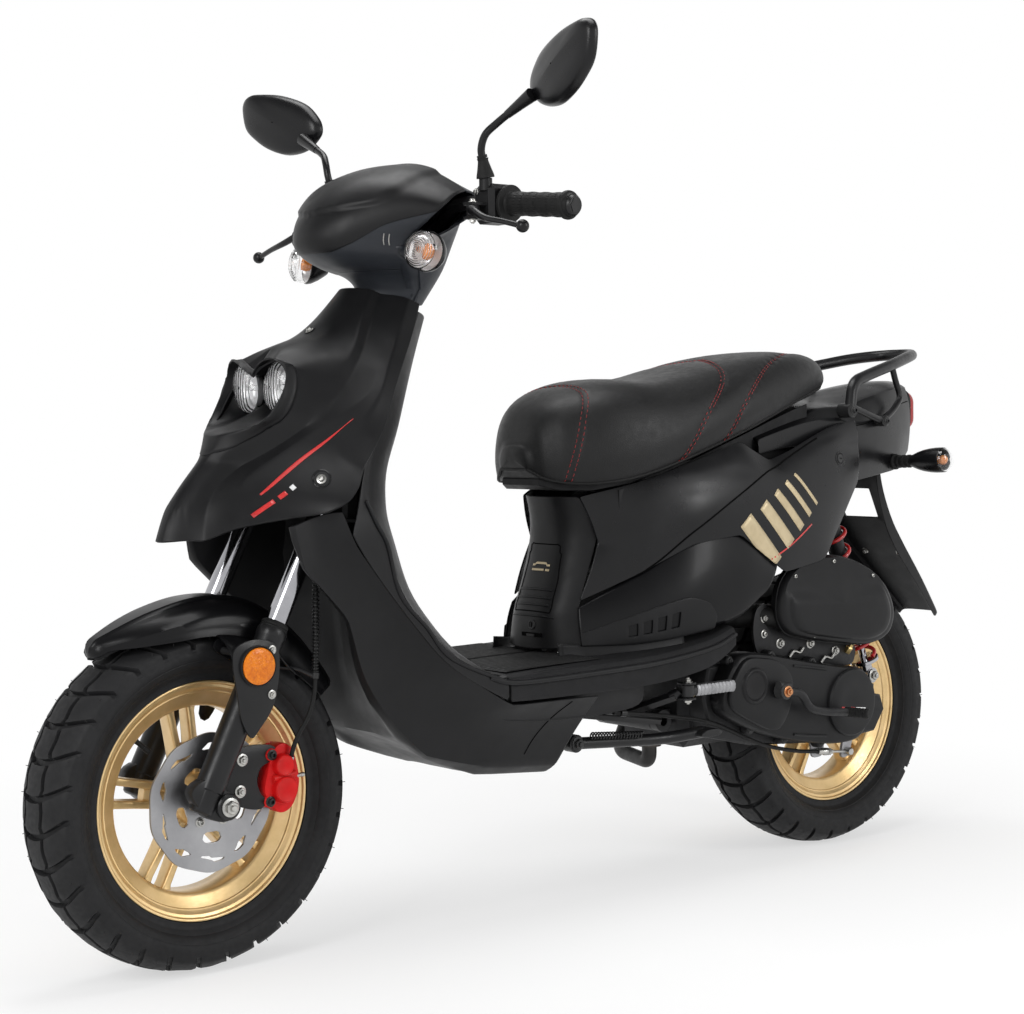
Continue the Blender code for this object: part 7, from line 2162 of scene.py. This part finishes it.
def make_kick():
    """The kick lever: clamp hub with a copper bolt, a cranked arm and a rubber-covered pedal."""
    body = body_of("kick_lever")
    hub = at(0.161, 1.020, 0.306)
    boss = turned(((0.0004, 0.0), (0.0004, 0.0135), (0.0170, 0.0135), (0.0190, 0.0118), (0.0190, 0.0)), hub,
                  X_AXIS, 36)
    clamp = tube([hub + Vector((0.010, -0.0125, 0.0105)), hub + Vector((0.010, 0.0125, 0.0065))], 0.0068, 18)
    arm = tube(bent([hub + Vector((0.010, 0.004, 0.0)), hub + Vector((0.013, 0.040, -0.006)),
                     hub + Vector((0.0145, 0.056, -0.034)), hub + Vector((0.0145, 0.098, -0.044)),
                     hub + Vector((0.0145, 0.156, -0.050))], 0.016, 6), 0.0068, 16)
    piece("kick_arm", merged(boss, clamp, arm), CASTING, body, 40.0, ["kick_lever"])
    pedal_start = hub + Vector((0.008, 0.152, -0.0495))
    profile = [(0.0, 0.0), (0.0, 0.0072), (0.002, 0.0085)]
    for rib in range(6):
        low = 0.004 + rib * 0.0065
        profile += [(low, 0.0085), (low + 0.0008, 0.0074), (low + 0.0018, 0.0074), (low + 0.0026, 0.0085)]
    profile += [(0.0440, 0.0085), (0.0460, 0.0068), (0.0460, 0.0)]
    piece("kick_pedal", turned(profile, pedal_start, (1.0, 0.21, 0.0), 28), RUBBER, body)
    piece("kick_bolt", bolt_head(hub + X_AXIS * 0.0190, X_AXIS, 0.0062, False), COPPER, body)


SHIELD_R = 0.0525
SHIELD_WALL = 0.0016
SHIELD_SLOTS = (4, 7, 10, 13, 16)


def make_muffler():
    """The exhaust: bent pipe with its flange, a rolled can, a slotted heat shield and its mount."""
    start, end = at(-0.140, 1.030, 0.296), at(-0.142, 1.410, 0.350)
    run = end - start
    size = run.length
    way = run.normalized()
    can = turned(((size - 0.006, 0.0), (size - 0.006, 0.0120), (size, 0.0130), (size, 0.0170),
                  (size - 0.008, 0.0330), (size - 0.014, 0.0440), (size - 0.022, 0.0480),
                  (size - 0.030, 0.0490), (size - 0.033, 0.0478), (size - 0.036, 0.0488), (0.064, 0.0488),
                  (0.061, 0.0478), (0.058, 0.0486), (0.040, 0.0430), (0.018, 0.0280), (0.0, 0.0180),
                  (0.0, 0.0)), start, way, 56)
    pipe = tube(bent([at(-0.030, 0.906, 0.2140), at(-0.030, 0.906, 0.178), at(-0.138, 0.930, 0.184),
                      at(-0.140, 0.990, 0.288), start + run * 0.03], 0.034, 8), 0.0125, 24)
    flange = turned(((-0.003, 0.0), (-0.003, 0.0200), (0.003, 0.0200), (0.003, 0.0)),
                    at(-0.030, 0.906, 0.2085), Z_AXIS, 32)
    piece("exhaust", merged(can, pipe, flange), PIPE, SWING, 38.0, ["muffler"])
    out = Vector((-1.0, 0.0, 0.0))
    up = way.cross(out).normalized()
    if up.z < 0:
        up = -up
    mesh = bmesh.new()
    stops = [0.085 + 0.0116 * i for i in range(22)]
    turns = [math.radians(-52 + 8 * k) for k in range(14)]
    grid = [[mesh.verts.new(start + way * s + (out * math.cos(a) + up * math.sin(a)) * SHIELD_R)
             for a in turns] for s in stops]
    for r in range(len(stops) - 1):
        for c in range(len(turns) - 1):
            if r in SHIELD_SLOTS and 3 <= c <= 9:
                continue
            mesh.faces.new((grid[r][c], grid[r][c + 1], grid[r + 1][c + 1], grid[r + 1][c]))
    shield = piece("exhaust_shield", mesh, MATTE, SWING, 60.0)
    thicken(shield, SHIELD_WALL, 0.0)
    screws = [bolt_head(start + way * s + (out * math.cos(a) + up * math.sin(a)) * 0.0533,
                        out * math.cos(a) + up * math.sin(a), 0.0044) for s in (0.094, 0.320)
              for a in (-0.70, 0.72)]
    piece("exhaust_screws", merged(*screws), ZINC, SWING)
    arm = tube(smooth_path([at(-0.060, 1.000, 0.320), at(-0.082, 1.060, 0.340), at(-0.0975, 1.130, 0.3420)],
                           6), 0.008, 14)
    piece("exhaust_mount", arm, CASTING, SWING, 45.0)


STAND_TURNS, STAND_STEPS = 18, 12


def make_stand():
    """The side stand: bent leg, pivot bolt, foot and its return spring lying along it."""
    body = body_of("side_stand")
    pivot = at(0.092, 0.628, 0.2545)
    foot = at(0.138, 0.866, 0.252)
    leg = tube(bent([pivot + Vector((0.004, -0.004, 0.0)), pivot + Vector((0.022, 0.170, -0.010)), foot],
                    0.06, 8), 0.0095, 18)
    eye = turned(((-0.010, 0.0), (-0.010, 0.0140), (0.0105, 0.0140), (0.012, 0.0125), (0.012, 0.0)), pivot,
                 X_AXIS, 32)
    pad = swollen(((0.846, 0.2475), (0.852, 0.2560), (0.866, 0.2580), (0.884, 0.2570), (0.892, 0.2515),
                   (0.884, 0.2465), (0.862, 0.2460)), ((0.1245, 0.90), (0.1260, 1.0), (0.1560, 1.0),
                                                       (0.1575, 0.90)), 4)
    piece("side_stand_leg", merged(leg, eye, pad), FRAME_PAINT, body, 40.0, ["side_stand"])
    piece("side_stand_bolt", bolt_head(pivot + X_AXIS * 0.0120, X_AXIS, 0.0075, False), CASTING, body)
    helix = []
    first, last = pivot + Vector((0.020, 0.020, 0.0115)), pivot + Vector((0.030, 0.120, 0.0040))
    ahead = (last - first).normalized()
    one = ahead.orthogonal().normalized()
    two = ahead.cross(one)
    count = STAND_TURNS * STAND_STEPS
    for step in range(count + 1):
        t = step / count
        angle = step / STAND_STEPS * math.tau
        helix.append(first.lerp(last, t) + (one * math.cos(angle) + two * math.sin(angle)) * 0.0048)
    piece("side_stand_spring", tube(helix, 0.0012, 8), FRAME_PAINT, body, 60.0)


def make_peg(name, side):
    """A folding alloy peg with a grooved top and a black knuckle at its pivot."""
    body = body_of("footpeg_" + name)
    pivot = at(side * 0.166, 0.806, 0.326)
    rows = []
    outline = ((1.0, 0.4), (0.7, 0.92), (0.2, 1.0), (-0.2, 1.0), (-0.7, 0.92), (-1.0, 0.4), (-1.0, -0.4),
               (-0.7, -0.92), (-0.2, -1.0), (0.2, -1.0), (0.7, -0.92), (1.0, -0.4))
    stops = [(0.014, 0.0078, 0.0078), (0.016, 0.0090, 0.0090)]
    for rib in range(9):
        low = 0.019 + rib * 0.0080
        stops += [(low, 0.0092, 0.0094), (low + 0.0010, 0.0084, 0.0080), (low + 0.0024, 0.0084, 0.0080),
                  (low + 0.0034, 0.0092, 0.0094)]
    stops += [(0.0945, 0.0096, 0.0098), (0.0975, 0.0084, 0.0086)]
    for along, wide, tall in stops:
        rows.append([pivot + Vector((side * 0.001 + wide * u, along, tall * v)) for u, v in outline])
    piece("footpeg_grip_" + name, net(rows, False, True, True), ALLOY, body, 30.0, ["footpeg_" + name])
    knuckle = turned(((-0.0098, 0.0), (-0.0098, 0.0085), (-0.0085, 0.0098), (0.0085, 0.0098),
                      (0.0098, 0.0085), (0.0098, 0.0)), pivot, Z_AXIS, 32)
    neck = tube([pivot + Vector((0, 0.004, 0)), pivot + Vector((side * 0.001, 0.016, 0))], 0.0076, 16)
    piece("footpeg_knuckle_" + name, merged(knuckle, neck), CASTING, body, 40.0)
    cheek = smooth_ring(((-0.0110, -0.0100), (0.0100, -0.0100), (0.0125, 0.0), (0.0100, 0.0095),
                         (-0.0110, 0.0095)), 3)
    fork = [flat_plate(cheek, (), 0.0030, pivot + Vector((-side * 0.001, -0.001, z)), Z_AXIS, X_AXIS * side,
                       0.0005) for z in (-0.0122, 0.0122)]
    arm = tube(smooth_path([at(side * 0.142, 0.792, 0.316), pivot + Vector((-side * 0.0150, -0.008, -0.004)),
                            pivot + Vector((-side * 0.0112, -0.006, 0.0))], 4), 0.0085, 16)
    piece("footpeg_fork_" + name, merged(arm, *fork), FRAME_PAINT, "chassis")
    pins = [bolt_head(pivot + Vector((0, 0, z * 0.0137)), Z_AXIS * z, 0.0050, False) for z in (1, -1)]
    piece("footpeg_pin_" + name, merged(*pins), ZINC, "chassis")


SHOCK_TOP, SHOCK_FOOT = at(0.096, 1.205, 0.610), at(0.096, 1.315, 0.300)
SHOCK_EYE = ((-0.011, 0.0078), (-0.011, 0.0135), (0.011, 0.0135), (0.011, 0.0078))
COIL_TURNS, COIL_WIRE, COIL_R = 7, 0.0036, 0.0205


def make_shock():
    """The rear shock absorber: eyes with rubber bushes, seats, cylinder, rod and one red coil."""
    run = SHOCK_FOOT - SHOCK_TOP
    size = run.length
    way = run.normalized()
    top = turned(((0.0, 0.0), (0.0, 0.0105), (0.0140, 0.0110), (0.0225, 0.0190), (0.0262, 0.0245),
                  (0.0275, 0.0255), (0.0330, 0.0255), (0.0340, 0.0245), (0.0340, 0.0150), (0.1930, 0.0145),
                  (0.1950, 0.0135), (0.1950, 0.0)), SHOCK_TOP, way, 40)
    notches = [turned(((0.0, 0.0), (0.0, 0.0020), (0.0040, 0.0020), (0.0040, 0.0)),
                      SHOCK_TOP + way * 0.0285 + aim(way) @ Vector((math.cos(a), math.sin(a), 0.0)) * 0.0252,
                      way, 10) for a in spread(10)]
    eye = turned(SHOCK_EYE, SHOCK_TOP, X_AXIS, 36, True)
    piece("shock_upper", merged(top, eye, *notches), CASTING, body_of("shock_body"), 38.0, ["shock_body"],
          slot="alloy")
    low = turned(((size - 0.0100, 0.0), (size - 0.0100, 0.0105), (size - 0.0200, 0.0110),
                  (size - 0.0255, 0.0230), (size - 0.0270, 0.0255), (size - 0.0320, 0.0255),
                  (size - 0.0330, 0.0245), (size - 0.0330, 0.0065), (0.186, 0.0062), (0.186, 0.0)), SHOCK_TOP,
                 way, 40)
    foot = turned(SHOCK_EYE, SHOCK_FOOT, X_AXIS, 36, True)
    piece("shock_lower", merged(low, foot), CHROME, body_of("shock_rod"), 38.0, ["shock_rod"])
    for place, node in ((SHOCK_TOP, "shock_body"), (SHOCK_FOOT, "shock_rod")):
        bush = turned(((-0.0118, 0.0052), (-0.0118, 0.0078), (0.0118, 0.0078), (0.0118, 0.0052)), place,
                      X_AXIS, 28, True)
        piece("shock_bush_" + node[6:], bush, RUBBER, body_of(node))
        bolt = merged(turned(((-0.0125, 0.0), (-0.0125, 0.0050), (0.0125, 0.0050), (0.0125, 0.0)), place,
                             X_AXIS, 20), bolt_head(place + X_AXIS * 0.0122, X_AXIS, 0.0070, False))
        piece("shock_bolt_" + node[6:], bolt, ZINC, body_of(node))
    start, end = 0.0345 + COIL_WIRE, size - 0.0335 - COIL_WIRE
    second = way.cross(X_AXIS)
    coil = []
    count = COIL_TURNS * 36
    for step in range(count + 1):
        t = step / count
        angle = t * COIL_TURNS * math.tau
        along = start + (end - start) * (t - 0.045 * math.sin(math.tau * t))
        coil.append(SHOCK_TOP + way * along + (X_AXIS * math.cos(angle) + second * math.sin(angle)) * COIL_R)
    spring = piece("shock_coil", tube(coil, COIL_WIRE, 14), RED_SPRING, None, 60.0, ["shock_spring"])
    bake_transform(spring)


BRAKE_CABLE = ((0.1080, 0.7000, 0.2960), (0.1130, 0.7480, 0.2900), (0.1170, 0.7900, 0.2840),
               (0.1190, 0.8330, 0.2760), (0.1200, 0.8750, 0.2680), (0.1195, 0.9160, 0.2560),
               (0.1180, 0.9480, 0.2430), (0.1170, 0.9800, 0.2290), (0.1160, 1.0100, 0.2170),
               (0.1155, 1.0400, 0.2065), (0.1150, 1.0780, 0.1970), (0.1145, 1.1180, 0.1890),
               (0.1140, 1.1450, 0.1855), (0.1140, 1.1700, 0.1825))
CABLE_R = 0.0034


def make_rear_brake():
    """The rear brake cable, its adjuster, the lever that it pulls and the clip on the frame."""
    path = smooth_path([at(*point) for point in BRAKE_CABLE], 3)
    cable = piece("rear_brake_cable", tube(path, CABLE_R, 14), RUBBER, None, 60.0)
    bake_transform(cable)
    start = path[-1]
    way = (at(0.1140, 1.2430, 0.1745) - start).normalized()
    stem = turned(((-0.006, 0.0), (-0.006, 0.0050), (0.008, 0.0052), (0.010, 0.0066), (0.016, 0.0066),
                   (0.018, 0.0048), (0.030, 0.0042), (0.030, 0.0022), (0.076, 0.0020), (0.078, 0.0)), start,
                  way, 20)
    nut = turned(((0.0180, 0.0), (0.0180, 0.0068), (0.0240, 0.0068), (0.0240, 0.0)), start, way, 6)
    pin = turned(((-0.008, 0.0), (-0.008, 0.0048), (0.008, 0.0048), (0.008, 0.0)), start + way * 0.070,
                 X_AXIS, 20)
    wing = turned(((0.0730, 0.0), (0.0730, 0.0070), (0.0790, 0.0070), (0.0810, 0.0046), (0.0830, 0.0)), start,
                  way, 8)
    piece("rear_brake_adjuster", merged(stem, nut, pin, wing), ZINC, SWING)
    post = side_plate(((1.158, 0.176), (1.170, 0.173), (1.182, 0.177), (1.186, 0.198), (1.180, 0.212),
                       (1.160, 0.212), (1.155, 0.196)), 4, 0.005, 0.1060)
    holder = tube([at(0.1060, 1.1700, 0.1840), start + way * 0.004], 0.0050, 14)
    lever = side_plate(((1.232, 0.168), (1.244, 0.166), (1.252, 0.174), (1.262, 0.212), (1.254, 0.222),
                        (1.240, 0.220), (1.236, 0.196)), 4, 0.006, 0.1060, 0.0010)
    piece("rear_brake_lever", merged(post, holder, lever), ALLOY, SWING)
    piece("rear_brake_lever_bolt", bolt_head(at(0.1090, 1.2500, 0.2100), X_AXIS, 0.0056, False), ZINC, SWING)
    clip_point = path[0]
    ring = turned(((-0.005, CABLE_R), (-0.005, 0.0060), (0.005, 0.0060), (0.005, CABLE_R)),
                  clip_point + Vector((0.002, 0.018, -0.002)), (0.10, 0.98, -0.12), 24, True)
    stay = tube([clip_point + Vector((-0.003, 0.018, -0.001)), at(0.066, 0.715, 0.290)], 0.0034, 10)
    piece("rear_brake_clip", merged(ring, stay), FRAME_PAINT, "chassis")


make_drive_cover()
make_airbox()
make_engine()
make_kick()
make_muffler()
make_stand()
for name, side in SIDES:
    make_peg(name, side)
make_shock()
make_rear_brake()


# Remaining parts

skin("handlebar_cover_rear", NECK)

HARD = {
    "steering_stem": FRAME_PAINT, "handlebar": FRAME_PAINT, "horn_button": RUBBER, "signal_switch": RUBBER,
    "starter_button": RUBBER, "main_frame": FRAME_PAINT, "fuel_tank": COARSE, "seat_base": COARSE,
}
for node, finish in HARD.items():
    machined(node, finish)
